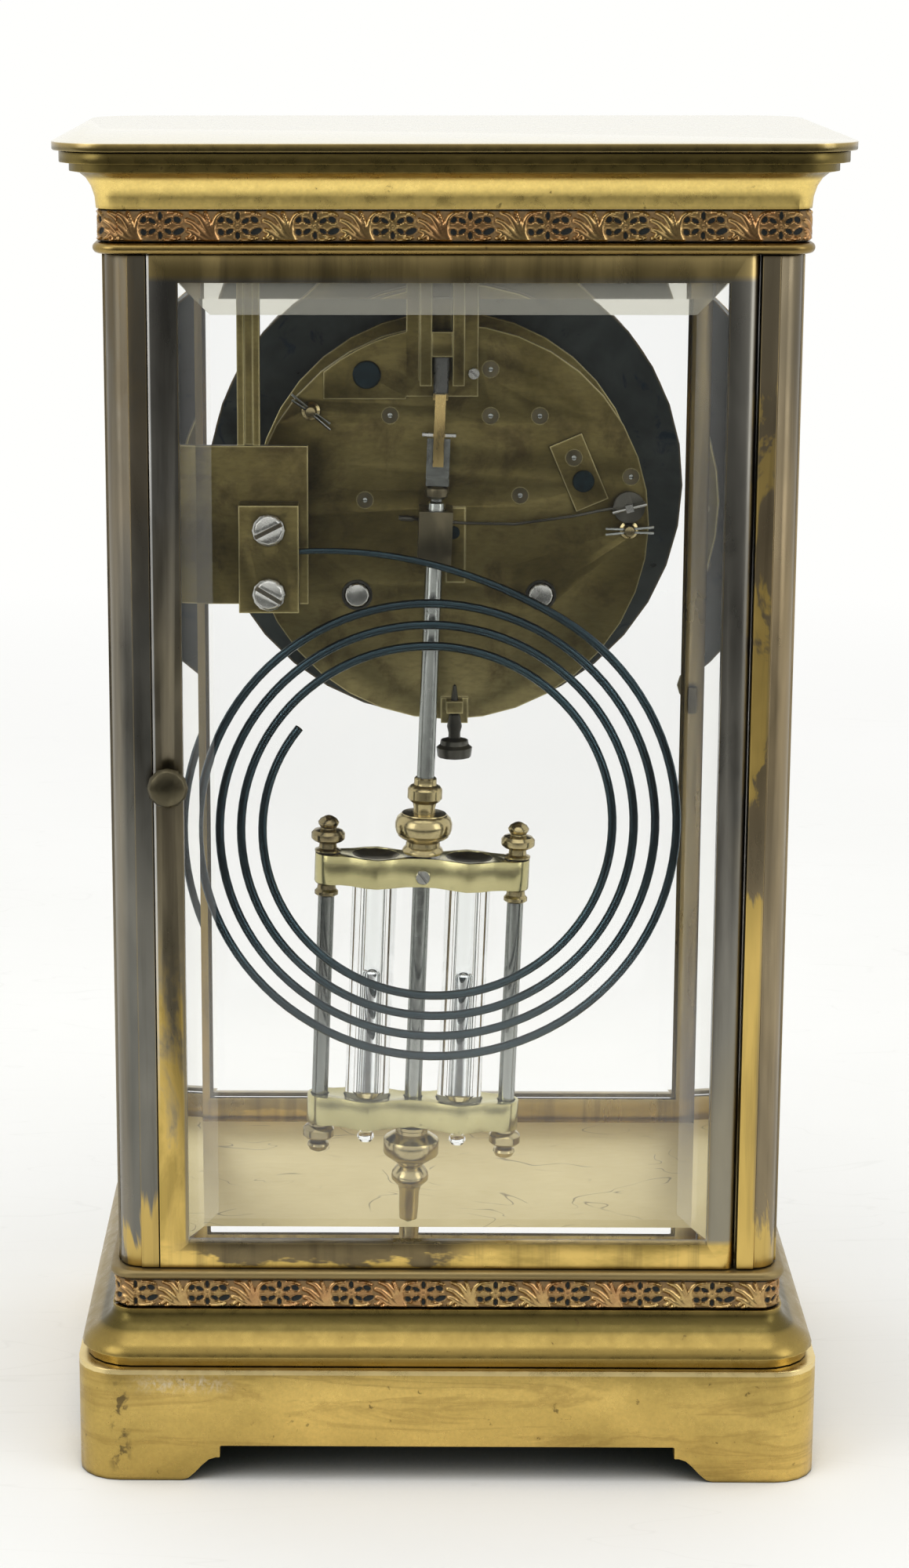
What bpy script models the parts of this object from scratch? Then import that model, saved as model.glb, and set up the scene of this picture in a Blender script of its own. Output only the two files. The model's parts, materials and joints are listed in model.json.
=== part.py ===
"""A four glass mantel clock: brass case, round striking movement, coil gong and mercury pendulum.

Metres, +Z up. The origin is the middle of the base where it stands. The dial faces -Y and the
pendulum hangs behind the movement, towards +Y. Left and right are those of someone facing the dial.
"""

import math

import bmesh
import bpy
from mathutils import Matrix, Vector

MM = 0.001
DEGREE = math.pi / 180
FULL_TURN = 2 * math.pi

# Clearances that every piece shares
SEAT_GAP = 0.3 * MM
OVERRUN = 2.0 * MM

# Case
CASE_WIDTH = 152.5 * MM
CASE_DEPTH = 110.0 * MM
CORNER_STEPS = 5

# How many flats stand for a round
PLATE_SIDES = 36
ROUND_SIDES = 12
SMALL_SIDES = 8

# Base, from the ground up
PLINTH_HEIGHT = 27.4 * MM
PLINTH_OUTSET = 9.25 * MM
PLINTH_CORNER = 10.0 * MM
PLINTH_WALL = 4.5 * MM
PLINTH_TOP_THICKNESS = 4.5 * MM
APRON_HEIGHT = 8.6 * MM
FOOT_LENGTH = 24.1 * MM
FOOT_CURVE_WIDTH = 7.9 * MM
FOOT_CURVE_HEIGHT = 5.7 * MM
FOOT_STEP = 1.1 * MM
BASE_MOULDING_HEIGHT = 11.5 * MM
BASE_MOULDING_OUTSET = 8.6 * MM
BASE_MOULDING_INSET = 9.0 * MM
BASE_GROOVE_HEIGHT = 2.3 * MM
BASE_GROOVE_DEPTH = 1.2 * MM
BASE_TOP_FILLET = 0.8 * MM
FRIEZE_HEIGHT = 6.6 * MM
FRIEZE_OUTSET = 1.0 * MM
FRIEZE_WALL = 3.0 * MM
FRIEZE_FILLET = 0.7 * MM
FRIEZE_SINK = 0.5 * MM
LEDGE_HEIGHT = 2.2 * MM
LEDGE_OUTSET = 1.9 * MM
FLOOR_RISE = 1.2 * MM
FLOOR_MARGIN = 7.8 * MM

# Posts and the top of the case
POST_HEIGHT = 231.8 * MM
POST_SIZE = 9.75 * MM
POST_STRIP = 4.0 * MM
POST_STEP = 0.55 * MM
NECK_HEIGHT = 2.4 * MM
NECK_OUTSET = 1.9 * MM
CORNICE_HEIGHT = 12.2 * MM
CORNICE_CURVE_HEIGHT = 8.0 * MM
CORNICE_CURVE_OUTSET = 6.0 * MM
CORNICE_FOOT_OUTSET = 0.95 * MM
CORNICE_FILLET_OUTSET = 6.6 * MM
CORNICE_FILLET_HEIGHT = 1.9 * MM
CORNICE_FASCIA_OUTSET = 8.75 * MM
CORNICE_INSET = 5.0 * MM
SLAB_THICKNESS = 1.9 * MM
SLAB_OUTSET = 10.25 * MM
SLAB_CORNER = 13.0 * MM

# Doors and glass
DOOR_THICKNESS = 6.2 * MM
STILE_WIDTH = 6.5 * MM
RAIL_HEIGHT = 5.9 * MM
FRONT_RAIL_HEIGHT = 7.4 * MM
LIP_THICKNESS = 3.7 * MM
REBATE_WIDTH = 0.9 * MM
HINGE_INSET = 2.8 * MM
HINGE_PIN_RADIUS = 1.0 * MM
HINGE_PIN_LENGTH = 1.3 * MM
HINGE_HOLE_CLEARANCE = 0.3 * MM
GLASS_THICKNESS = 4.0 * MM
GLASS_EDGE = 1.4 * MM
BEVEL_WIDTH = 5.9 * MM
SIDE_GLASS_INSET = 1.2 * MM
SIDE_RAIL_THICKNESS = 6.0 * MM

# Door knob and its tongue
KNOB_RADIUS = 4.64 * MM
KNOB_LENGTH = 4.4 * MM
KNOB_HEIGHT = 163.3 * MM
KNOB_SHARES = ((0.5, 0.97), (0.85, 0.85), (1.0, 0.62), (0.95, 0.48), (0.5, 0.36))
SPINDLE_RADIUS = 1.1 * MM
SPINDLE_CLEARANCE = 0.3 * MM
TONGUE_LENGTH = 5.3 * MM
TONGUE_WIDTH = 2.4 * MM
TONGUE_THICKNESS = 1.2 * MM
SLOT_DEPTH = 2.4 * MM
SLOT_CLEARANCE = 0.5 * MM

# Movement: two round plates on pillars, seen from behind
BACK_PLATE_RADIUS = 45.6 * MM
MOVEMENT_INSET = 34.5 * MM
PLATE_THICKNESS = 1.6 * MM
PLATE_SPACING = 27.7 * MM
PILLAR_RADIUS = 2.2 * MM
STUD_RADIUS = 1.3 * MM
STUD_LENGTH = 3.4 * MM
PILLAR_INSET = 4.6 * MM
PILLAR_WAIST_SHARE = 0.8
PILLAR_ANGLES = (39.5 * DEGREE, 181.6 * DEGREE, 0.0)
PIVOT_CLEARANCE = 0.35 * MM
SINK_RADIUS = 2.0 * MM
SINK_DEPTH = 0.7 * MM
EDGE_SINK_INSET = 4.3 * MM
TOP_SINK_INSET = 10.1 * MM

# Dial and hands
PAN_INSET = 18.05 * MM
PAN_CLEARANCE = 5.9 * MM
PAN_THICKNESS = 1.2 * MM
PAN_RIM_DEPTH = 3.0 * MM
PAN_RIM_WIDTH = 1.3 * MM
DIAL_INSET = 15.0 * MM
PAN_POST_RADIUS = 2.2 * MM
PAN_POST_INSET = 5.6 * MM
PAN_POST_MARGIN = 6.0 * MM
PAN_POST_ANGLES = (90.0 * DEGREE, 210.0 * DEGREE, 330.0 * DEGREE)
PAN_EAR_WIDTH = 9.0 * MM
PAN_EAR_INSET = 32.2 * MM
DIAL_TUCK = 1.2 * MM
DIAL_THICKNESS = 1.4 * MM
DIAL_CENTRE_HOLE = 4.2 * MM
KEY_HOLE_RADIUS = 3.4 * MM
BEZEL_WIDTH = 9.4 * MM
BEZEL_DEPTH = 4.6 * MM
BEZEL_SHARES = (
    (1.0, 0.0),
    (1.0, 0.35),
    (0.9, 0.65),
    (0.72, 0.75),
    (0.55, 0.55),
    (0.35, 0.5),
    (0.0, 0.2),
    (0.0, 0.0),
)
HAND_THICKNESS = 0.6 * MM
MINUTE_HAND_MARGIN = 9.0 * MM
HOUR_HAND_MARGIN = 22.0 * MM
HAND_HUB_RADIUS = 2.8 * MM
HOUR_HUB_RADIUS = 3.6 * MM
HAND_WIDTH = 4.4 * MM
HUB_SHARES = ((0.4, -1.0), (1.0, -0.4), (1.0, 0.4), (0.5, 1.0))
BLADE_SHARES = ((0.18, 0.25), (0.20, 0.5), (0.5, 0.62), (0.25, 0.78), (0.09, 0.85))
MINUTE_HAND_ANGLE = -60.0 * DEGREE
HOUR_HAND_ANGLE = 55.0 * DEGREE
HOUR_PIPE_WALL = 0.8 * MM
CENTRE_ARBOR_RADIUS = 1.4 * MM

# Going train
BARREL_OFFSET_SHARE = 0.4627
BARREL_DROP_SHARE = 0.3596
BARREL_RADIUS_SHARE = 0.364
BARREL_LENGTH = 14.0 * MM
BARREL_STANDOFF = 5.8 * MM
WINDING_ARBOR_RADIUS = 2.0 * MM
WINDING_END_RADIUS = 2.8 * MM
WINDING_END_LENGTH = 2.2 * MM
WINDING_SQUARE_LENGTH = 3.4 * MM
SQUARE_SHARE = 0.65
WHEEL_THICKNESS = 1.2 * MM
WHEEL_GAP = 0.9 * MM
INTERMEDIATE_OFFSET_SHARE = 0.4232
INTERMEDIATE_RISE_SHARE = 0.1228
ESCAPE_OFFSET = 2.0 * MM
ESCAPE_DROP = 10.5 * MM
THIRD_REACH_SHARE = 0.6887
THIRD_TO_ESCAPE_SHARE = 0.4835
ARBOR_RADIUS = 0.9 * MM
PINION_LENGTH = 3.0 * MM
GREAT_TEETH, INTERMEDIATE_LEAVES = 45, 6
INTERMEDIATE_TEETH, CENTRE_LEAVES = 36, 6
CENTRE_TEETH, THIRD_LEAVES = 45, 6
THIRD_TEETH, ESCAPE_LEAVES = 36, 6
ESCAPE_TEETH = 24
ESCAPE_RADIUS = 6.5 * MM
ESCAPE_STANDOFF = 16.3 * MM
ESCAPE_ROOT_SHARE = 0.76
ESCAPE_TOOTH_SHARES = (0.0, 0.62, 0.92)
ESCAPE_ARBOR_RADIUS = 0.65 * MM
THIRD_STANDOFF = 10.8 * MM
TOOTH_ROOT_SHARE = 0.50
LEAF_ROOT_SHARE = 0.40
ADDENDUM_SHARE = 0.75
DEDENDUM_SHARE = 1.05
RIM_SHARE = 1.6
CROSSING_COUNT = 4
RIM_POINT_SHARES = (0, 0.25, 0.5, 0.75, 1)
HUB_POINT_SHARES = (1, 0.5, 0)

# Pendulum, hung from a spring in line with the pallet arbor
PENDULUM_INSET = 25.0 * MM
PENDULUM_OFFSET = 2.0 * MM
PENDULUM_PIVOT_INSET = 6.35 * MM
PENDULUM_LEAN = 1.95 * DEGREE
SPRING_WIDTH = 3.4 * MM
SPRING_THICKNESS = 0.5 * MM
SPRING_LENGTH = 9.6 * MM
HOOK_WIDTH = 2.4 * MM
HOOK_THICKNESS = 1.6 * MM
HOOK_LENGTH = 14.9 * MM
CROSS_PIN_RADIUS = 0.5 * MM
CROSS_PIN_LENGTH = 7.6 * MM
CROSS_PIN_RISE = 7.1 * MM
FORK_PLATE_WIDTH = 5.2 * MM
FORK_PLATE_HEIGHT = 10.6 * MM
FORK_PLATE_THICKNESS = 1.4 * MM
ROD_RADIUS = 2.0 * MM
ROD_TOP_DISC_RADIUS = 2.7 * MM
ROD_TOP_DISC_HEIGHT = 3.4 * MM
BALUSTER_RADIUS = 6.55 * MM
BALUSTER_HEIGHT = 18.4 * MM
BALUSTER_SHARES = (
    (0.41, 1.0),
    (0.41, 0.93),
    (0.62, 0.90),
    (0.62, 0.72),
    (0.43, 0.69),
    (0.43, 0.60),
    (0.90, 0.49),
    (1.0, 0.39),
    (0.90, 0.30),
    (0.61, 0.24),
    (0.60, 0.14),
    (0.80, 0.09),
    (0.80, 0.0),
)
YOKE_LENGTH = 49.6 * MM
YOKE_HEIGHT = 6.8 * MM
YOKE_END_RADIUS = 4.3 * MM
YOKE_LOBE_RADIUS = 7.0 * MM
YOKE_WAIST = 3.3 * MM
YOKE_STEPS = 22
UPPER_YOKE_CLEARANCE = 3.35 * MM
PENDULUM_CLEARANCE = 1.25 * MM
SIDE_ROD_OFFSET = 21.9 * MM
SIDE_ROD_RADIUS = 1.9 * MM
FINIAL_RADIUS = 3.9 * MM
FINIAL_HEIGHT = 8.6 * MM
LOWER_FINIAL_HEIGHT = 7.6 * MM
SIDE_COLLAR_RADIUS = 2.7 * MM
FINIAL_SHARES = (
    (0.0, 1.0),
    (0.62, 0.82),
    (0.45, 0.65),
    (0.82, 0.58),
    (1.0, 0.52),
    (1.0, 0.36),
    (0.82, 0.30),
    (0.52, 0.24),
    (0.52, 0.10),
    (0.78, 0.06),
    (0.78, 0.0),
)
LOWER_FINIAL_SHARES = (
    (0.64, 1.0),
    (0.64, 0.90),
    (0.95, 0.82),
    (0.95, 0.52),
    (0.45, 0.40),
    (0.66, 0.26),
    (0.5, 0.08),
    (0.0, 0.0),
)
VIAL_OFFSET = 10.8 * MM
VIAL_RADIUS = 5.25 * MM
VIAL_BORE_RADIUS = 3.05 * MM
VIAL_TIP_RADIUS = 2.1 * MM
VIAL_TIP_LENGTH = 5.1 * MM
VIAL_FLOOR = 3.0 * MM
VIAL_TOP_SINK = 5.0 * MM
VIAL_REACH = 3.4 * MM
MERCURY_SHARE = 0.58
SCREW_ROD_RADIUS = 1.3 * MM
SCREW_ROD_LENGTH = 22.05 * MM
NUT_RADIUS = 6.8 * MM
NUT_HEIGHT = 23.2 * MM
NUT_DROP = 2.8 * MM
NUT_SHARES = (
    (0.60, 1.0),
    (0.60, 0.965),
    (0.56, 0.955),
    (0.56, 0.92),
    (0.66, 0.91),
    (0.96, 0.845),
    (0.96, 0.70),
    (0.43, 0.59),
    (0.43, 0.57),
    (0.52, 0.548),
    (0.65, 0.457),
    (0.62, 0.424),
    (0.40, 0.36),
    (0.34, 0.276),
    (0.32, 0.0),
)
FIT_CLEARANCE = 0.3 * MM

# Crutch and pallets
CRUTCH_STANDOFF = 3.9 * MM
CRUTCH_WIRE_RADIUS = 0.7 * MM
CRUTCH_BLOCK_WIDTH = 7.6 * MM
CRUTCH_BLOCK_DEPTH = 10.6 * MM
CRUTCH_BLOCK_HEIGHT = 11.9 * MM
CRUTCH_BLOCK_DROP = 34.4 * MM
PALLET_ARBOR_RADIUS = 0.85 * MM
PALLET_CLEARANCE = 1.3 * MM
PALLET_WIDTH = 1.4 * MM
PALLET_THICKNESS = 2.0 * MM
PALLET_ANGLES = tuple(angle * DEGREE for angle in (-5, 23, 50, 77, 103, 130, 157, 185))

# Pieces on the back plate
BRACKET_THICKNESS = 1.5 * MM
BRACKET_LEFT = -6.3 * MM
BRACKET_RIGHT = 10.0 * MM
BRACKET_DROP = 9.75 * MM
BRACKET_CLEARANCE = 7.5 * MM
BRACKET_FOOT_REACH = 18.7 * MM
BRACKET_FOOT_DROP = 10.35 * MM
CHEEK_WIDTH = 2.7 * MM
CHEEK_DROP = 6.05 * MM
CHEEK_LENGTH = 11.0 * MM
SPRING_BLOCK_WIDTH = 4.0 * MM
SPRING_BLOCK_HEIGHT = 5.6 * MM
BEAM_HEIGHT = 4.0 * MM
COCK_LENGTH = 16.2 * MM
COCK_WIDTH = 7.9 * MM
COCK_THICKNESS = 0.8 * MM
COCK_TO_HAMMER = 11.5 * MM
COCK_RISE = 12.1 * MM
COCK_ANGLE = -23.0 * DEGREE
GUARD_WIDTH = 4.3 * MM
GUARD_HEIGHT = 17.3 * MM
GUARD_RIGHT = 0.7 * MM
GUARD_RISE = 4.0 * MM
GUARD_THICKNESS = 0.8 * MM

# Hammer arbor, with its disc and its long thin arm
HAMMER_INSET = 4.7 * MM
HAMMER_RISE = 4.2 * MM
HAMMER_DISC_RADIUS = 3.6 * MM
HAMMER_DISC_THICKNESS = 1.4 * MM
HAMMER_ARM_RADIUS = 0.35 * MM
HAMMER_ARM_STANDOFF = 1.8 * MM
HAMMER_BAR_HEIGHT = 0.8 * MM
HAMMER_BAR_THICKNESS = 0.6 * MM
HAMMER_BAR_ANGLE = 16.0 * DEGREE
HAMMER_TIP_LENGTH = 2.6 * MM
HAMMER_TIP_RADIUS = 0.6 * MM
HAMMER_ROUTE = (
    (0.0, 3.7 * MM),
    (4.1 * MM, 4.0 * MM),
    (12.9 * MM, 2.2 * MM),
    (25.9 * MM, 0.4 * MM),
    (37.3 * MM, 0.6 * MM),
    (49.9 * MM, 1.6 * MM),
)

# Thumb screw in its lug under the back plate
SCREW_STANDOFF = 2.9 * MM
SCREW_OFFSET = -1.4 * MM
SCREW_DROP = 8.1 * MM
SCREW_HEIGHT = 17.0 * MM
SCREW_DISC_RADIUS = 4.15 * MM
SCREW_STEM_RADIUS = 0.8 * MM
THUMB_SCREW_SHARES = (
    (0.10, 0.98),
    (0.19, 0.80),
    (0.19, 0.60),
    (0.30, 0.58),
    (0.42, 0.42),
    (0.33, 0.33),
    (0.34, 0.26),
    (0.76, 0.23),
    (0.80, 0.17),
    (1.0, 0.13),
    (0.93, 0.0),
)
LUG_HALF_WIDTH = 3.1 * MM
LUG_DROP = 0.7 * MM
LUG_HEIGHT = 6.0 * MM
LUG_THICKNESS = 0.8 * MM
EYE_HEIGHT = 2.8 * MM
EYE_RISE = 10.5 * MM
EYE_WALL = 0.8 * MM

# Gong: bracket, block and coil
GONG_INSET = 15.0 * MM
GONG_PLATE_INSET = 14.25 * MM
GONG_PLATE_WIDTH = 30.1 * MM
GONG_PLATE_HEIGHT = 35.8 * MM
GONG_PLATE_DROP = 43.9 * MM
GONG_PLATE_THICKNESS = 2.0 * MM
GONG_CHANNEL_INSET = 14.3 * MM
GONG_CHANNEL_WIDTH = 5.1 * MM
GONG_CHANNEL_DEPTH = 4.6 * MM
GONG_CHANNEL_GROOVE = 1.9 * MM
GONG_BLOCK_WIDTH = 13.4 * MM
GONG_BLOCK_HEIGHT = 24.2 * MM
GONG_BLOCK_DEPTH = 6.6 * MM
GONG_BLOCK_DROP = 0.8 * MM
GONG_SCREW_RADIUS = 3.7 * MM
GONG_SCREW_HEAD = 1.5 * MM
GONG_SCREW_SHANK = 1.7 * MM
GONG_SCREW_DEPTH = 3.0 * MM
GONG_SCREW_SLOT = 0.9 * MM
GONG_SCREW_RISES = (4.3 * MM, 18.8 * MM)
GONG_SLOT_ANGLES = (-31.0 * DEGREE, 27.0 * DEGREE)
GONG_WIRE_RADIUS = 1.0 * MM
GONG_COIL_OFFSET = 3.9 * MM
GONG_COIL_INSET = 19.05 * MM
GONG_ENTRY_RISE = 13.34 * MM
GONG_ENTRY_DEPTH = 1.04 * MM
GONG_PITCH = 4.87 * MM
GONG_START_ANGLE = 64.0 * DEGREE
GONG_TURNS = 3.93
GONG_LEAD_RADIUS = 13.6 * MM
GONG_LEAD_ANGLE = 56.0 * DEGREE
GONG_LOOP_STEPS = 24
GONG_TAIL_LENGTH = 2.6 * MM
GONG_BORE_DEPTH = 3.4 * MM

# Heights of the stack
HALF_WIDTH = CASE_WIDTH / 2
HALF_DEPTH = CASE_DEPTH / 2
MOULDING_BOTTOM = PLINTH_HEIGHT + SEAT_GAP
BASE_FRIEZE_BOTTOM = MOULDING_BOTTOM + BASE_MOULDING_HEIGHT + SEAT_GAP
LEDGE_BOTTOM = BASE_FRIEZE_BOTTOM + FRIEZE_HEIGHT + SEAT_GAP
LEDGE_TOP = LEDGE_BOTTOM + LEDGE_HEIGHT
POST_BOTTOM = LEDGE_TOP + SEAT_GAP
POST_TOP = POST_BOTTOM + POST_HEIGHT
NECK_BOTTOM = POST_TOP + SEAT_GAP
NECK_TOP = NECK_BOTTOM + NECK_HEIGHT
TOP_FRIEZE_BOTTOM = NECK_TOP + SEAT_GAP
CORNICE_BOTTOM = TOP_FRIEZE_BOTTOM + FRIEZE_HEIGHT + SEAT_GAP
SLAB_BOTTOM = CORNICE_BOTTOM + CORNICE_HEIGHT + SEAT_GAP
FLOOR_TOP = LEDGE_TOP + FLOOR_RISE

# Places worked out from the sizes above
DOOR_HALF_WIDTH = HALF_WIDTH - POST_SIZE - SEAT_GAP
HINGE_X = DOOR_HALF_WIDTH - HINGE_INSET
HINGE_Y = HALF_DEPTH - HINGE_INSET
KNOB_X = DOOR_HALF_WIDTH - STILE_WIDTH / 2
PAN_RADIUS = HALF_WIDTH - PAN_INSET
MOVEMENT_HEIGHT = NECK_BOTTOM - PAN_CLEARANCE - PAN_RADIUS
BACK_PLATE_FACE = HALF_DEPTH - MOVEMENT_INSET
BACK_PLATE_FRONT = BACK_PLATE_FACE - PLATE_THICKNESS
FRONT_PLATE_REAR = BACK_PLATE_FRONT - PLATE_SPACING
FRONT_PLATE_FACE = FRONT_PLATE_REAR - PLATE_THICKNESS
TRAIN_FRONT = FRONT_PLATE_REAR + SEAT_GAP
TRAIN_REAR = BACK_PLATE_FRONT - SEAT_GAP
PILLAR_CIRCLE = BACK_PLATE_RADIUS - PILLAR_INSET
BARREL_OFFSET = BACK_PLATE_RADIUS * BARREL_OFFSET_SHARE
BARREL_DROP = BACK_PLATE_RADIUS * BARREL_DROP_SHARE
BARREL_RADIUS = BACK_PLATE_RADIUS * BARREL_RADIUS_SHARE
INTERMEDIATE_OFFSET = BACK_PLATE_RADIUS * INTERMEDIATE_OFFSET_SHARE
INTERMEDIATE_RISE = BACK_PLATE_RADIUS * INTERMEDIATE_RISE_SHARE
BARREL_HEIGHT = MOVEMENT_HEIGHT - BARREL_DROP
BARREL_FRONT = FRONT_PLATE_REAR + BARREL_STANDOFF
GREAT_WHEEL_PLANE = BARREL_FRONT + BARREL_LENGTH
CENTRE_WHEEL_PLANE = GREAT_WHEEL_PLANE + WHEEL_THICKNESS + 2 * WHEEL_GAP
INTERMEDIATE_PLANE = BARREL_FRONT - WHEEL_GAP - WHEEL_THICKNESS
THIRD_PLANE = FRONT_PLATE_REAR + THIRD_STANDOFF
ESCAPE_PLANE = FRONT_PLATE_REAR + ESCAPE_STANDOFF
PENDULUM_PIVOT_RISE = BACK_PLATE_RADIUS - PENDULUM_PIVOT_INSET
PENDULUM_PIVOT = MOVEMENT_HEIGHT + PENDULUM_PIVOT_RISE
ESCAPE_RISE = PENDULUM_PIVOT_RISE - ESCAPE_DROP
THIRD_REACH = ESCAPE_RISE * THIRD_REACH_SHARE
THIRD_TO_ESCAPE = ESCAPE_RISE * THIRD_TO_ESCAPE_SHARE
PAN_FACE = DIAL_INSET - HALF_DEPTH
PAN_EAR_OFFSET = PAN_RADIUS - PAN_EAR_INSET
PAN_POST_CIRCLE = BACK_PLATE_RADIUS - PAN_POST_INSET
PAN_INNER_RADIUS = PAN_POST_CIRCLE - PAN_POST_MARGIN
DIAL_RADIUS = PAN_RADIUS - BEZEL_WIDTH + DIAL_TUCK
MINUTE_HAND_LENGTH = DIAL_RADIUS - MINUTE_HAND_MARGIN
HOUR_HAND_LENGTH = DIAL_RADIUS - HOUR_HAND_MARGIN
DIAL_FACE = PAN_FACE - PAN_THICKNESS - SEAT_GAP - DIAL_THICKNESS
HOUR_HAND_PLANE = DIAL_FACE - WHEEL_GAP - HAND_THICKNESS
MINUTE_HAND_PLANE = HOUR_HAND_PLANE - WHEEL_GAP - HAND_THICKNESS
PENDULUM_PLANE = HALF_DEPTH - PENDULUM_INSET
CRUTCH_PLANE = BACK_PLATE_FACE + CRUTCH_STANDOFF
BRACKET_BOTTOM = PENDULUM_PIVOT - BRACKET_DROP
BRACKET_FOOT_BOTTOM = PENDULUM_PIVOT - BRACKET_FOOT_DROP
CHEEK_BOTTOM = PENDULUM_PIVOT - CHEEK_DROP
BRACKET_TOP = NECK_BOTTOM - BRACKET_CLEARANCE
GUARD_TOP = MOVEMENT_HEIGHT + GUARD_RISE
HAMMER_OFFSET = HAMMER_INSET - BACK_PLATE_RADIUS
COCK_OFFSET = HAMMER_OFFSET + COCK_TO_HAMMER
HAMMER_ARM_PLANE = BACK_PLATE_FACE + HAMMER_ARM_STANDOFF
OIL_SINKS = (
    (INTERMEDIATE_OFFSET, INTERMEDIATE_RISE),
    (13.6 * MM, 25.0 * MM),
    (-9.1 * MM, BACK_PLATE_RADIUS - TOP_SINK_INSET),
    (-9.2 * MM, 24.9 * MM),
    (-20.4 * MM, 24.9 * MM),
    (-16.1 * MM, 6.7 * MM),
    (EDGE_SINK_INSET - BACK_PLATE_RADIUS, 11.0 * MM),
)
SCREW_PLANE = BACK_PLATE_FACE + SCREW_STANDOFF
SCREW_BOTTOM = MOVEMENT_HEIGHT - BACK_PLATE_RADIUS - SCREW_DROP
LUG_BOTTOM = MOVEMENT_HEIGHT - BACK_PLATE_RADIUS - LUG_DROP

# The upper yoke keeps clear of the thumb screw, and the pendulum's lower end clears the floor
UPPER_YOKE_TOP = SCREW_BOTTOM - UPPER_YOKE_CLEARANCE - BALUSTER_HEIGHT - SEAT_GAP
UPPER_YOKE_DROP = PENDULUM_PIVOT - UPPER_YOKE_TOP
LOWER_YOKE_TOP = FLOOR_TOP + PENDULUM_CLEARANCE + SCREW_ROD_LENGTH + NUT_DROP + YOKE_HEIGHT
LOWER_YOKE_DROP = PENDULUM_PIVOT - LOWER_YOKE_TOP

# The gong hangs from the neck beside the case's wall, and its coil starts in the block
GONG_PLANE = HALF_DEPTH - GONG_INSET
GONG_PLATE_RIGHT = HALF_WIDTH - GONG_PLATE_INSET
GONG_PLATE_LEFT = GONG_PLATE_RIGHT - GONG_PLATE_WIDTH
GONG_PLATE_TOP = NECK_BOTTOM - GONG_PLATE_DROP
GONG_PLATE_BOTTOM = GONG_PLATE_TOP - GONG_PLATE_HEIGHT
GONG_CHANNEL_RIGHT = GONG_PLATE_RIGHT - GONG_CHANNEL_INSET
GONG_BLOCK_BOTTOM = GONG_PLATE_BOTTOM - GONG_BLOCK_DROP
GONG_FIRST_RADIUS = HALF_WIDTH - GONG_COIL_INSET
GONG_ENTRY_REACH = GONG_FIRST_RADIUS + GONG_LEAD_RADIUS
GONG_COIL_CENTRE_X = GONG_COIL_OFFSET
GONG_COIL_CENTRE_Z = GONG_BLOCK_BOTTOM + GONG_ENTRY_RISE - GONG_ENTRY_REACH * math.sin(GONG_START_ANGLE)
GONG_BLOCK_LEFT = GONG_COIL_CENTRE_X + GONG_ENTRY_REACH * math.cos(GONG_START_ANGLE) - GONG_ENTRY_DEPTH

# Surfaces: colour, metallic, roughness, transmission
FINISHES = {
    "aged_brass": ((0.42, 0.30, 0.10), 1.0, 0.38, 0.0),
    "dark_brass": ((0.22, 0.15, 0.07), 1.0, 0.45, 0.0),
    "plate_brass": ((0.27, 0.21, 0.08), 1.0, 0.42, 0.0),
    "copper_frieze": ((0.50, 0.24, 0.13), 1.0, 0.40, 0.0),
    "steel": ((0.55, 0.55, 0.53), 1.0, 0.25, 0.0),
    "dark_steel": ((0.12, 0.11, 0.10), 1.0, 0.45, 0.0),
    "blued_steel": ((0.03, 0.06, 0.10), 1.0, 0.30, 0.0),
    "mercury": ((0.80, 0.80, 0.82), 1.0, 0.05, 0.0),
    "enamel": ((0.90, 0.88, 0.82), 0.0, 0.25, 0.0),
    "glass": ((0.95, 0.98, 0.97), 0.0, 0.02, 1.0),
}


def clear_scene():
    for obj in list(bpy.data.objects):
        bpy.data.objects.remove(obj, do_unlink=True)


clear_scene()

clock_parts = bpy.data.collections.new("four_glass_clock")
clock_cutters = bpy.data.collections.new("four_glass_clock_cutters")
bpy.context.scene.collection.children.link(clock_parts)
bpy.context.scene.collection.children.link(clock_cutters)
clock_cutters.hide_render = True


def finish(name):
    """The named surface, made once."""
    found = bpy.data.materials.get(name)
    if found:
        return found
    colour, metallic, roughness, transmission = FINISHES[name]
    made = bpy.data.materials.new(name)
    made.use_nodes = True
    shader = made.node_tree.nodes["Principled BSDF"]
    shader.inputs["Base Color"].default_value = (*colour, 1.0)
    shader.inputs["Metallic"].default_value = metallic
    shader.inputs["Roughness"].default_value = roughness
    shader.inputs["Transmission Weight"].default_value = transmission
    return made


def place(name, mesh, surface=None, cutter=False):
    """An object from a mesh, in the parts' collection or among the cutters."""
    obj = bpy.data.objects.new(name, mesh)
    if cutter:
        clock_cutters.objects.link(obj)
        obj.hide_render = True
        obj.display_type = "WIRE"
    else:
        clock_parts.objects.link(obj)
    if surface:
        mesh.materials.append(finish(surface))
    return obj


def smooth(obj):
    obj.data.shade_smooth()
    obj.data.set_sharp_from_angle(angle=30 * DEGREE)


def box(name, low, high, surface=None, cutter=False):
    """A box between two corners."""
    shape = bmesh.new()
    bmesh.ops.create_cube(shape, size=1)
    sizes = Vector(high) - Vector(low)
    middle = (Vector(high) + Vector(low)) / 2
    frame = Matrix.Translation(middle) @ Matrix.Diagonal((*sizes, 1))
    bmesh.ops.transform(shape, matrix=frame, verts=shape.verts)
    mesh = bpy.data.meshes.new(name)
    shape.to_mesh(mesh)
    shape.free()
    return place(name, mesh, surface, cutter)


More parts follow.
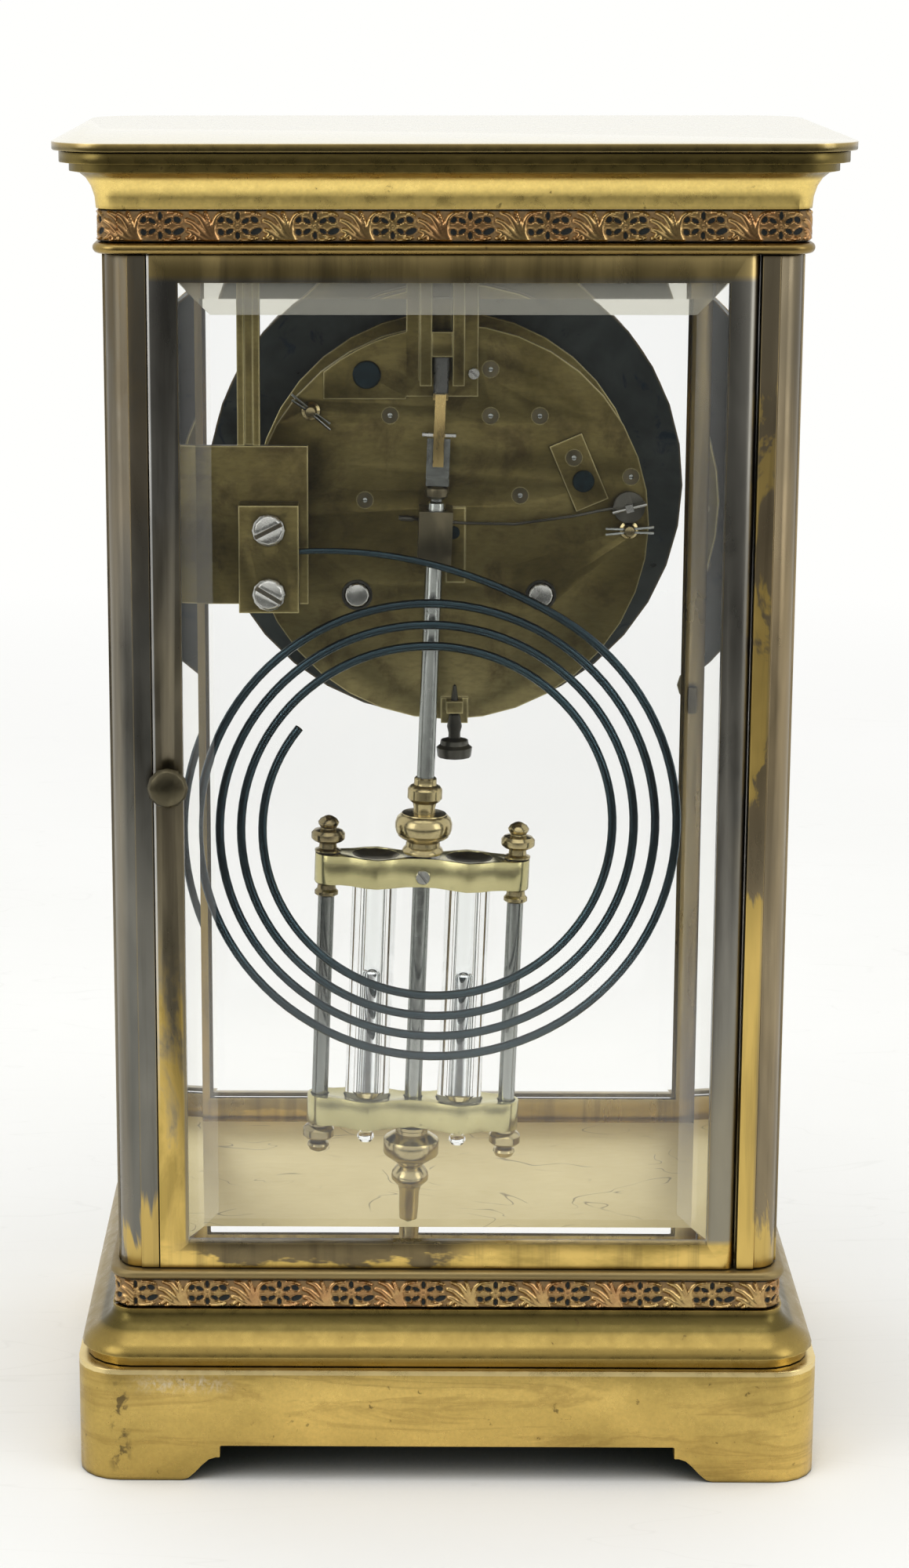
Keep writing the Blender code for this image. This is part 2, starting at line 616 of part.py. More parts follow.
def drum(name, radius, start, end, sides=ROUND_SIDES, surface=None, cutter=False):
    """A round bar between two points on a line."""
    start, end = Vector(start), Vector(end)
    along = end - start
    shape = bmesh.new()
    bmesh.ops.create_cone(
        shape, cap_ends=True, segments=sides, radius1=radius, radius2=radius, depth=along.length
    )
    turn = along.to_track_quat("Z", "Y").to_matrix().to_4x4()
    bmesh.ops.transform(shape, matrix=Matrix.Translation((start + end) / 2) @ turn, verts=shape.verts)
    mesh = bpy.data.meshes.new(name)
    shape.to_mesh(mesh)
    shape.free()
    obj = place(name, mesh, surface, cutter)
    smooth(obj)
    return obj


def turned(name, profile, centre, surface=None, axis="Z", steps=ROUND_SIDES, closed=False, cutter=False):
    """A profile of (radius, distance along the axis), from the far end down, turned about the axis."""
    mesh = bpy.data.meshes.new(name)
    points = [(radius, 0, height) for radius, height in profile]
    edges = [(i, i + 1) for i in range(len(points) - 1)]
    if closed:
        edges.append((len(points) - 1, 0))
    mesh.from_pydata(points, edges, [])
    obj = place(name, mesh, surface, cutter)
    screw = obj.modifiers.new("turn", "SCREW")
    screw.steps = steps
    screw.render_steps = steps
    screw.use_merge_vertices = True
    screw.merge_threshold = SEAT_GAP / 30
    screw.use_smooth_shade = True
    obj.location = centre
    if axis == "Y":
        obj.rotation_euler = (-math.pi / 2, 0, 0)
    return obj


def as_mesh(obj):
    """The object as evaluated, made a plain mesh object with its loose caps joined."""
    bpy.context.view_layer.update()
    graph = bpy.context.evaluated_depsgraph_get()
    mesh = bpy.data.meshes.new_from_object(obj.evaluated_get(graph))
    shape = bmesh.new()
    shape.from_mesh(mesh)
    bmesh.ops.remove_doubles(shape, verts=shape.verts, dist=SEAT_GAP / 300)
    shape.to_mesh(mesh)
    shape.free()
    name, matrix, owner = obj.name, obj.matrix_world.copy(), obj.users_collection[0]
    hidden = obj.hide_render
    bpy.data.objects.remove(obj, do_unlink=True)
    made = bpy.data.objects.new(name, mesh)
    mesh.name = name
    owner.objects.link(made)
    made.matrix_world = matrix
    if hidden:
        made.hide_render = True
        made.display_type = "WIRE"
    return made


def outline(name, loops, start, end, surface=None, upright=False, cutter=False):
    """A flat outline with its holes, as thick as from start to end.

    It lies in X and Y and rises along Z, or stands in X and Z and runs along Y when upright.
    """
    curve = bpy.data.curves.new(name, "CURVE")
    curve.dimensions = "2D"
    curve.fill_mode = "BOTH"
    curve.extrude = abs(end - start) / 2
    for loop in loops:
        spline = curve.splines.new("POLY")
        spline.points.add(len(loop) - 1)
        for point, (x, y) in zip(spline.points, loop):
            point.co = (x, y, 0, 1)
        spline.use_cyclic_u = True
    if surface:
        curve.materials.append(finish(surface))
    obj = bpy.data.objects.new(name, curve)
    (clock_cutters if cutter else clock_parts).objects.link(obj)
    obj.hide_render = cutter
    middle = (start + end) / 2
    if upright:
        obj.rotation_euler = (math.pi / 2, 0, 0)
        obj.location = (0, middle, 0)
    else:
        obj.location = (0, 0, middle)
    return as_mesh(obj)


def wire(name, route, radius, surface, resolution=1, radii=None):
    """A round wire along a route of points, as a mesh."""
    curve = bpy.data.curves.new(name, "CURVE")
    curve.dimensions = "3D"
    curve.bevel_depth = radius
    curve.bevel_resolution = resolution
    curve.use_fill_caps = True
    spline = curve.splines.new("POLY")
    spline.points.add(len(route) - 1)
    for i, (point, spot) in enumerate(zip(spline.points, route)):
        point.co = (*spot, 1)
        point.radius = radii[i] if radii else 1
    if surface:
        curve.materials.append(finish(surface))
    obj = bpy.data.objects.new(name, curve)
    clock_parts.objects.link(obj)
    made = as_mesh(obj)
    smooth(made)
    return made


def combine(obj, others, operation):
    """Unites others with the object, or cuts them from it; the others become helpers."""
    for other in others:
        modifier = obj.modifiers.new(operation.lower(), "BOOLEAN")
        modifier.operation = operation
        modifier.solver = "EXACT"
        modifier.object = other
        other.hide_render = True
        other.display_type = "WIRE"
        if other.name in clock_parts.objects:
            clock_parts.objects.unlink(other)
            clock_cutters.objects.link(other)
    return obj


def cut(obj, *others):
    return combine(obj, others, "DIFFERENCE")


def join(obj, *others):
    return combine(obj, others, "UNION")


def rounded_rectangle(half_x, half_y, radius, steps=CORNER_STEPS):
    """Points round a rectangle with round corners, anticlockwise."""
    points = []
    for corner, (sx, sy) in enumerate(((1, 1), (-1, 1), (-1, -1), (1, -1))):
        for i in range(steps + 1):
            angle = (corner + i / steps) * math.pi / 2
            points.append(
                (
                    sx * (half_x - radius) + radius * math.cos(angle),
                    sy * (half_y - radius) + radius * math.sin(angle),
                )
            )
    return points


def circle(centre_x, centre_y, radius, sides=ROUND_SIDES):
    return [
        (
            centre_x + radius * math.cos(FULL_TURN * i / sides),
            centre_y + radius * math.sin(FULL_TURN * i / sides),
        )
        for i in range(sides)
    ]


def moulding(name, profile, bottom, surface, corner=POST_STRIP):
    """A closed profile of (outset, height), carried round the case's outline."""
    section = bpy.data.curves.new(name + "_section", "CURVE")
    section.dimensions = "2D"
    spline = section.splines.new("POLY")
    spline.points.add(len(profile) - 1)
    for point, (outset, height) in zip(spline.points, profile):
        point.co = (-outset, height, 0, 1)
    spline.use_cyclic_u = True
    guide = bpy.data.objects.new(name + "_section", section)
    clock_cutters.objects.link(guide)
    guide.hide_render = True
    path = bpy.data.curves.new(name, "CURVE")
    path.dimensions = "2D"
    path.fill_mode = "NONE"
    path.bevel_mode = "OBJECT"
    path.bevel_object = guide
    path.materials.append(finish(surface))
    loop = rounded_rectangle(HALF_WIDTH, HALF_DEPTH, corner)
    spline = path.splines.new("POLY")
    spline.points.add(len(loop) - 1)
    for point, (x, y) in zip(spline.points, loop):
        point.co = (x, y, 0, 1)
    spline.use_cyclic_u = True
    obj = bpy.data.objects.new(name, path)
    clock_parts.objects.link(obj)
    obj.location = (0, 0, bottom)
    return as_mesh(obj)


# Base


def apron_outline(half_span):
    """The opening under the base between two bracket feet, with its curved shoulders."""
    narrow = half_span - FOOT_CURVE_WIDTH
    steps = CORNER_STEPS
    side = [(half_span, -OVERRUN), (half_span, 0)]
    for i in range(1, steps + 1):
        share = i / steps
        side.append(
            (
                half_span - FOOT_CURVE_WIDTH * share,
                FOOT_CURVE_HEIGHT * (1 - math.cos(math.pi * share)) / 2,
            )
        )
    side += [(narrow - FOOT_STEP, FOOT_CURVE_HEIGHT), (narrow - FOOT_STEP, APRON_HEIGHT)]
    return side + [(-x, z) for x, z in reversed(side)]


def make_plinth():
    half_x = HALF_WIDTH + PLINTH_OUTSET
    half_y = HALF_DEPTH + PLINTH_OUTSET
    plinth = outline(
        "base_plinth", [rounded_rectangle(half_x, half_y, PLINTH_CORNER)], 0, PLINTH_HEIGHT, "aged_brass"
    )
    recess = outline(
        "plinth_recess",
        [
            rounded_rectangle(
                half_x - PLINTH_WALL, half_y - PLINTH_WALL, PLINTH_CORNER - PLINTH_WALL, CORNER_STEPS // 2
            )
        ],
        -OVERRUN,
        PLINTH_HEIGHT - PLINTH_TOP_THICKNESS,
        cutter=True,
    )
    front_apron = outline(
        "plinth_front_apron",
        [apron_outline(half_x - FOOT_LENGTH)],
        -half_y - OVERRUN,
        half_y + OVERRUN,
        upright=True,
        cutter=True,
    )
    side_apron = outline(
        "plinth_side_apron",
        [apron_outline(half_y - FOOT_LENGTH)],
        -half_x - OVERRUN,
        half_x + OVERRUN,
        upright=True,
        cutter=True,
    )
    side_apron.rotation_euler.z += math.pi / 2
    return cut(plinth, recess, front_apron, side_apron)


def make_base_moulding():
    inset = -BASE_MOULDING_INSET
    lip = BASE_MOULDING_OUTSET
    top = FRIEZE_OUTSET + FRIEZE_FILLET / 2
    curve_height = BASE_MOULDING_HEIGHT - BASE_GROOVE_HEIGHT - BASE_TOP_FILLET
    profile = [(inset, 0), (lip - BASE_GROOVE_DEPTH, 0), (lip - BASE_GROOVE_DEPTH, BASE_GROOVE_HEIGHT)]
    for i in range(CORNER_STEPS + 2):
        share = i / (CORNER_STEPS + 1)
        sweep = (1 - math.cos(math.pi * share)) / 2
        profile.append((lip + (top - lip) * sweep, BASE_GROOVE_HEIGHT + curve_height * share))
    profile += [(top, BASE_MOULDING_HEIGHT), (inset, BASE_MOULDING_HEIGHT)]
    return moulding("base_moulding", profile, MOULDING_BOTTOM, "aged_brass")


def make_frieze(name, bottom):
    """An ornament band: a plain sunk field between two fillets."""
    face = FRIEZE_OUTSET
    field = face - FRIEZE_SINK
    profile = [
        (face - FRIEZE_WALL, 0),
        (face, 0),
        (face, FRIEZE_FILLET),
        (field, FRIEZE_FILLET),
        (field, FRIEZE_HEIGHT - FRIEZE_FILLET),
        (face, FRIEZE_HEIGHT - FRIEZE_FILLET),
        (face, FRIEZE_HEIGHT),
        (face - FRIEZE_WALL, FRIEZE_HEIGHT),
    ]
    return moulding(name, profile, bottom, "copper_frieze")


def plate_with_round_edge(name, bottom, height, outset, surface):
    """A full plate under or over the posts, its edge rounded like a bead."""
    steps = CORNER_STEPS
    edge = height / 2
    rings = []
    for i in range(steps + 1):
        angle = math.pi * (i / steps - 1 / 2)
        rings.append((outset - edge + edge * math.cos(angle), edge + edge * math.sin(angle)))
    shape = bmesh.new()
    loops = []
    for ring_outset, ring_height in rings:
        loop = rounded_rectangle(
            HALF_WIDTH + ring_outset, HALF_DEPTH + ring_outset, POST_STRIP + ring_outset
        )
        loops.append([shape.verts.new((x, y, bottom + ring_height)) for x, y in loop])
    for low, high in zip(loops, loops[1:]):
        for i in range(len(low)):
            j = (i + 1) % len(low)
            shape.faces.new((low[i], low[j], high[j], high[i]))
    shape.faces.new(reversed(loops[0]))
    shape.faces.new(loops[-1])
    mesh = bpy.data.meshes.new(name)
    shape.to_mesh(mesh)
    shape.free()
    return place(name, mesh, surface)


def hinge_holes(name, low, high):
    """The holes for both doors' pivots in one plate."""
    radius = HINGE_PIN_RADIUS + HINGE_HOLE_CLEARANCE
    return [
        drum(f"{name}_hinge_hole_{i}", radius, (x, y, low), (x, y, high), cutter=True)
        for i, (x, y) in enumerate(((-HINGE_X, HINGE_Y), (HINGE_X, -HINGE_Y)))
    ]


def make_floor():
    floor = plate_with_round_edge("floor_plate", LEDGE_BOTTOM, LEDGE_HEIGHT, LEDGE_OUTSET, "aged_brass")
    reach_x = HALF_WIDTH - POST_SIZE / 2 - SEAT_GAP
    reach_y = HALF_DEPTH - FLOOR_MARGIN
    rise = outline(
        "floor_rise",
        [rounded_rectangle(reach_x - POST_SIZE / 2, reach_y, FLOOR_RISE)],
        LEDGE_TOP - FLOOR_RISE,
        LEDGE_TOP + FLOOR_RISE,
    )
    join(floor, rise)
    depth = HINGE_PIN_LENGTH + HINGE_HOLE_CLEARANCE
    return cut(floor, *hinge_holes("floor", LEDGE_TOP - depth, LEDGE_TOP + OVERRUN))


# Posts and top


def post_section(side_x, side_y):
    """A corner post from above: two flat strips, two steps and a round corner between them."""
    radius = POST_SIZE - POST_STRIP - POST_STEP
    points = [(0, 0), (POST_SIZE, 0), (POST_SIZE, POST_STRIP)]
    for i in range(CORNER_STEPS + 1):
        angle = math.pi / 2 * i / CORNER_STEPS
        points.append((POST_STRIP + radius * math.cos(angle), POST_STRIP + radius * math.sin(angle)))
    points += [(POST_STRIP, POST_SIZE), (0, POST_SIZE)]
    placed = [
        (side_x * (HALF_WIDTH - POST_SIZE + x), side_y * (HALF_DEPTH - POST_SIZE + y)) for x, y in points
    ]
    return placed if side_x * side_y > 0 else placed[::-1]


def make_posts():
    for side_y, end in ((1, "rear"), (-1, "front")):
        for side_x, hand in ((1, "right"), (-1, "left")):
            post = outline(
                f"{end}_{hand}_post", [post_section(side_x, side_y)], POST_BOTTOM, POST_TOP, "dark_brass"
            )
            if side_x * side_y > 0:
                cut(post, tongue_slot(side_x))


def tongue_slot(side):
    """The slot in the post that the knob's tongue turns into."""
    inner = HALF_WIDTH - POST_SIZE
    rear = HALF_DEPTH - DOOR_THICKNESS - SEAT_GAP + SLOT_CLEARANCE
    front = rear - TONGUE_THICKNESS - 2 * SLOT_CLEARANCE
    corners = [
        (side * (inner - OVERRUN), side * front, KNOB_HEIGHT - TONGUE_LENGTH - SLOT_CLEARANCE),
        (side * (inner + SLOT_DEPTH), side * rear, KNOB_HEIGHT + TONGUE_WIDTH / 2 + SLOT_CLEARANCE),
    ]
    low = [min(a, b) for a, b in zip(*corners)]
    high = [max(a, b) for a, b in zip(*corners)]
    return box("tongue_slot_rear" if side > 0 else "tongue_slot_front", low, high, cutter=True)


def make_top():
    neck = plate_with_round_edge("top_plate", NECK_BOTTOM, NECK_HEIGHT, NECK_OUTSET, "aged_brass")
    depth = HINGE_PIN_LENGTH + HINGE_HOLE_CLEARANCE
    cut(neck, *hinge_holes("top", NECK_BOTTOM - OVERRUN, NECK_BOTTOM + depth))
    make_frieze("top_frieze", TOP_FRIEZE_BOTTOM)
    make_cornice()
    outline(
        "top_slab",
        [rounded_rectangle(HALF_WIDTH + SLAB_OUTSET, HALF_DEPTH + SLAB_OUTSET, SLAB_CORNER)],
        SLAB_BOTTOM,
        SLAB_BOTTOM + SLAB_THICKNESS,
        "aged_brass",
    )


def make_cornice():
    """A hollow curve opening upwards, a fillet and the fascia under the slab."""
    profile = [(-CORNICE_INSET, 0)]
    for i in range(CORNER_STEPS + 1):
        angle = math.pi / 2 * i / CORNER_STEPS
        outset = CORNICE_FOOT_OUTSET + (CORNICE_CURVE_OUTSET - CORNICE_FOOT_OUTSET) * (1 - math.cos(angle))
        profile.append((outset, CORNICE_CURVE_HEIGHT * math.sin(angle)))
    fillet_top = CORNICE_CURVE_HEIGHT + CORNICE_FILLET_HEIGHT
    profile += [
        (CORNICE_FILLET_OUTSET, CORNICE_CURVE_HEIGHT),
        (CORNICE_FILLET_OUTSET, fillet_top),
        (CORNICE_FASCIA_OUTSET, fillet_top),
        (CORNICE_FASCIA_OUTSET, CORNICE_HEIGHT),
        (-CORNICE_INSET, CORNICE_HEIGHT),
    ]
    return moulding("cornice", profile, CORNICE_BOTTOM, "aged_brass")


# Glass and doors


def bevelled_glass(name, half_width, bottom, top, inner_face, outward):
    """A pane with a wide bevel round its outer face. Outward is a unit vector along X or Y."""
    outward = Vector(outward)
    along = Vector((abs(outward.y), abs(outward.x), 0))
    middle = outward * (inner_face + GLASS_EDGE / 2) + Vector((0, 0, (bottom + top) / 2))
    sizes = along * half_width * 2 + Vector((abs(outward.x), abs(outward.y), 0)) * GLASS_EDGE
    sizes.z = top - bottom
    shape = bmesh.new()
    bmesh.ops.create_cube(shape, size=1)
    frame = Matrix.Translation(middle) @ Matrix.Diagonal((*sizes, 1))
    bmesh.ops.transform(shape, matrix=frame, verts=shape.verts)
    shape.faces.ensure_lookup_table()
    face = max(shape.faces, key=lambda f: f.calc_center_median().dot(outward))
    bmesh.ops.inset_region(shape, faces=[face], thickness=BEVEL_WIDTH)
    ahead = [f for f in shape.faces if f.normal.dot(outward) > 0]
    face = min(ahead, key=lambda f: (f.calc_center_median() - middle).length)
    bmesh.ops.translate(shape, verts=face.verts, vec=outward * (GLASS_THICKNESS - GLASS_EDGE))
    mesh = bpy.data.meshes.new(name)
    shape.to_mesh(mesh)
    shape.free()
    return place(name, mesh, "glass")


def door_plan(side):
    """A door from above, with its hinge edge rounded about the pivot."""
    radius = HINGE_INSET
    inner_y = HALF_DEPTH - DOOR_THICKNESS
    points = [(-DOOR_HALF_WIDTH, inner_y), (DOOR_HALF_WIDTH, inner_y), (DOOR_HALF_WIDTH, HALF_DEPTH)]
    for i in range(CORNER_STEPS + 1):
        angle = math.pi / 2 * (1 + i / CORNER_STEPS)
        points.append((-HINGE_X + radius * math.cos(angle), HINGE_Y + radius * math.sin(angle)))
    return [(side * x, side * y) for x, y in points]


def door_box(name, side, half_x, low_y, high_y, low_z, high_z):
    ends = sorted((side * low_y, side * high_y))
    return box(name, (-half_x, ends[0], low_z), (half_x, ends[1], high_z), cutter=True)


def make_door(end, side, bottom_rail):
    """A door's frame with its pivots, its bevelled glass and its knob. Side is 1 behind, -1 in front."""
    opening = DOOR_HALF_WIDTH - STILE_WIDTH
    sill = POST_BOTTOM + bottom_rail
    head = POST_TOP - RAIL_HEIGHT
    inner_y = HALF_DEPTH - DOOR_THICKNESS
    frame = outline(f"{end}_door_frame", [door_plan(side)], POST_BOTTOM, POST_TOP, "dark_brass")
    pivot = drum(
        f"{end}_door_pivot",
        HINGE_PIN_RADIUS,
        (-side * HINGE_X, side * HINGE_Y, POST_BOTTOM - HINGE_PIN_LENGTH),
        (-side * HINGE_X, side * HINGE_Y, POST_TOP + HINGE_PIN_LENGTH),
    )
    join(frame, pivot)
    sight = door_box(
        f"{end}_door_sight", side, opening, inner_y - OVERRUN, HALF_DEPTH + OVERRUN, sill, head
    )
    rebate = door_box(
        f"{end}_door_rebate",
        side,
        opening + REBATE_WIDTH,
        inner_y - OVERRUN,
        HALF_DEPTH - LIP_THICKNESS,
        sill - REBATE_WIDTH,
        head + REBATE_WIDTH,
    )
    hole = drum(
        f"{end}_door_knob_hole",
        SPINDLE_RADIUS + SPINDLE_CLEARANCE,
        (side * KNOB_X, side * (inner_y - OVERRUN), KNOB_HEIGHT),
        (side * KNOB_X, side * (HALF_DEPTH + OVERRUN), KNOB_HEIGHT),
        cutter=True,
    )
    cut(frame, sight, rebate, hole)
    fit = REBATE_WIDTH - SEAT_GAP
    bevelled_glass(
        f"{end}_door_glass", opening + fit, sill - fit, head + fit, inner_y + SLOT_CLEARANCE, (0, side, 0)
    )
    make_knob(end, side)
    return frame


def make_knob(end, side):
    """A turned knob on a spindle through the stile, with a flat tongue behind the frame."""
    inner_y = HALF_DEPTH - DOOR_THICKNESS
    back = -DOOR_THICKNESS - SEAT_GAP - TONGUE_THICKNESS / 2
    profile = [(0, KNOB_LENGTH)]
    profile += [(KNOB_RADIUS * r, KNOB_LENGTH * h) for r, h in KNOB_SHARES]
    profile += [(KNOB_RADIUS / 2, SEAT_GAP), (SPINDLE_RADIUS, SEAT_GAP), (SPINDLE_RADIUS, back), (0, back)]
    knob = turned(
        f"{end}_door_knob", profile, (side * KNOB_X, side * HALF_DEPTH, KNOB_HEIGHT), "dark_brass", "Y"
    )
    if side < 0:
        knob.rotation_euler.z = math.pi
    rear = side * (inner_y - SEAT_GAP)
    front = side * (inner_y - SEAT_GAP - TONGUE_THICKNESS)
    tongue = box(
        f"{end}_door_tongue",
        (side * KNOB_X - TONGUE_WIDTH / 2, min(front, rear), KNOB_HEIGHT - TONGUE_LENGTH),
        (side * KNOB_X + TONGUE_WIDTH / 2, max(front, rear), KNOB_HEIGHT + TONGUE_WIDTH / 2),
    )
    return join(knob, tongue)


def make_sides():
    """Rails above and below each side glass, between the posts."""
    half = HALF_DEPTH - POST_SIZE - SEAT_GAP
    outer = HALF_WIDTH - POST_STEP
    for side, hand in ((1, "right"), (-1, "left")):
        edges = sorted((side * outer, side * (outer - SIDE_RAIL_THICKNESS)))
        low, high = POST_BOTTOM + RAIL_HEIGHT, POST_TOP - RAIL_HEIGHT
        box(f"{hand}_bottom_rail", (edges[0], -half, POST_BOTTOM), (edges[1], half, low), "dark_brass")
        box(f"{hand}_top_rail", (edges[0], -half, high), (edges[1], half, POST_TOP), "dark_brass")
        inner = outer - SIDE_GLASS_INSET - GLASS_THICKNESS
        bevelled_glass(f"{hand}_side_glass", half, low + SEAT_GAP, high - SEAT_GAP, inner, (side, 0, 0))


# Movement


def gear_loop(teeth, pitch_radius, centre_x, centre_z, toward=0.0, root_share=TOOTH_ROOT_SHARE):
    """A wheel's outline with plain pointed teeth, one of them along toward."""
    module = 2 * pitch_radius / teeth
    pitch = FULL_TURN / teeth
    tip = pitch_radius + ADDENDUM_SHARE * module
    root = pitch_radius - DEDENDUM_SHARE * module
    points = []
    for i in range(teeth):
        middle = toward + i * pitch
        for share, radius in ((-root_share / 2, root), (0, tip), (root_share / 2, root)):
            angle = middle + share * pitch
            points.append((centre_x + radius * math.cos(angle), centre_z + radius * math.sin(angle)))
    return points


def crossings(centre_x, centre_z, hub, rim):
    """The openings between a wheel's spokes, which taper outwards."""
    loops = []
    spoke = hub / 3
    for i in range(CROSSING_COUNT):
        start = FULL_TURN * i / CROSSING_COUNT
        span = FULL_TURN / CROSSING_COUNT
        loop = []
        for radius, half, shares in ((rim, spoke / 2, RIM_POINT_SHARES), (hub, spoke, HUB_POINT_SHARES)):
            inset = math.asin(half / radius)
            for share in shares:
                angle = start + inset + (span - 2 * inset) * share
                loop.append((centre_x + radius * math.cos(angle), centre_z + radius * math.sin(angle)))
        loops.append(loop)
    return loops


def make_wheel(name, teeth, pitch_radius, centre, plane, toward=0.0, crossed=True):
    """A toothed wheel standing in X and Z, with crossings where it is large enough."""
    x, z = centre
    loops = [gear_loop(teeth, pitch_radius, x, z, toward)]
    if crossed:
        rim = pitch_radius - (DEDENDUM_SHARE + RIM_SHARE) * 2 * pitch_radius / teeth
        loops += crossings(x, z, pitch_radius / 4, rim)
    return outline(name, loops, plane, plane + WHEEL_THICKNESS, "plate_brass", upright=True)


def make_pinion(name, leaves, pitch_radius, centre, low, toward):
    """A pinion with a gap between two of its leaves along toward."""
    aim = toward + FULL_TURN / leaves / 2
    loops = [gear_loop(leaves, pitch_radius, *centre, aim, LEAF_ROOT_SHARE)]
    return outline(name, loops, low, low + PINION_LENGTH, "steel", upright=True)


def direction(start, end):
    return math.atan2(end[1] - start[1], end[0] - start[0])


def train_places():
    """Where the going train's arbors stand, as (x, z)."""
    centre = (0.0, MOVEMENT_HEIGHT)
    barrel = (BARREL_OFFSET, BARREL_HEIGHT)
    intermediate = (INTERMEDIATE_OFFSET, MOVEMENT_HEIGHT + INTERMEDIATE_RISE)
    escape = (ESCAPE_OFFSET, MOVEMENT_HEIGHT + ESCAPE_RISE)
    reach = math.dist(centre, escape)
    along = (THIRD_REACH**2 - THIRD_TO_ESCAPE**2 + reach**2) / (2 * reach)
    aside = math.sqrt(THIRD_REACH**2 - along**2)
    aim = direction(centre, escape)
    third = (
        centre[0] + along * math.cos(aim) - aside * math.sin(aim),
        centre[1] + along * math.sin(aim) + aside * math.cos(aim),
    )
    return {
        "centre": centre,
        "barrel": barrel,
        "intermediate": intermediate,
        "third": third,
        "escape": escape,
    }


def pitch_radii(distance, teeth, leaves):
    return distance * teeth / (teeth + leaves), distance * leaves / (teeth + leaves)


def make_arbor(name, centre, low, high, radius=ARBOR_RADIUS):
    x, z = centre
    return drum(name, radius, (x, low, z), (x, high, z), SMALL_SIDES)


def make_barrels(places):
    radius, _ = pitch_radii(
        math.dist(places["barrel"], places["intermediate"]), GREAT_TEETH, INTERMEDIATE_LEAVES
    )
    made = []
    for name, side in (("going_barrel", 1), ("strike_barrel", -1)):
        x, z = side * BARREL_OFFSET, BARREL_HEIGHT
        toward = direction(places["barrel"], places["intermediate"])
        barrel = make_wheel(name, GREAT_TEETH, radius, (x, z), GREAT_WHEEL_PLANE, toward, False)
        shell = drum(
            f"{name}_drum",
            BARREL_RADIUS,
            (x, BARREL_FRONT, z),
            (x, GREAT_WHEEL_PLANE + WHEEL_THICKNESS / 2, z),
            PLATE_SIDES * 2 // 3,
        )
        join(barrel, shell)
        bore = drum(
            f"{name}_bore",
            WINDING_ARBOR_RADIUS + FIT_CLEARANCE,
            (x, BARREL_FRONT - OVERRUN, z),
            (x, GREAT_WHEEL_PLANE + WHEEL_THICKNESS + OVERRUN, z),
            cutter=True,
        )
        made.append(cut(barrel, bore))
    return made


def make_winding_arbors():
    """An arbor through each barrel: its key square in the dial, its polished end in the back plate."""
    made = []
    for name, side in (("going_winding_arbor", 1), ("strike_winding_arbor", -1)):
        end = BACK_PLATE_FACE + WINDING_END_LENGTH / 3
        shoulder = end - WINDING_END_LENGTH
        tip = DIAL_FACE - WHEEL_GAP
        profile = [
            (0, end),
            (WINDING_END_RADIUS - WINDING_END_LENGTH / 6, end),
            (WINDING_END_RADIUS, end - WINDING_END_LENGTH / 6),
            (WINDING_END_RADIUS, shoulder),
            (WINDING_ARBOR_RADIUS, shoulder),
            (WINDING_ARBOR_RADIUS, tip + WINDING_SQUARE_LENGTH),
            (0, tip + WINDING_SQUARE_LENGTH),
        ]
        centre = (side * BARREL_OFFSET, 0, BARREL_HEIGHT)
        arbor = turned(name, profile, centre, "steel", "Y")
        half = WINDING_ARBOR_RADIUS * SQUARE_SHARE
        square = box(
            f"{name}_square",
            (centre[0] - half, tip, centre[2] - half),
            (centre[0] + half, tip + WINDING_SQUARE_LENGTH + OVERRUN, centre[2] + half),
        )
        made.append(join(arbor, square))
    return made


def make_intermediate(places):
    spot = places["intermediate"]
    _, leaf = pitch_radii(math.dist(places["barrel"], spot), GREAT_TEETH, INTERMEDIATE_LEAVES)
    radius, _ = pitch_radii(math.dist(spot, places["centre"]), INTERMEDIATE_TEETH, CENTRE_LEAVES)
    wheel = make_wheel(
        "intermediate_wheel",
        INTERMEDIATE_TEETH,
        radius,
        spot,
        INTERMEDIATE_PLANE,
        direction(spot, places["centre"]),
    )
    low = GREAT_WHEEL_PLANE - WHEEL_GAP
    pinion = make_pinion(
        "intermediate_pinion", INTERMEDIATE_LEAVES, leaf, spot, low, direction(spot, places["barrel"])
    )
    arbor = make_arbor("intermediate_arbor", spot, TRAIN_FRONT, TRAIN_REAR)
    return join(wheel, arbor, pinion)


def make_centre(places):
    """The centre wheel and its arbor, which carries the minute hand in front of the dial."""
    spot = places["centre"]
    _, leaf = pitch_radii(math.dist(places["intermediate"], spot), INTERMEDIATE_TEETH, CENTRE_LEAVES)
    radius, _ = pitch_radii(math.dist(spot, places["third"]), CENTRE_TEETH, THIRD_LEAVES)
    wheel = make_wheel(
        "centre_wheel", CENTRE_TEETH, radius, spot, CENTRE_WHEEL_PLANE, direction(spot, places["third"])
    )
    low = INTERMEDIATE_PLANE - WHEEL_GAP
    pinion = make_pinion(
        "centre_pinion", CENTRE_LEAVES, leaf, spot, low, direction(spot, places["intermediate"])
    )
    arbor = make_arbor(
        "centre_arbor", spot, MINUTE_HAND_PLANE + SEAT_GAP + HAND_THICKNESS, TRAIN_REAR, CENTRE_ARBOR_RADIUS
    )
    return join(wheel, arbor, pinion)


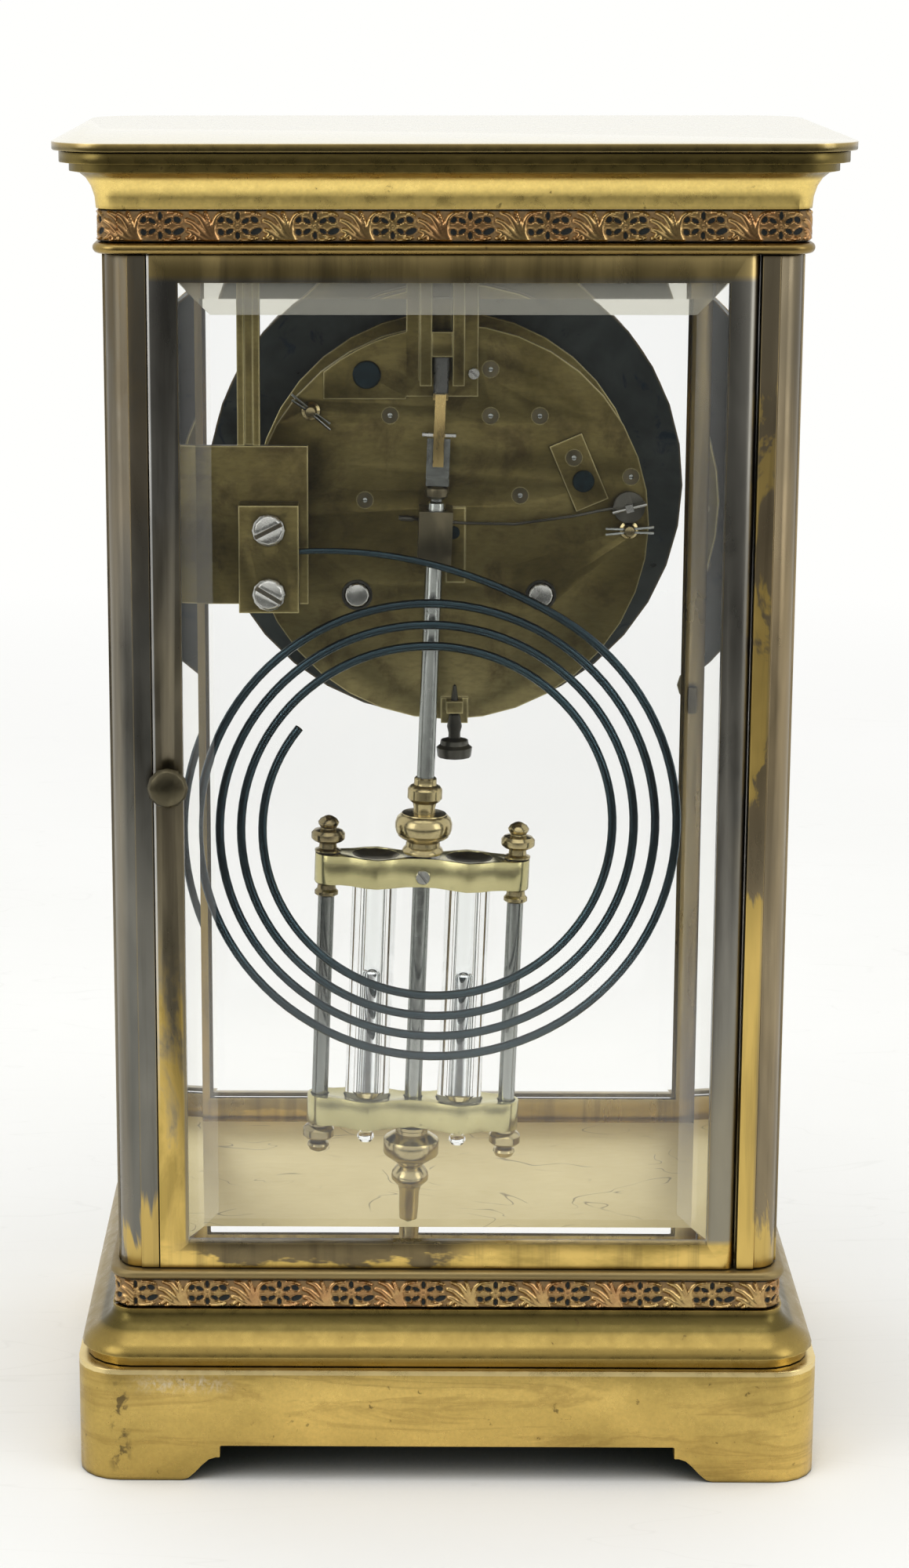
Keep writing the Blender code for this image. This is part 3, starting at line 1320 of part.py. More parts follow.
def make_third(places):
    spot = places["third"]
    _, leaf = pitch_radii(math.dist(places["centre"], spot), CENTRE_TEETH, THIRD_LEAVES)
    radius, _ = pitch_radii(math.dist(spot, places["escape"]), THIRD_TEETH, ESCAPE_LEAVES)
    wheel = make_wheel(
        "third_wheel", THIRD_TEETH, radius, spot, THIRD_PLANE, direction(spot, places["escape"])
    )
    low = CENTRE_WHEEL_PLANE - WHEEL_GAP
    pinion = make_pinion(
        "third_pinion", THIRD_LEAVES, leaf, spot, low, direction(spot, places["centre"])
    )
    arbor = make_arbor("third_arbor", spot, TRAIN_FRONT, TRAIN_REAR)
    return join(wheel, arbor, pinion)


def escape_loop(x, z):
    """Pointed teeth leaning one way, as an escape wheel has."""
    points = []
    root = ESCAPE_RADIUS * ESCAPE_ROOT_SHARE
    for i in range(ESCAPE_TEETH):
        for share, radius in zip(ESCAPE_TOOTH_SHARES, (root, root, ESCAPE_RADIUS)):
            angle = FULL_TURN * (i + share) / ESCAPE_TEETH
            points.append((x + radius * math.cos(angle), z + radius * math.sin(angle)))
    return points


def make_escape(places):
    spot = places["escape"]
    _, leaf = pitch_radii(math.dist(places["third"], spot), THIRD_TEETH, ESCAPE_LEAVES)
    wheel = outline(
        "escape_wheel", [escape_loop(*spot)], ESCAPE_PLANE, ESCAPE_PLANE + WHEEL_THICKNESS, "plate_brass",
        upright=True,
    )
    low = THIRD_PLANE - WHEEL_GAP
    pinion = make_pinion(
        "escape_pinion", ESCAPE_LEAVES, leaf, spot, low, direction(spot, places["third"])
    )
    arbor = make_arbor("escape_arbor", spot, TRAIN_FRONT, TRAIN_REAR, ESCAPE_ARBOR_RADIUS)
    return join(wheel, arbor, pinion)


def on_circle(radius, angle):
    return radius * math.cos(angle), MOVEMENT_HEIGHT + radius * math.sin(angle)


def make_plates(places):
    """The front plate with its riveted pillars, and the back plate that they are pinned through."""
    arbor_hole = WINDING_ARBOR_RADIUS + FIT_CLEARANCE
    holes = [circle(side * BARREL_OFFSET, BARREL_HEIGHT, arbor_hole) for side in (1, -1)]
    holes.append(circle(*places["centre"], CENTRE_ARBOR_RADIUS + FIT_CLEARANCE))
    front = outline(
        "front_plate",
        [circle(0, MOVEMENT_HEIGHT, BACK_PLATE_RADIUS, PLATE_SIDES), *holes],
        FRONT_PLATE_FACE,
        FRONT_PLATE_REAR,
        "plate_brass",
        upright=True,
    )
    studs = []
    waist = PILLAR_RADIUS * PILLAR_WAIST_SHARE
    for i, angle in enumerate(PILLAR_ANGLES):
        x, z = on_circle(PILLAR_CIRCLE, angle)
        profile = [
            (0, BACK_PLATE_FACE + STUD_LENGTH),
            (STUD_RADIUS, BACK_PLATE_FACE + STUD_LENGTH - STUD_RADIUS / 2),
            (STUD_RADIUS, TRAIN_REAR),
            (PILLAR_RADIUS, TRAIN_REAR),
            (waist, TRAIN_REAR - PILLAR_RADIUS),
            (waist, FRONT_PLATE_REAR + PILLAR_RADIUS),
            (PILLAR_RADIUS, FRONT_PLATE_REAR - PLATE_THICKNESS / 2),
            (0, FRONT_PLATE_REAR - PLATE_THICKNESS / 2),
        ]
        studs.append(turned(f"pillar_{i}", profile, (x, 0, z), "aged_brass", "Y", SMALL_SIDES))
    join(front, *studs)
    end_hole = WINDING_END_RADIUS + 2 * FIT_CLEARANCE
    holes = [circle(side * BARREL_OFFSET, BARREL_HEIGHT, end_hole) for side in (1, -1)]
    for angle in PILLAR_ANGLES:
        holes.append(circle(*on_circle(PILLAR_CIRCLE, angle), STUD_RADIUS + FIT_CLEARANCE, SMALL_SIDES))
    pallet_hole = PALLET_ARBOR_RADIUS + PIVOT_CLEARANCE
    holes.append(circle(PENDULUM_OFFSET, PENDULUM_PIVOT, pallet_hole, SMALL_SIDES))
    hammer_hole = ARBOR_RADIUS + PIVOT_CLEARANCE
    holes.append(circle(HAMMER_OFFSET, MOVEMENT_HEIGHT + HAMMER_RISE, hammer_hole, SMALL_SIDES))
    back = outline(
        "back_plate",
        [circle(0, MOVEMENT_HEIGHT, BACK_PLATE_RADIUS, PLATE_SIDES), *holes],
        BACK_PLATE_FRONT,
        BACK_PLATE_FACE,
        "plate_brass",
        upright=True,
    )
    guard = box(
        "crutch_guard",
        (GUARD_RIGHT - GUARD_WIDTH, BACK_PLATE_FACE - PLATE_THICKNESS / 2, GUARD_TOP - GUARD_HEIGHT),
        (GUARD_RIGHT, BACK_PLATE_FACE + GUARD_THICKNESS, GUARD_TOP),
    )
    lug = box(
        "screw_lug",
        (SCREW_OFFSET - LUG_HALF_WIDTH, BACK_PLATE_FRONT + PLATE_THICKNESS / 2, LUG_BOTTOM),
        (SCREW_OFFSET + LUG_HALF_WIDTH, BACK_PLATE_FACE + LUG_THICKNESS, LUG_BOTTOM + LUG_HEIGHT),
    )
    reach = SCREW_STEM_RADIUS + FIT_CLEARANCE + EYE_WALL
    eye = box(
        "screw_eye",
        (SCREW_OFFSET - reach, BACK_PLATE_FACE - PLATE_THICKNESS / 4, SCREW_BOTTOM + EYE_RISE),
        (SCREW_OFFSET + reach, SCREW_PLANE + reach, SCREW_BOTTOM + EYE_RISE + EYE_HEIGHT),
    )
    join(back, guard, lug, eye)
    bore = drum(
        "screw_eye_bore",
        SCREW_STEM_RADIUS + FIT_CLEARANCE,
        (SCREW_OFFSET, SCREW_PLANE, SCREW_BOTTOM + EYE_RISE - OVERRUN),
        (SCREW_OFFSET, SCREW_PLANE, SCREW_BOTTOM + EYE_RISE + EYE_HEIGHT + OVERRUN),
        SMALL_SIDES,
        cutter=True,
    )
    return front, cut(back, bore)


def make_oil_sinks(back):
    """The shallow cups round the pivots that show in the back plate."""
    cups = []
    for i, (x, rise) in enumerate(OIL_SINKS):
        profile = [
            (0, BACK_PLATE_FACE + OVERRUN),
            (SINK_RADIUS, BACK_PLATE_FACE + OVERRUN),
            (SINK_RADIUS, BACK_PLATE_FACE),
            (SINK_RADIUS / 2, BACK_PLATE_FACE - SINK_DEPTH),
            (0, BACK_PLATE_FACE - SINK_DEPTH),
        ]
        spot = (x, 0, MOVEMENT_HEIGHT + rise)
        cups.append(turned(f"oil_sink_{i}", profile, spot, None, "Y", SMALL_SIDES, cutter=True))
    return cut(back, *cups)


def make_suspension_bracket():
    """The cock on the back plate whose two cheeks hold the suspension spring's block."""
    rear = BACK_PLATE_FACE + SEAT_GAP
    face = rear + BRACKET_THICKNESS
    reach = BACK_PLATE_RADIUS - SEAT_GAP
    far = BRACKET_RIGHT + BRACKET_FOOT_REACH
    loop = [(BRACKET_LEFT, BRACKET_BOTTOM), (BRACKET_RIGHT, BRACKET_BOTTOM)]
    loop += [(BRACKET_RIGHT, BRACKET_FOOT_BOTTOM), (far, BRACKET_FOOT_BOTTOM)]
    for i in range(CORNER_STEPS + 1):
        x = far + (BRACKET_RIGHT - far) * i / CORNER_STEPS
        loop.append((x, MOVEMENT_HEIGHT + math.sqrt(reach**2 - x**2)))
    loop += [(BRACKET_RIGHT, BRACKET_TOP), (BRACKET_LEFT, BRACKET_TOP)]
    hole = circle(PENDULUM_OFFSET, PENDULUM_PIVOT, PALLET_ARBOR_RADIUS + PIVOT_CLEARANCE, SMALL_SIDES)
    bracket = outline("suspension_bracket", [loop, hole], rear, face, "plate_brass", upright=True)
    pieces = []
    inner = SPRING_BLOCK_WIDTH / 2 + SEAT_GAP
    sunk = rear + BRACKET_THICKNESS / 2
    for side in (1, -1):
        edges = sorted((PENDULUM_OFFSET + side * inner, PENDULUM_OFFSET + side * (inner + CHEEK_WIDTH)))
        pieces.append(
            box(
                f"bracket_cheek_{side + 1}",
                (edges[0], sunk, CHEEK_BOTTOM),
                (edges[1], face + CHEEK_LENGTH, BRACKET_TOP),
            )
        )
    block_bottom = PENDULUM_PIVOT + SEAT_GAP
    block_half = SPRING_BLOCK_WIDTH / 2
    block_low = PENDULUM_PLANE - block_half
    left = PENDULUM_OFFSET - inner - CHEEK_WIDTH / 2
    right = PENDULUM_OFFSET + inner + CHEEK_WIDTH / 2
    pieces.append(
        box(
            "suspension_block",
            (left, block_low, block_bottom),
            (right, block_low + SPRING_BLOCK_WIDTH, block_bottom + SPRING_BLOCK_HEIGHT),
        )
    )
    pieces.append(
        box(
            "bracket_beam",
            (left, face + CHEEK_LENGTH / 3, BRACKET_TOP - BEAM_HEIGHT),
            (right, face + CHEEK_LENGTH * 2 / 3, BRACKET_TOP - BEAM_HEIGHT / 2),
        )
    )
    return join(bracket, *pieces)


def make_cock():
    """The small cock that carries a strike arbor's pivot."""
    rear = BACK_PLATE_FACE + SEAT_GAP
    half_w, half_l = COCK_WIDTH / 2, COCK_LENGTH / 2
    turn = Matrix.Rotation(COCK_ANGLE, 2)
    loop = []
    for x, z in ((-half_w, -half_l), (half_w, -half_l), (half_w, half_l), (-half_w, half_l)):
        spot = turn @ Vector((x, z))
        loop.append((COCK_OFFSET + spot.x, MOVEMENT_HEIGHT + COCK_RISE + spot.y))
    return outline("pivot_cock", [loop], rear, rear + COCK_THICKNESS, "plate_brass", upright=True)


def make_hammer():
    """The hammer arbor: a disc and a cross bar on its end, and a long thin arm with a brass tip."""
    x, z = HAMMER_OFFSET, MOVEMENT_HEIGHT + HAMMER_RISE
    low = BACK_PLATE_FACE + SEAT_GAP
    face = low + HAMMER_DISC_THICKNESS
    route = [(x + reach, HAMMER_ARM_PLANE, MOVEMENT_HEIGHT + rise) for reach, rise in HAMMER_ROUTE]
    arm = wire("hammer", route, HAMMER_ARM_RADIUS, "steel")
    arbor = make_arbor("hammer_arbor", (x, z), TRAIN_FRONT, low + HAMMER_DISC_THICKNESS / 2)
    disc = drum("hammer_disc", HAMMER_DISC_RADIUS, (x, low, z), (x, face, z), ROUND_SIDES * 2)
    half_length, half_height = HAMMER_DISC_RADIUS + HAMMER_BAR_HEIGHT / 4, HAMMER_BAR_HEIGHT / 2
    bar = box(
        "hammer_bar",
        (-half_length, -HAMMER_BAR_THICKNESS, -half_height),
        (half_length, HAMMER_BAR_THICKNESS, half_height),
    )
    bar.location = (x, face, z)
    bar.rotation_euler = (0, HAMMER_BAR_ANGLE, 0)
    square = box(
        "hammer_square",
        (-HAMMER_BAR_HEIGHT, -HAMMER_BAR_THICKNESS, -HAMMER_BAR_HEIGHT),
        (HAMMER_BAR_HEIGHT, HAMMER_BAR_THICKNESS * 2, HAMMER_BAR_HEIGHT),
    )
    square.location = (x, face, z)
    end = Vector(route[-1])
    along = (end - Vector(route[-2])).normalized() * HAMMER_TIP_LENGTH
    tip = drum("hammer_tip", HAMMER_TIP_RADIUS, end - along / 3, end + along, SMALL_SIDES)
    return join(arm, arbor, disc, bar, square, tip)


def make_thumb_screw():
    """A steel screw standing in the lug under the back plate, with a stepped round foot."""
    profile = [(0, SCREW_BOTTOM + SCREW_HEIGHT)]
    profile += [(SCREW_DISC_RADIUS * r, SCREW_BOTTOM + SCREW_HEIGHT * h) for r, h in THUMB_SCREW_SHARES]
    profile.append((0, SCREW_BOTTOM))
    return turned("thumb_screw", profile, (SCREW_OFFSET, SCREW_PLANE, 0), "dark_steel")


# Dial and hands


def make_dial():
    centre = (0, 0, MOVEMENT_HEIGHT)
    rear, front = PAN_FACE, PAN_FACE - PAN_THICKNESS
    rim = PAN_RADIUS - PAN_RIM_WIDTH
    profile = [
        (PAN_RADIUS, rear),
        (PAN_RADIUS, rear - PAN_RIM_DEPTH),
        (rim, rear - PAN_RIM_DEPTH),
        (rim, front),
        (PAN_INNER_RADIUS, front),
        (PAN_INNER_RADIUS, rear),
    ]
    pan = turned("dial_pan", profile, centre, "dark_steel", "Y", PLATE_SIDES, closed=True)
    pieces = []
    for i, angle in enumerate(PAN_POST_ANGLES):
        x, z = on_circle(PAN_POST_CIRCLE, angle)
        pieces.append(
            drum(
                f"dial_post_{i}",
                PAN_POST_RADIUS,
                (x, front + PAN_THICKNESS / 2, z),
                (x, FRONT_PLATE_FACE - SEAT_GAP, z),
                SMALL_SIDES,
            )
        )
    ear_bottom = MOVEMENT_HEIGHT + PAN_POST_CIRCLE
    for side in (1, -1):
        edges = sorted((side * PAN_EAR_OFFSET, side * (PAN_EAR_OFFSET + PAN_EAR_WIDTH)))
        pieces.append(
            box(
                f"dial_ear_{side + 1}",
                (edges[0], front + PAN_THICKNESS / 4, ear_bottom),
                (edges[1], rear - PAN_THICKNESS / 4, NECK_BOTTOM - SEAT_GAP),
            )
        )
    join(pan, *pieces)
    holes = [circle(side * BARREL_OFFSET, BARREL_HEIGHT, KEY_HOLE_RADIUS) for side in (1, -1)]
    holes.append(circle(0, MOVEMENT_HEIGHT, DIAL_CENTRE_HOLE))
    outline(
        "dial",
        [circle(0, MOVEMENT_HEIGHT, DIAL_RADIUS, PLATE_SIDES), *holes],
        DIAL_FACE,
        DIAL_FACE + DIAL_THICKNESS,
        "enamel",
        upright=True,
    )
    make_bezel(centre)


def make_bezel(centre):
    """The brass ring in front of the dial: a bead, a hollow and a thin inner lip."""
    back = PAN_FACE - PAN_RIM_DEPTH - SEAT_GAP
    inner = PAN_RADIUS - BEZEL_WIDTH
    profile = []
    for across, forward in BEZEL_SHARES:
        profile.append((inner + BEZEL_WIDTH * across, back - BEZEL_DEPTH * forward))
    return turned("bezel", profile, centre, "aged_brass", "Y", PLATE_SIDES, closed=True)


def hand_loop(length, hub):
    """A leaf-shaped hand pointing up."""
    side = [(hub * across, hub * along) for across, along in HUB_SHARES]
    side += [(HAND_WIDTH * across, length * along) for across, along in BLADE_SHARES]
    return [*side, (0, length), *[(-x, z) for x, z in reversed(side)]]


def placed_loop(loop, angle):
    turn = Matrix.Rotation(angle, 2)
    spots = [turn @ Vector(point) for point in loop]
    return [(spot.x, MOVEMENT_HEIGHT + spot.y) for spot in spots]


def make_hands():
    """Both hands, at ten past ten as a clock is shown, with the hour pipe round the centre arbor."""
    minute = outline(
        "minute_hand",
        [placed_loop(hand_loop(MINUTE_HAND_LENGTH, HAND_HUB_RADIUS), MINUTE_HAND_ANGLE)],
        MINUTE_HAND_PLANE,
        MINUTE_HAND_PLANE + HAND_THICKNESS,
        "blued_steel",
        upright=True,
    )
    hour_loops = [
        placed_loop(hand_loop(HOUR_HAND_LENGTH, HOUR_HUB_RADIUS), HOUR_HAND_ANGLE),
        circle(0, MOVEMENT_HEIGHT, CENTRE_ARBOR_RADIUS + FIT_CLEARANCE),
    ]
    hour = outline(
        "hour_hand",
        hour_loops,
        HOUR_HAND_PLANE,
        HOUR_HAND_PLANE + HAND_THICKNESS,
        "blued_steel",
        upright=True,
    )
    inner = CENTRE_ARBOR_RADIUS + FIT_CLEARANCE
    profile = [
        (inner + HOUR_PIPE_WALL, FRONT_PLATE_FACE - SEAT_GAP),
        (inner + HOUR_PIPE_WALL, HOUR_HAND_PLANE + HAND_THICKNESS / 2),
        (inner, HOUR_HAND_PLANE + HAND_THICKNESS / 2),
        (inner, FRONT_PLATE_FACE - SEAT_GAP),
    ]
    pipe = turned("hour_pipe", profile, (0, 0, MOVEMENT_HEIGHT), "aged_brass", "Y", closed=True)
    return minute, join(hour, pipe)


# Pendulum, built plumb under its pivot


def pendulum_height(drop):
    return PENDULUM_PIVOT - drop


def make_suspension_spring():
    x, y = PENDULUM_OFFSET, PENDULUM_PLANE
    strip = box(
        "suspension_spring",
        (x - SPRING_WIDTH / 2, y - SPRING_THICKNESS / 2, pendulum_height(SPRING_LENGTH)),
        (x + SPRING_WIDTH / 2, y + SPRING_THICKNESS / 2, pendulum_height(0)),
        "steel",
    )
    hook_top = pendulum_height(SPRING_LENGTH - HOOK_THICKNESS)
    hook_low = pendulum_height(SPRING_LENGTH + HOOK_LENGTH)
    hook_front = y - SPRING_THICKNESS / 4
    hook = box(
        "suspension_hook",
        (x - HOOK_WIDTH / 2, hook_front, hook_low),
        (x + HOOK_WIDTH / 2, hook_front + HOOK_THICKNESS, hook_top),
    )
    pin_z = hook_low + CROSS_PIN_RISE
    pin_y = hook_front + CROSS_PIN_RADIUS
    pin = drum(
        "suspension_cross_pin",
        CROSS_PIN_RADIUS,
        (x - CROSS_PIN_LENGTH / 2, pin_y, pin_z),
        (x + CROSS_PIN_LENGTH / 2, pin_y, pin_z),
        SMALL_SIDES,
    )
    return join(strip, hook, pin)


def make_pendulum_rod():
    """A forked plate on top, a long steel rod, turned collars above the upper yoke, a thread below."""
    x, y = PENDULUM_OFFSET, PENDULUM_PLANE
    pin_z = pendulum_height(SPRING_LENGTH + HOOK_LENGTH) + CROSS_PIN_RISE
    plate_top = pin_z - CROSS_PIN_RADIUS - SEAT_GAP
    plate_low = plate_top - FORK_PLATE_HEIGHT
    disc_low = plate_low - ROD_TOP_DISC_HEIGHT
    yoke_top = pendulum_height(UPPER_YOKE_DROP)
    baluster_top = yoke_top + SEAT_GAP + BALUSTER_HEIGHT
    low = pendulum_height(LOWER_YOKE_DROP + YOKE_HEIGHT + NUT_DROP + SCREW_ROD_LENGTH)
    shoulder = pendulum_height(LOWER_YOKE_DROP + YOKE_HEIGHT)
    profile = [
        (0, plate_low + ROD_TOP_DISC_HEIGHT / 2),
        (ROD_TOP_DISC_RADIUS / 2, plate_low + ROD_TOP_DISC_HEIGHT / 2),
        (ROD_TOP_DISC_RADIUS / 2, plate_low),
        (ROD_TOP_DISC_RADIUS, plate_low - ROD_TOP_DISC_HEIGHT / 4),
        (ROD_TOP_DISC_RADIUS, disc_low + ROD_TOP_DISC_HEIGHT / 4),
        (ROD_RADIUS, disc_low),
        (ROD_RADIUS, baluster_top),
    ]
    foot = yoke_top + SEAT_GAP
    profile += [(BALUSTER_RADIUS * r, foot + BALUSTER_HEIGHT * h) for r, h in BALUSTER_SHARES]
    profile += [
        (ROD_RADIUS, yoke_top + SEAT_GAP),
        (ROD_RADIUS, shoulder + ROD_RADIUS),
        (SCREW_ROD_RADIUS, shoulder),
        (SCREW_ROD_RADIUS, low + SCREW_ROD_RADIUS),
        (0, low),
    ]
    rod = turned("pendulum_rod", profile, (x, y, 0), "steel")
    plate_front = y - SPRING_THICKNESS / 4 - SEAT_GAP - FORK_PLATE_THICKNESS
    plate = box(
        "pendulum_fork_plate",
        (x - FORK_PLATE_WIDTH / 2, plate_front, plate_low),
        (x + FORK_PLATE_WIDTH / 2, plate_front + FORK_PLATE_THICKNESS, plate_top),
    )
    lug = box(
        "pendulum_pin_lug",
        (x - FORK_PLATE_WIDTH / 2, plate_front, plate_low),
        (x + FORK_PLATE_WIDTH / 2, y + HOOK_THICKNESS, plate_low + HOOK_THICKNESS),
    )
    return join(rod, plate, lug)


def yoke_plan(x, y):
    """A yoke from above: round ends for the side rods and two lobes round the vials."""
    half_length = YOKE_LENGTH / 2
    side = []
    for i in range(1, YOKE_STEPS):
        along = half_length * math.cos(math.pi * i / YOKE_STEPS)
        lobe = math.exp(-(((abs(along) - VIAL_OFFSET) / VIAL_RADIUS) ** 2))
        half = YOKE_WAIST + (YOKE_LOBE_RADIUS - YOKE_WAIST) * lobe
        over = abs(along) - half_length + YOKE_END_RADIUS
        if over > -YOKE_END_RADIUS:
            half = max(half, math.sqrt(YOKE_END_RADIUS**2 - over**2))
        if over > 0:
            half = math.sqrt(YOKE_END_RADIUS**2 - over**2)
        side.append((along, half))
    upper = [(x + along, y + half) for along, half in side]
    lower = [(x + along, y - half) for along, half in reversed(side)]
    return [(x + half_length, y), *upper, (x - half_length, y), *lower]


def make_yoke(name, drop, vial_hole):
    x, y = PENDULUM_OFFSET, PENDULUM_PLANE
    fit = FIT_CLEARANCE
    loops = [
        yoke_plan(x, y),
        circle(x, y, ROD_RADIUS + fit),
        circle(x - SIDE_ROD_OFFSET, y, SIDE_ROD_RADIUS + fit),
        circle(x + SIDE_ROD_OFFSET, y, SIDE_ROD_RADIUS + fit),
        circle(x - VIAL_OFFSET, y, vial_hole),
        circle(x + VIAL_OFFSET, y, vial_hole),
    ]
    top = pendulum_height(drop)
    return outline(name, loops, top - YOKE_HEIGHT, top, "aged_brass")


def make_side_rods():
    """A steel rod at each end of the yokes, with a turned finial above and below."""
    made = []
    upper_top = pendulum_height(UPPER_YOKE_DROP)
    lower_top = pendulum_height(LOWER_YOKE_DROP)
    lower_low = lower_top - YOKE_HEIGHT
    under = upper_top - YOKE_HEIGHT - SEAT_GAP
    for hand, side in (("right", 1), ("left", -1)):
        profile = [(FINIAL_RADIUS * r, upper_top + SEAT_GAP + FINIAL_HEIGHT * h) for r, h in FINIAL_SHARES]
        profile += [
            (SIDE_ROD_RADIUS, upper_top + SEAT_GAP),
            (SIDE_ROD_RADIUS, under),
            (SIDE_COLLAR_RADIUS, under),
            (SIDE_COLLAR_RADIUS, under - SIDE_ROD_RADIUS),
            (SIDE_ROD_RADIUS, under - SIDE_COLLAR_RADIUS),
            (SIDE_ROD_RADIUS, lower_low - SEAT_GAP),
        ]
        low = lower_low - SEAT_GAP - LOWER_FINIAL_HEIGHT
        profile += [(FINIAL_RADIUS * r, low + LOWER_FINIAL_HEIGHT * h) for r, h in LOWER_FINIAL_SHARES]
        centre = (PENDULUM_OFFSET + side * SIDE_ROD_OFFSET, PENDULUM_PLANE, 0)
        made.append(turned(f"{hand}_side_rod", profile, centre, "steel", steps=SMALL_SIDES + 2))
    return made


def make_vials():
    """Two glass vials of mercury, held in the upper yoke and standing through the lower one."""
    top = pendulum_height(UPPER_YOKE_DROP + VIAL_TOP_SINK)
    seat = pendulum_height(LOWER_YOKE_DROP + YOKE_HEIGHT) + VIAL_REACH
    tip = seat - VIAL_REACH - VIAL_TIP_LENGTH
    bore_low = seat + VIAL_FLOOR
    made = []
    for hand, side in (("right", 1), ("left", -1)):
        centre = (PENDULUM_OFFSET + side * VIAL_OFFSET, PENDULUM_PLANE, 0)
        profile = [
            (0, top),
            (VIAL_RADIUS, top),
            (VIAL_RADIUS, seat),
            (VIAL_TIP_RADIUS, seat - VIAL_TIP_RADIUS / 2),
            (VIAL_TIP_RADIUS, tip + VIAL_TIP_RADIUS / 2),
            (VIAL_TIP_RADIUS / 2, tip),
            (0, tip),
        ]
        vial = turned(f"{hand}_vial", profile, centre, "glass")
        bore = drum(
            f"{hand}_vial_bore",
            VIAL_BORE_RADIUS,
            (centre[0], centre[1], bore_low),
            (centre[0], centre[1], top + OVERRUN),
            cutter=True,
        )
        made.append(cut(vial, bore))
        low = bore_low + SEAT_GAP
        fill = (top - bore_low) * MERCURY_SHARE
        made.append(
            drum(
                f"{hand}_mercury",
                VIAL_BORE_RADIUS - SEAT_GAP,
                (centre[0], centre[1], low),
                (centre[0], centre[1], low + fill),
                surface="mercury",
            )
        )
    return made


def make_rating_nut():
    """The nut under the lower yoke that sets the rate, with its ringed tail."""
    top = pendulum_height(LOWER_YOKE_DROP + YOKE_HEIGHT) - SEAT_GAP
    profile = [(NUT_RADIUS * r, top - NUT_HEIGHT + NUT_HEIGHT * h) for r, h in NUT_SHARES]
    profile = [(0, top), *profile, (0, top - NUT_HEIGHT)]
    nut = turned("rating_nut", profile, (PENDULUM_OFFSET, PENDULUM_PLANE, 0), "aged_brass")
    bore = drum(
        "rating_nut_bore",
        SCREW_ROD_RADIUS + FIT_CLEARANCE,
        (PENDULUM_OFFSET, PENDULUM_PLANE, top - NUT_HEIGHT - OVERRUN),
        (PENDULUM_OFFSET, PENDULUM_PLANE, top + OVERRUN),
        SMALL_SIDES,
        cutter=True,
    )
    return cut(nut, bore)


def make_crutch(places):
    """The pallet arbor with its anchor, and the crutch whose block embraces the pendulum rod."""
    x, z = PENDULUM_OFFSET, PENDULUM_PIVOT
    wire_end = CRUTCH_PLANE + 2 * CRUTCH_WIRE_RADIUS
    crutch = make_arbor("crutch", (x, z), TRAIN_FRONT, wire_end, PALLET_ARBOR_RADIUS)
    crutch.data.materials.append(finish("dark_steel"))
    block_top = z - CRUTCH_BLOCK_DROP
    arm = drum(
        "crutch_wire",
        CRUTCH_WIRE_RADIUS,
        (x, CRUTCH_PLANE, z),
        (x, CRUTCH_PLANE, block_top - CRUTCH_BLOCK_HEIGHT / 2),
        SMALL_SIDES,
    )
    front = CRUTCH_PLANE - 2 * CRUTCH_WIRE_RADIUS
    half = CRUTCH_BLOCK_WIDTH / 2
    block = box(
        "crutch_block",
        (x - half, front, block_top - CRUTCH_BLOCK_HEIGHT),
        (x + half, front + CRUTCH_BLOCK_DEPTH, block_top),
    )
    spot = places["escape"]
    reach = ESCAPE_RADIUS + PALLET_CLEARANCE
    inner = [direction_point(spot, reach, angle) for angle in PALLET_ANGLES]
    outer = [direction_point(spot, reach + PALLET_WIDTH, angle) for angle in PALLET_ANGLES]
    low = ESCAPE_PLANE - (PALLET_THICKNESS - WHEEL_THICKNESS) / 2
    anchor = outline("pallet_anchor", [inner + outer[::-1]], low, low + PALLET_THICKNESS, upright=True)
    stem = box(
        "pallet_stem",
        (x - PALLET_WIDTH / 2, low + PALLET_THICKNESS / 5, spot[1] + reach + PALLET_WIDTH / 2),
        (x + PALLET_WIDTH / 2, low + PALLET_THICKNESS * 4 / 5, z),
    )
    join(crutch, arm, block, anchor, stem)
    hole = drum(
        "crutch_block_hole",
        ROD_RADIUS + FIT_CLEARANCE,
        (x, PENDULUM_PLANE, block_top - CRUTCH_BLOCK_HEIGHT - OVERRUN),
        (x, PENDULUM_PLANE, block_top + OVERRUN),
        cutter=True,
    )
    return cut(crutch, hole)


def direction_point(centre, radius, angle):
    return centre[0] + radius * math.cos(angle), centre[1] + radius * math.sin(angle)


# Gong


def gong_route():
    """The wire's points and the share of its full radius at each, from the block inwards."""
    count = round(GONG_TURNS * GONG_LOOP_STEPS)
    route, shares = [], []
    for i in range(count + 1):
        swept = FULL_TURN * i / GONG_LOOP_STEPS
        radius = GONG_FIRST_RADIUS - GONG_PITCH * swept / FULL_TURN
        lead = max(0.0, 1 - swept / GONG_LEAD_ANGLE)
        radius += GONG_LEAD_RADIUS * lead**2
        angle = GONG_START_ANGLE + swept
        route.append(
            (
                GONG_COIL_CENTRE_X + radius * math.cos(angle),
                GONG_PLANE,
                GONG_COIL_CENTRE_Z + radius * math.sin(angle),
            )
        )
        shares.append(1 - lead / 3)
    start = Vector(route[0])
    tail = start + (start - Vector(route[1])).normalized() * GONG_TAIL_LENGTH
    return [tuple(tail), *route], [shares[0], *shares]


def least_self_gap(route):
    """The least distance between the wire's surfaces on neighbouring turns."""
    least = math.inf
    for i, here in enumerate(route):
        for there in route[i + GONG_LOOP_STEPS * 2 // 3 :]:
            least = min(least, math.dist(here, there))
    return least - 2 * GONG_WIRE_RADIUS


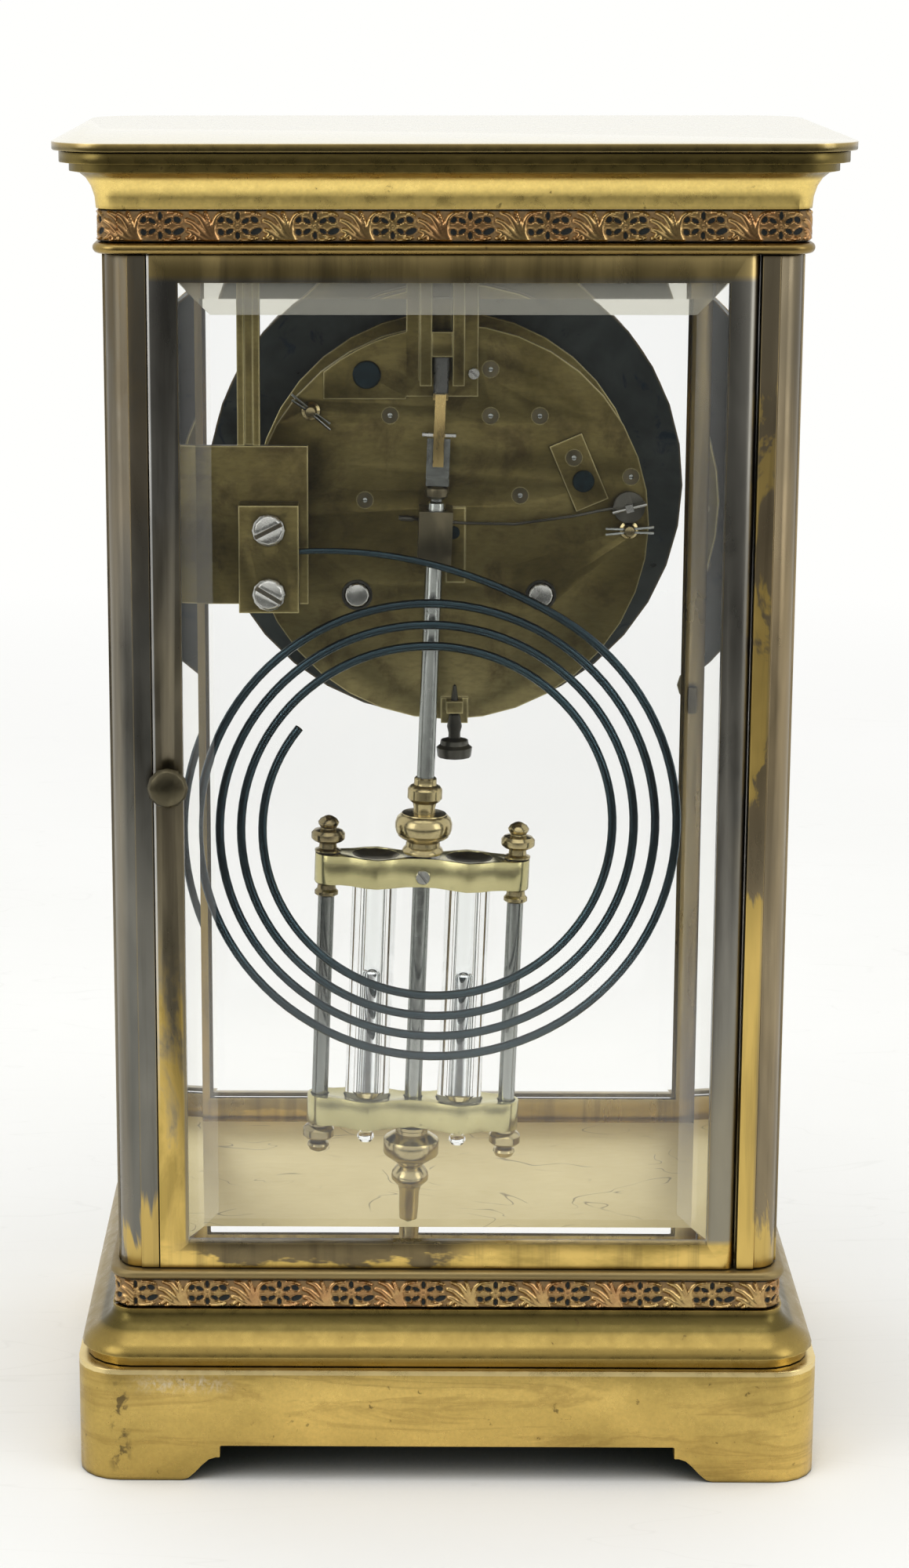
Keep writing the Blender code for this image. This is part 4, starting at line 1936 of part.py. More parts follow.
def make_gong():
    plane = GONG_PLANE
    block_front = plane - GONG_BLOCK_DEPTH / 2
    plate_rear = block_front - SEAT_GAP
    plate_front = plate_rear - GONG_PLATE_THICKNESS
    bracket = box(
        "gong_bracket",
        (GONG_PLATE_LEFT, plate_front, GONG_PLATE_BOTTOM),
        (GONG_PLATE_RIGHT, plate_rear, GONG_PLATE_TOP),
        "plate_brass",
    )
    left = GONG_CHANNEL_RIGHT - GONG_CHANNEL_WIDTH
    channel = box(
        "gong_channel",
        (left, plate_rear - GONG_CHANNEL_DEPTH, GONG_PLATE_TOP - GONG_CHANNEL_WIDTH),
        (GONG_CHANNEL_RIGHT, plate_rear - GONG_PLATE_THICKNESS / 4, NECK_BOTTOM - SEAT_GAP),
    )
    join(bracket, channel)
    groove_left = left + (GONG_CHANNEL_WIDTH - GONG_CHANNEL_GROOVE) / 2
    groove = box(
        "gong_channel_groove",
        (groove_left, plate_rear - GONG_CHANNEL_GROOVE, GONG_PLATE_TOP),
        (groove_left + GONG_CHANNEL_GROOVE, plate_rear + OVERRUN, NECK_BOTTOM + OVERRUN),
        cutter=True,
    )
    cut(bracket, groove)
    block_right = GONG_BLOCK_LEFT + GONG_BLOCK_WIDTH
    block_rear = block_front + GONG_BLOCK_DEPTH
    block = box(
        "gong_block",
        (GONG_BLOCK_LEFT, block_front, GONG_BLOCK_BOTTOM),
        (block_right, block_rear, GONG_BLOCK_BOTTOM + GONG_BLOCK_HEIGHT),
        "plate_brass",
    )
    make_gong_screws(block, block_rear)
    route, shares = gong_route()
    start = Vector(route[1])
    inwards = (start - Vector(route[2])).normalized()
    outside = start - inwards * OVERRUN
    bore = drum(
        "gong_block_bore",
        GONG_WIRE_RADIUS + FIT_CLEARANCE,
        outside,
        start + inwards * GONG_BORE_DEPTH,
        SMALL_SIDES,
        cutter=True,
    )
    cut(block, bore)
    coil = wire("gong_coil", route, GONG_WIRE_RADIUS, "blued_steel", 1, shares)
    print(f"gong coil: least gap to itself {least_self_gap(route) / MM:.2f} mm")
    return bracket, block, coil


def make_gong_screws(block, face):
    x = GONG_BLOCK_LEFT + GONG_BLOCK_WIDTH / 2
    for i, (name, rise, angle) in enumerate(
        zip(("lower", "upper"), GONG_SCREW_RISES, GONG_SLOT_ANGLES)
    ):
        z = GONG_BLOCK_BOTTOM + rise
        head = face + SEAT_GAP
        profile = [
            (0, head + GONG_SCREW_HEAD),
            (GONG_SCREW_RADIUS - GONG_SCREW_HEAD / 2, head + GONG_SCREW_HEAD),
            (GONG_SCREW_RADIUS, head + GONG_SCREW_HEAD / 2),
            (GONG_SCREW_RADIUS, head),
            (GONG_SCREW_SHANK, head),
            (GONG_SCREW_SHANK, face - GONG_SCREW_DEPTH + SEAT_GAP),
            (0, face - GONG_SCREW_DEPTH + SEAT_GAP),
        ]
        screw = turned(f"{name}_gong_screw", profile, (x, 0, z), "steel", "Y")
        slot = box(
            f"{name}_gong_screw_slot",
            (-GONG_SCREW_RADIUS - OVERRUN, 0, -GONG_SCREW_SLOT / 2),
            (GONG_SCREW_RADIUS + OVERRUN, GONG_SCREW_HEAD, GONG_SCREW_SLOT / 2),
            cutter=True,
        )
        slot.location = (x, head + GONG_SCREW_HEAD / 2, z)
        slot.rotation_euler = (0, angle, 0)
        cut(screw, slot)
        hole = drum(
            f"gong_block_hole_{i}",
            GONG_SCREW_SHANK + FIT_CLEARANCE,
            (x, face - GONG_SCREW_DEPTH, z),
            (x, face + OVERRUN, z),
            cutter=True,
        )
        cut(block, hole)


# Joints: each moving body hangs from an empty on its axis


def pivot(name, location):
    empty = bpy.data.objects.new(name, None)
    clock_parts.objects.link(empty)
    empty.location = location
    return empty


def carry(empty, *names):
    """Parents the named pieces to an empty without moving them."""
    bpy.context.view_layer.update()
    for name in names:
        obj = bpy.data.objects[name]
        for modifier in obj.modifiers:
            if modifier.type == "BOOLEAN" and modifier.object and not modifier.object.parent:
                modifier.object.parent = empty
                modifier.object.matrix_parent_inverse = empty.matrix_world.inverted()
        obj.parent = empty
        obj.matrix_parent_inverse = empty.matrix_world.inverted()


def set_joints(places):
    for end, side in (("rear", 1), ("front", -1)):
        hinge = pivot(f"{end}_door_hinge", (-side * HINGE_X, side * HINGE_Y, KNOB_HEIGHT))
        carry(hinge, f"{end}_door_frame", f"{end}_door_glass")
        spindle = pivot(f"{end}_knob_spindle", (side * KNOB_X, side * HALF_DEPTH, KNOB_HEIGHT))
        carry(spindle, f"{end}_door_knob")
        spindle.parent = hinge
        spindle.matrix_parent_inverse = hinge.matrix_world.inverted()
    for name, spot, wheel in (
        ("centre_axis", "centre", "centre_wheel"),
        ("barrel_axis", "barrel", "going_barrel"),
        ("intermediate_axis", "intermediate", "intermediate_wheel"),
        ("third_axis", "third", "third_wheel"),
        ("escape_axis", "escape", "escape_wheel"),
    ):
        x, z = places[spot]
        carry(pivot(name, (x, 0, z)), wheel)
    carry(bpy.data.objects["centre_axis"], "minute_hand")
    carry(pivot("hour_axis", (0, 0, MOVEMENT_HEIGHT)), "hour_hand")
    for name, side in (("going", 1), ("strike", -1)):
        axis = pivot(f"{name}_winding_axis", (side * BARREL_OFFSET, 0, BARREL_HEIGHT))
        carry(axis, f"{name}_winding_arbor")
    carry(pivot("strike_barrel_axis", (-BARREL_OFFSET, 0, BARREL_HEIGHT)), "strike_barrel")
    carry(pivot("hammer_axis", (HAMMER_OFFSET, 0, MOVEMENT_HEIGHT + HAMMER_RISE)), "hammer")
    suspension = pivot("suspension_axis", (PENDULUM_OFFSET, PENDULUM_PLANE, PENDULUM_PIVOT))
    carry(
        suspension,
        "suspension_spring",
        "pendulum_rod",
        "upper_yoke",
        "lower_yoke",
        "right_side_rod",
        "left_side_rod",
        "right_vial",
        "left_vial",
        "right_mercury",
        "left_mercury",
        "rating_nut",
    )
    arbor = pivot("pallet_axis", (PENDULUM_OFFSET, PENDULUM_PLANE, PENDULUM_PIVOT))
    carry(arbor, "crutch")
    suspension.rotation_euler = (0, -PENDULUM_LEAN, 0)
    arbor.rotation_euler = (0, -PENDULUM_LEAN, 0)


def build_clock():
    places = train_places()
    make_plinth()
    make_base_moulding()
    make_frieze("base_frieze", BASE_FRIEZE_BOTTOM)
    make_floor()
    make_posts()
    make_top()
    make_sides()
    make_door("rear", 1, RAIL_HEIGHT)
    make_door("front", -1, FRONT_RAIL_HEIGHT)
    _, back = make_plates(places)
    make_oil_sinks(back)
    make_suspension_bracket()
    make_cock()
    make_hammer()
    make_thumb_screw()
    make_barrels(places)
    make_winding_arbors()
    make_intermediate(places)
    make_centre(places)
    make_third(places)
    make_escape(places)
    make_dial()
    make_hands()
    make_gong()
    make_suspension_spring()
    make_pendulum_rod()
    make_yoke("upper_yoke", UPPER_YOKE_DROP, VIAL_RADIUS + FIT_CLEARANCE)
    make_yoke("lower_yoke", LOWER_YOKE_DROP, VIAL_RADIUS + FIT_CLEARANCE)
    make_side_rods()
    make_vials()
    make_rating_nut()
    make_crutch(places)
    set_joints(places)


build_clock()
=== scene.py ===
"""Looks of a four glass mantel clock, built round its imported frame.

Metres, +Z up. The dial faces -Y, and the camera looks at the back of the clock, where the
pendulum and the gong show through the rear door.
"""

import json
import math

import bmesh
import bpy
import numpy as np
from mathutils import Matrix, Vector


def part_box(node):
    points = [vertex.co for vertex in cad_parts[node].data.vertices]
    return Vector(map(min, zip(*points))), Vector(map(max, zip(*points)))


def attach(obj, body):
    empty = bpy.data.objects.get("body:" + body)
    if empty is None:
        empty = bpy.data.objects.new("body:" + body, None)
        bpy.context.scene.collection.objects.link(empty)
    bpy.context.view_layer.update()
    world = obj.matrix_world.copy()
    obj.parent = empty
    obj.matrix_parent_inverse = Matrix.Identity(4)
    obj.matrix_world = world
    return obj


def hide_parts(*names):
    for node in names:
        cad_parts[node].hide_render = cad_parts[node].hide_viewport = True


bl_info = {
    "name": "Four Glass Mantel Clock",
    "version": (1, 0, 0),
    "blender": (4, 5, 0),
    "location": "View3D > Sidebar > Clock",
    "description": "Dresses a glazed brass mantel clock with its metals, glass, friezes and small hardware",
    "category": "Add Mesh",
}

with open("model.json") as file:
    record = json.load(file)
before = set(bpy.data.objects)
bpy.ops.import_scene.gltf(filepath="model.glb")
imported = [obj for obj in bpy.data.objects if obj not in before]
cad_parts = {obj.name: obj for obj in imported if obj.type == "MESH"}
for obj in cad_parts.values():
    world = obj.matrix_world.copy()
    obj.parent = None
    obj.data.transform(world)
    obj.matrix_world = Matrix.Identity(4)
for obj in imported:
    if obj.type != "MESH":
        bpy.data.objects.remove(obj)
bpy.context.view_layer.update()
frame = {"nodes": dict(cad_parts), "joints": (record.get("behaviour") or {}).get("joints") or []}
NODES = frame["nodes"]
JOINTS = {joint["name"]: joint for joint in frame["joints"]}

MM = 0.001
FULL_TURN = 2 * math.pi
UP = Vector((0, 0, 1))
REAR = Vector((0, 1, 0))
SIDES = (("right", 1), ("left", -1))

DIAL_CENTRE = Vector(JOINTS["minute_turn"]["pos_m"])
PENDULUM_PIVOT = Vector(JOINTS["pendulum_swing"]["pos_m"])
PENDULUM_RISE = Vector(JOINTS["rating_nut_turn"]["axis"])

# Along and across the pendulum, in millimetres from its pivot
YOKE_TOP_DROP = 115.0
YOKE_FOOT_DROP = 180.25
SIDE_ROD_OFFSET = 21.9
VIAL_OFFSET = 10.8

# On the movement, in millimetres
PLATE_FACE = 20.5
WINDING_OFFSET = 21.1
WINDING_HEIGHT = 200.5


# Settings that a user would change


def colour(name, description, default):
    return bpy.props.FloatVectorProperty(
        name=name, description=description, subtype="COLOR", size=3, min=0, max=1, default=default
    )


def length(name, description, default):
    return bpy.props.FloatProperty(name=name, description=description, unit="LENGTH", min=0, default=default)


class ClockFinishes(bpy.types.PropertyGroup):
    """Colours of the clock's metals and glass."""

    bright_brass: colour("Bright brass", "Rubbed brass on the base and cornice", (0.74, 0.52, 0.155))
    dull_brass: colour("Dull brass", "Olive brass under a thin tarnish", (0.45, 0.32, 0.090))
    plate_brass: colour("Plate brass", "Dark olive brass of the movement's plates", (0.105, 0.083, 0.028))
    copper: colour("Frieze copper", "Raised parts of the friezes", (0.50, 0.28, 0.12))
    blued: colour("Blued steel", "The gong and the hands", (0.035, 0.060, 0.070))
    steel: colour("Steel", "Rods, arbors and pins", (0.34, 0.355, 0.33))
    enamel: colour("Enamel", "The dial", (0.84, 0.82, 0.74))
    glass: colour("Glass", "Tint of the bevelled panes", (0.998, 1.0, 0.998))


class ClockSizes(bpy.types.PropertyGroup):
    """Sizes of the details that are added to the frame."""

    edge_round: length("Edge rounding", "Bevel on the case's sharp edges", 0.3 * MM)
    fine_round: length("Fine rounding", "Bevel on the movement's small parts", 0.12 * MM)
    rosette_pitch: length("Rosette pitch", "Distance between two rosettes of a frieze", 16.65 * MM)
    relief_step: length("Relief step", "Grid step of the friezes' relief", 0.24 * MM)
    gong_wire: length("Gong wire", "Radius of the gong's wire", 1.0 * MM)


def finishes():
    return bpy.context.scene.clock_finishes


def sizes():
    return bpy.context.scene.clock_sizes


# Ways to build a material


# Dark brown of the painted shade and grime in corners, slots and seams
SHADE_AND_GRIME = (0.018, 0.014, 0.008)


class Nodes:
    """Short ways to build a node tree."""

    def __init__(self, tree):
        self.tree = tree

    def put(self, value, socket):
        """Links a socket or sets a plain value."""
        if isinstance(value, bpy.types.NodeSocket):
            self.tree.links.new(value, socket)
        elif socket.type == "RGBA":
            socket.default_value = (*tuple(value)[:3], 1)
        else:
            socket.default_value = value

    def add(self, kind, inputs):
        """A node of a kind, with its inputs linked or set."""
        node = self.tree.nodes.new(kind)
        for name, value in inputs.items():
            self.put(value, node.inputs[name])
        return node

    def place(self, kind="Object"):
        """Coordinates on the object in metres, or of another kind."""
        return self.tree.nodes.new("ShaderNodeTexCoord").outputs[kind]

    def coordinate(self, axis, kind="Object"):
        """One coordinate."""
        return self.add("ShaderNodeSeparateXYZ", {0: self.place(kind)}).outputs[axis]

    def cloud(self, scale, detail=4, roughness=0.55, distortion=0.0, stretch=(1, 1, 1), shift=(0, 0, 0)):
        """Noise from 0 to 1 on the object, stretched along each axis and shifted."""
        spot = self.add("ShaderNodeMapping", {"Vector": self.place(), "Scale": stretch, "Location": shift})
        inputs = {"Scale": scale, "Detail": detail, "Roughness": roughness, "Distortion": distortion}
        return self.add("ShaderNodeTexNoise", {"Vector": spot.outputs["Vector"], **inputs}).outputs["Fac"]

    def ramp(self, factor, *stops):
        """A value or colour read from stops of (position, grey or colour)."""
        node = self.add("ShaderNodeValToRGB", {"Fac": factor})
        elements = node.color_ramp.elements
        while len(elements) < len(stops):
            elements.new(0.5)
        for element, (position, value) in zip(elements, stops):
            element.position = position
            tone = value if hasattr(value, "__len__") else (value, value, value)
            element.color = (*tone[:3], 1)
        return node.outputs["Color"]

    def between(self, factor, low, high, start=0.0, end=1.0):
        """Maps low..high of a factor to start..end, held at both ends."""
        inputs = {"Value": factor, "From Min": low, "From Max": high, "To Min": start, "To Max": end}
        return self.add("ShaderNodeMapRange", inputs).outputs["Result"]

    def mix(self, factor, first, second):
        """Two colours mixed by a factor."""
        node = self.tree.nodes.new("ShaderNodeMix")
        node.data_type = "RGBA"
        for socket, value in (("Factor", factor), (6, first), (7, second)):
            self.put(value, node.inputs[socket])
        return node.outputs[2]

    def arithmetic(self, operation, first, second=0.0):
        node = self.add("ShaderNodeMath", {0: first, 1: second})
        node.operation = operation
        return node.outputs[0]

    def times(self, first, *others):
        """The product of factors."""
        for other in others:
            first = self.arithmetic("MULTIPLY", first, other)
        return first

    def plus(self, first, second):
        return self.arithmetic("ADD", first, second)

    def largest(self, first, second):
        return self.arithmetic("MAXIMUM", first, second)

    def size_of(self, value):
        """A value without its sign."""
        return self.arithmetic("ABSOLUTE", value)

    def inside(self, axis, low, high, soft):
        """1 between two coordinates on an axis, fading over a soft edge."""
        value = self.coordinate(axis)
        rise = self.between(value, low - soft, low + soft)
        return self.times(rise, self.between(value, high - soft, high + soft, 1.0, 0.0))

    def rear_side(self):
        """1 on the clock's rear half, where the photograph shows its wear."""
        return self.between(self.coordinate(1), 0.010, 0.020)

    def crevice(self, distance, low=0.35, high=0.85, samples=8):
        """0 deep in corners, slots and seams, and 1 on open faces."""
        node = self.add("ShaderNodeAmbientOcclusion", {"Distance": distance})
        node.samples = samples
        return self.between(node.outputs["AO"], low, high)

    def highlit_and_worn_edge(self, radius):
        """1 along sharp edges, where a painted highlight and the bright wear from handling go."""
        bevel = self.add("ShaderNodeBevel", {"Radius": radius})
        bevel.samples = 4
        face = self.tree.nodes.new("ShaderNodeNewGeometry")
        likeness = self.add("ShaderNodeVectorMath", {0: bevel.outputs["Normal"], 1: face.outputs["Normal"]})
        likeness.operation = "DOT_PRODUCT"
        return self.between(likeness.outputs["Value"], 0.90, 0.99, 1.0, 0.0)

    def shade_and_grime(self, open_face, body, strength):
        """A body colour darkened towards the dark brown where its faces aren't open: painted shade in
        corners, slots and seams, and grime.
        """
        return self.mix(open_face, self.mix(strength, body, SHADE_AND_GRIME), body)

    def wear_and_painted_light(self, body, amount):
        """Painted shade and grime in the corners, and painted highlights with rubbed wear along the edges,
        over a body colour.
        """
        open_face = self.crevice(1.2 * MM)
        edge_light_and_wear = self.times(self.highlit_and_worn_edge(0.35 * MM), amount, open_face)
        return self.shade_and_grime(open_face, self.mix(edge_light_and_wear, body, finishes().bright_brass), 0.75)


class Surface(Nodes):
    """A material in the making. Its body is the colour so far, and each step lays another over it."""

    def __init__(self, name):
        self.material = bpy.data.materials.new(name)
        self.material.use_nodes = True
        super().__init__(self.material.node_tree)
        self.shader = self.tree.nodes["Principled BSDF"]

    def start(self, factor, first, second):
        """The first two colours, mixed by a factor."""
        self.body = self.mix(factor, first, second)

    def lay(self, tone, *masks):
        """Lays a colour over the body where the masks' product is high."""
        self.body = self.mix(self.times(*masks), self.body, tone)

    def shade(self, inputs):
        for name, value in inputs.items():
            self.put(value, self.shader.inputs[name])

    def roughen(self, height, strength, distance):
        """Bump from a height."""
        bump = self.add("ShaderNodeBump", {"Strength": strength, "Distance": distance, "Height": height})
        self.shade({"Normal": bump.outputs["Normal"]})

    def finish(self, gloss, low, high, metallic=1.0):
        """Links the body, and a roughness from low to high by a noise."""
        roughness = self.between(gloss, 0.3, 0.7, low, high)
        self.shade({"Base Color": self.body, "Metallic": metallic, "Roughness": roughness})
        return self.material


# Case metals


# Bands on the mouldings: lowest and highest point, softness in millimetres, strength and colour. The first
# and the fourth are painted shade, on the base moulding's upper part and on the top slab's edge; the second
# is a painted highlight along the cornice's cove
CASE_BANDS = (
    (0.0335, 0.0396, 1.6, 0.90, (0.055, 0.046, 0.014)),
    (0.2909, 0.2972, 0.5, 0.75, (1.0, 0.76, 0.25)),
    (0.0280, 0.0345, 0.5, 0.80, (0.245, 0.175, 0.050)),
    (0.2976, 0.3046, 0.9, 0.80, (0.095, 0.080, 0.028)),
    (0.2800, 0.2838, 0.1, 0.60, (0.14, 0.095, 0.045)),
)


def case_brass(name):
    """Golden brass with wavy brown streaks and small pits, with painted shade under the mouldings' upper
    edges and a painted highlight in the cornice's cove.
    """
    look = finishes()
    metal = Surface(name)
    broad = metal.cloud(17.0, 4, 0.55, 0.6, (1, 1, 1.5))
    wavy = metal.cloud(60.0, 5, 0.6, 1.2, (0.24, 0.24, 1.7), (0.3, 0.0, 0.6))
    fine = metal.cloud(260.0, 5, 0.65, 0.3)
    grain = metal.cloud(1100.0, 3, 0.7)
    metal.start(metal.ramp(broad, (0.35, 0), (0.66, 1)), look.dull_brass, look.bright_brass)
    metal.lay((0.24, 0.145, 0.04), metal.ramp(wavy, (0.50, 0), (0.56, 0.34), (0.60, 0.12), (0.70, 0.0)))
    # Bands of painted shade and a painted highlight, by height
    for low, high, soft, strength, tone in CASE_BANDS:
        metal.lay(tone, metal.inside(2, low, high, soft * MM), strength)
    metal.lay((0.07, 0.045, 0.02), metal.ramp(fine, (0.665, 0), (0.72, 1)), 0.7)
    # Dark marks on the plinth's corner, and a scuff above them
    rear = metal.rear_side()
    corner = metal.times(metal.inside(0, 0.0735, 0.0775, 0.8 * MM), metal.inside(2, 0.003, 0.024, 2 * MM))
    metal.lay((0.06, 0.045, 0.03), corner, rear, metal.ramp(fine, (0.50, 0), (0.58, 1)), 0.75)
    scuff = metal.times(metal.inside(0, 0.052, 0.070, 4 * MM), metal.inside(2, 0.0225, 0.0255, 1.4 * MM))
    nicks = metal.ramp(metal.cloud(420.0, 5, 0.7, 0.8, (1.3, 1, 1)), (0.44, 0), (0.66, 0.62))
    metal.lay((0.80, 0.76, 0.66), scuff, rear, nicks)
    metal.lay((0.16, 0.11, 0.04), metal.between(grain, 0.35, 0.75, 0.0, 0.18))
    # A painted highlight along the plinth's lip, and a painted reflection that makes the slab's top pale
    metal.lay((0.92, 0.76, 0.40), metal.inside(2, 0.0262, 0.0275, 0.1 * MM), 0.6)
    # Painted shade and grime in the corners, painted highlights and wear on the edges
    metal.body = metal.wear_and_painted_light(metal.body, 0.5)
    metal.lay((0.86, 0.82, 0.68), metal.between(metal.coordinate(2), 0.30480, 0.30495))
    metal.roughen(metal.mix(0.4, fine, grain), 0.06, 0.2 * MM)
    if name == "slab_brass":
        # Lacquered, so that its upper face shines pale at a low angle
        metal.shade({"Coat Weight": 0.8, "Coat Roughness": 0.15})
    return metal.finish(fine, 0.22, 0.40)


def patina(name):
    """A surface for a patina in soft upright bands, with the noises that its rubbed spots share."""
    metal = Surface(name)
    soft = metal.cloud(60.0, 4, 0.5, 0.5, (1, 1, 0.20))
    broad = metal.cloud(15.0, 3, 0.5, 0.0, (1, 1, 0.5), (0.3, 0.1, 0.2))
    streak = metal.cloud(300.0, 4, 0.6, 0.2, (1, 1, 0.045))
    patch = metal.cloud(110.0, 5, 0.62, 0.6, (1, 1, 0.32))
    bands = metal.ramp(soft, (0.36, 0), (0.64, 1))
    return metal, soft, broad, streak, patch, bands


def finish_patina(metal, streak, patch):
    """Dark streaks, wear with painted edge highlights and painted shade in corners, a soft gloss and fine
    bumps over a patina.
    """
    metal.lay((0.055, 0.045, 0.032), metal.between(streak, 0.50, 0.72, 0.0, 0.40))
    metal.body = metal.wear_and_painted_light(metal.body, 0.35)
    metal.roughen(metal.mix(0.5, patch, streak), 0.05, 0.2 * MM)
    return metal.finish(patch, 0.24, 0.40)


def post_brass(name):
    """Corner posts: brown and grey patina, rubbed to gold at the foot and in a strip on the photo's right."""
    look = finishes()
    metal, soft, broad, streak, patch, bands = patina(name)
    metal.start(bands, (0.140, 0.118, 0.085), (0.27, 0.225, 0.155))
    grey = metal.mix(bands, (0.110, 0.115, 0.108), (0.20, 0.20, 0.18))
    metal.lay(grey, metal.ramp(broad, (0.46, 0), (0.60, 0.8)))
    across = metal.coordinate(0)
    rise = metal.coordinate(2)
    out = metal.size_of(across)
    rear = metal.rear_side()
    right = metal.between(across, -0.060, -0.061)
    metal.lay((0.31, 0.265, 0.19), metal.between(out, 0.0722, 0.0740), 0.45)
    warm = metal.mix(bands, (0.16, 0.115, 0.055), (0.36, 0.27, 0.14))
    metal.lay(warm, metal.between(across, -0.060, -0.061, 0.0, 0.62))
    low = metal.between(rise, 0.120, 0.145, 0.30, 0.0)
    high = metal.between(rise, 0.250, 0.262, 0.0, -0.30)
    rubbed = metal.ramp(metal.plus(patch, metal.plus(low, high)), (0.51, 0), (0.55, 1))
    gold = metal.mix(metal.between(soft, 0.3, 0.7), look.dull_brass, look.bright_brass)
    metal.lay(gold, metal.between(out, 0.0706, 0.0698), right, rear, rubbed)
    crown = metal.times(metal.between(across, 0.060, 0.061), metal.between(rise, 0.235, 0.272))
    metal.lay((0.20, 0.135, 0.055), crown, metal.ramp(patch, (0.46, 0), (0.56, 0.8)), rear)
    foot = metal.plus(patch, metal.between(rise, 0.052, 0.080, 0.12, -0.30))
    metal.lay(gold, metal.ramp(foot, (0.48, 0), (0.54, 0.9)))
    metal.lay((0.085, 0.080, 0.062), metal.between(rise, 0.205, 0.260), 0.62)
    return finish_patina(metal, streak, patch)


def door_brass(name):
    """Door frames: dark stiles, brown top rail, and a golden bottom rail with a dark stain."""
    look = finishes()
    metal, _, broad, streak, patch, bands = patina(name)
    metal.start(bands, (0.120, 0.115, 0.102), (0.23, 0.22, 0.19))
    brown = metal.mix(bands, (0.27, 0.205, 0.085), (0.50, 0.38, 0.16))
    gold = metal.mix(metal.ramp(patch, (0.40, 0), (0.62, 1)), look.bright_brass, look.dull_brass)
    across = metal.coordinate(0)
    rise = metal.coordinate(2)
    metal.lay(brown, metal.ramp(broad, (0.50, 0), (0.66, 0.35)))
    metal.lay(brown, metal.between(rise, 0.2750, 0.2765))
    # Gold low on the photo's left stile, and a paler foot on its right one
    left_foot = metal.times(metal.between(across, 0.0600, 0.0605), metal.between(rise, 0.130, 0.110))
    rubbed = metal.plus(patch, metal.between(rise, 0.056, 0.118, 0.16, 0.0))
    metal.lay(gold, left_foot, metal.ramp(rubbed, (0.46, 0), (0.58, 1)))
    right_foot = metal.times(metal.between(across, -0.060, -0.0605), metal.between(rise, 0.130, 0.060))
    metal.lay((0.27, 0.255, 0.20), right_foot, 0.6)
    # The bottom rail with its ragged stain
    ragged = metal.cloud(150.0, 4, 0.6, 0.0, (0.35, 1, 1), (0.1, 0.6, 0.3))
    level = metal.plus(rise, metal.between(ragged, 0.35, 0.65, -0.0022, 0.0022))
    stain = metal.times(metal.inside(0, -0.004, 0.060, 5 * MM), metal.between(level, 0.0505, 0.0512), 0.85)
    rail = metal.mix(metal.between(ragged, 0.40, 0.60), look.bright_brass, look.dull_brass)
    metal.lay(metal.mix(stain, rail, (0.115, 0.095, 0.065)), metal.between(rise, 0.0560, 0.0545))
    # A painted highlight on the left stile's outer edge, and browner frames on the dial side
    edge = metal.between(across, 0.06565, 0.06585)
    metal.lay((0.95, 0.95, 0.92), edge, metal.between(rise, 0.085, 0.150))
    metal.lay(brown, metal.between(metal.coordinate(1), -0.030, -0.040), 0.7)
    return finish_patina(metal, streak, patch)


def floor_brass(name):
    """The pale lacquered floor inside the case, with hair lines, and its brown ledge outside."""
    metal = Surface(name)
    broad = metal.cloud(18.0, 4, 0.6, 0.3)
    fine = metal.cloud(240.0, 4, 0.6, 0.0, (1, 3, 1))
    line = metal.cloud(38.0, 1, 0.4, 1.4, (1, 1.6, 1), (0.7, 0.2, 0))
    where = metal.cloud(60.0, 2, 0.5, 0.0, (1, 1, 1), (0.1, 0.5, 0))
    metal.start(metal.ramp(broad, (0.35, 0), (0.65, 1)), (0.66, 0.55, 0.27), (0.76, 0.65, 0.35))
    hair = metal.ramp(line, (0.493, 0), (0.499, 1), (0.501, 1), (0.507, 0))
    metal.lay((0.16, 0.11, 0.05), hair, metal.ramp(where, (0.50, 0), (0.56, 0.8)))
    side = metal.between(metal.size_of(metal.coordinate(0)), 0.0662, 0.0668)
    end = metal.between(metal.size_of(metal.coordinate(1)), 0.0500, 0.0506)
    ledge = metal.mix(broad, (0.17, 0.125, 0.055), (0.32, 0.24, 0.10))
    # The ledge gets painted shade in its corners and painted highlights with wear on its edges
    metal.lay(metal.wear_and_painted_light(ledge, 0.5), metal.largest(side, end))
    return metal.finish(fine, 0.36, 0.50, 0.8)


def frieze_copper(name):
    """Dark in the hollows and coppery gold on the raised leaves, by the height kept on the mesh."""
    metal = Surface(name)
    relief = metal.tree.nodes.new("ShaderNodeAttribute")
    relief.attribute_name = "relief"
    height = relief.outputs["Fac"]
    broad = metal.cloud(60.0, 4, 0.6)
    fine = metal.cloud(700.0, 3, 0.6)
    raised = metal.mix(metal.ramp(broad, (0.40, 0), (0.60, 1)), finishes().copper, (0.52, 0.37, 0.15))
    raised = metal.mix(metal.between(fine, 0.35, 0.7, 0.0, 0.5), raised, (0.20, 0.11, 0.05))
    ground = metal.mix(fine, (0.15, 0.095, 0.040), (0.32, 0.20, 0.085))
    metal.start(metal.ramp(height, (0.14, 0), (0.27, 1)), (0.010, 0.013, 0.012), ground)
    metal.lay(raised, metal.ramp(height, (0.36, 0), (0.64, 1)))
    metal.shade({
        "Base Color": metal.body,
        "Metallic": metal.between(height, 0.15, 0.5, 0.3, 1.0),
        "Roughness": metal.between(height, 0.15, 0.7, 0.7, 0.26),
    })
    metal.roughen(fine, 0.08, 0.1 * MM)
    return metal.material


# Movement and pendulum metals


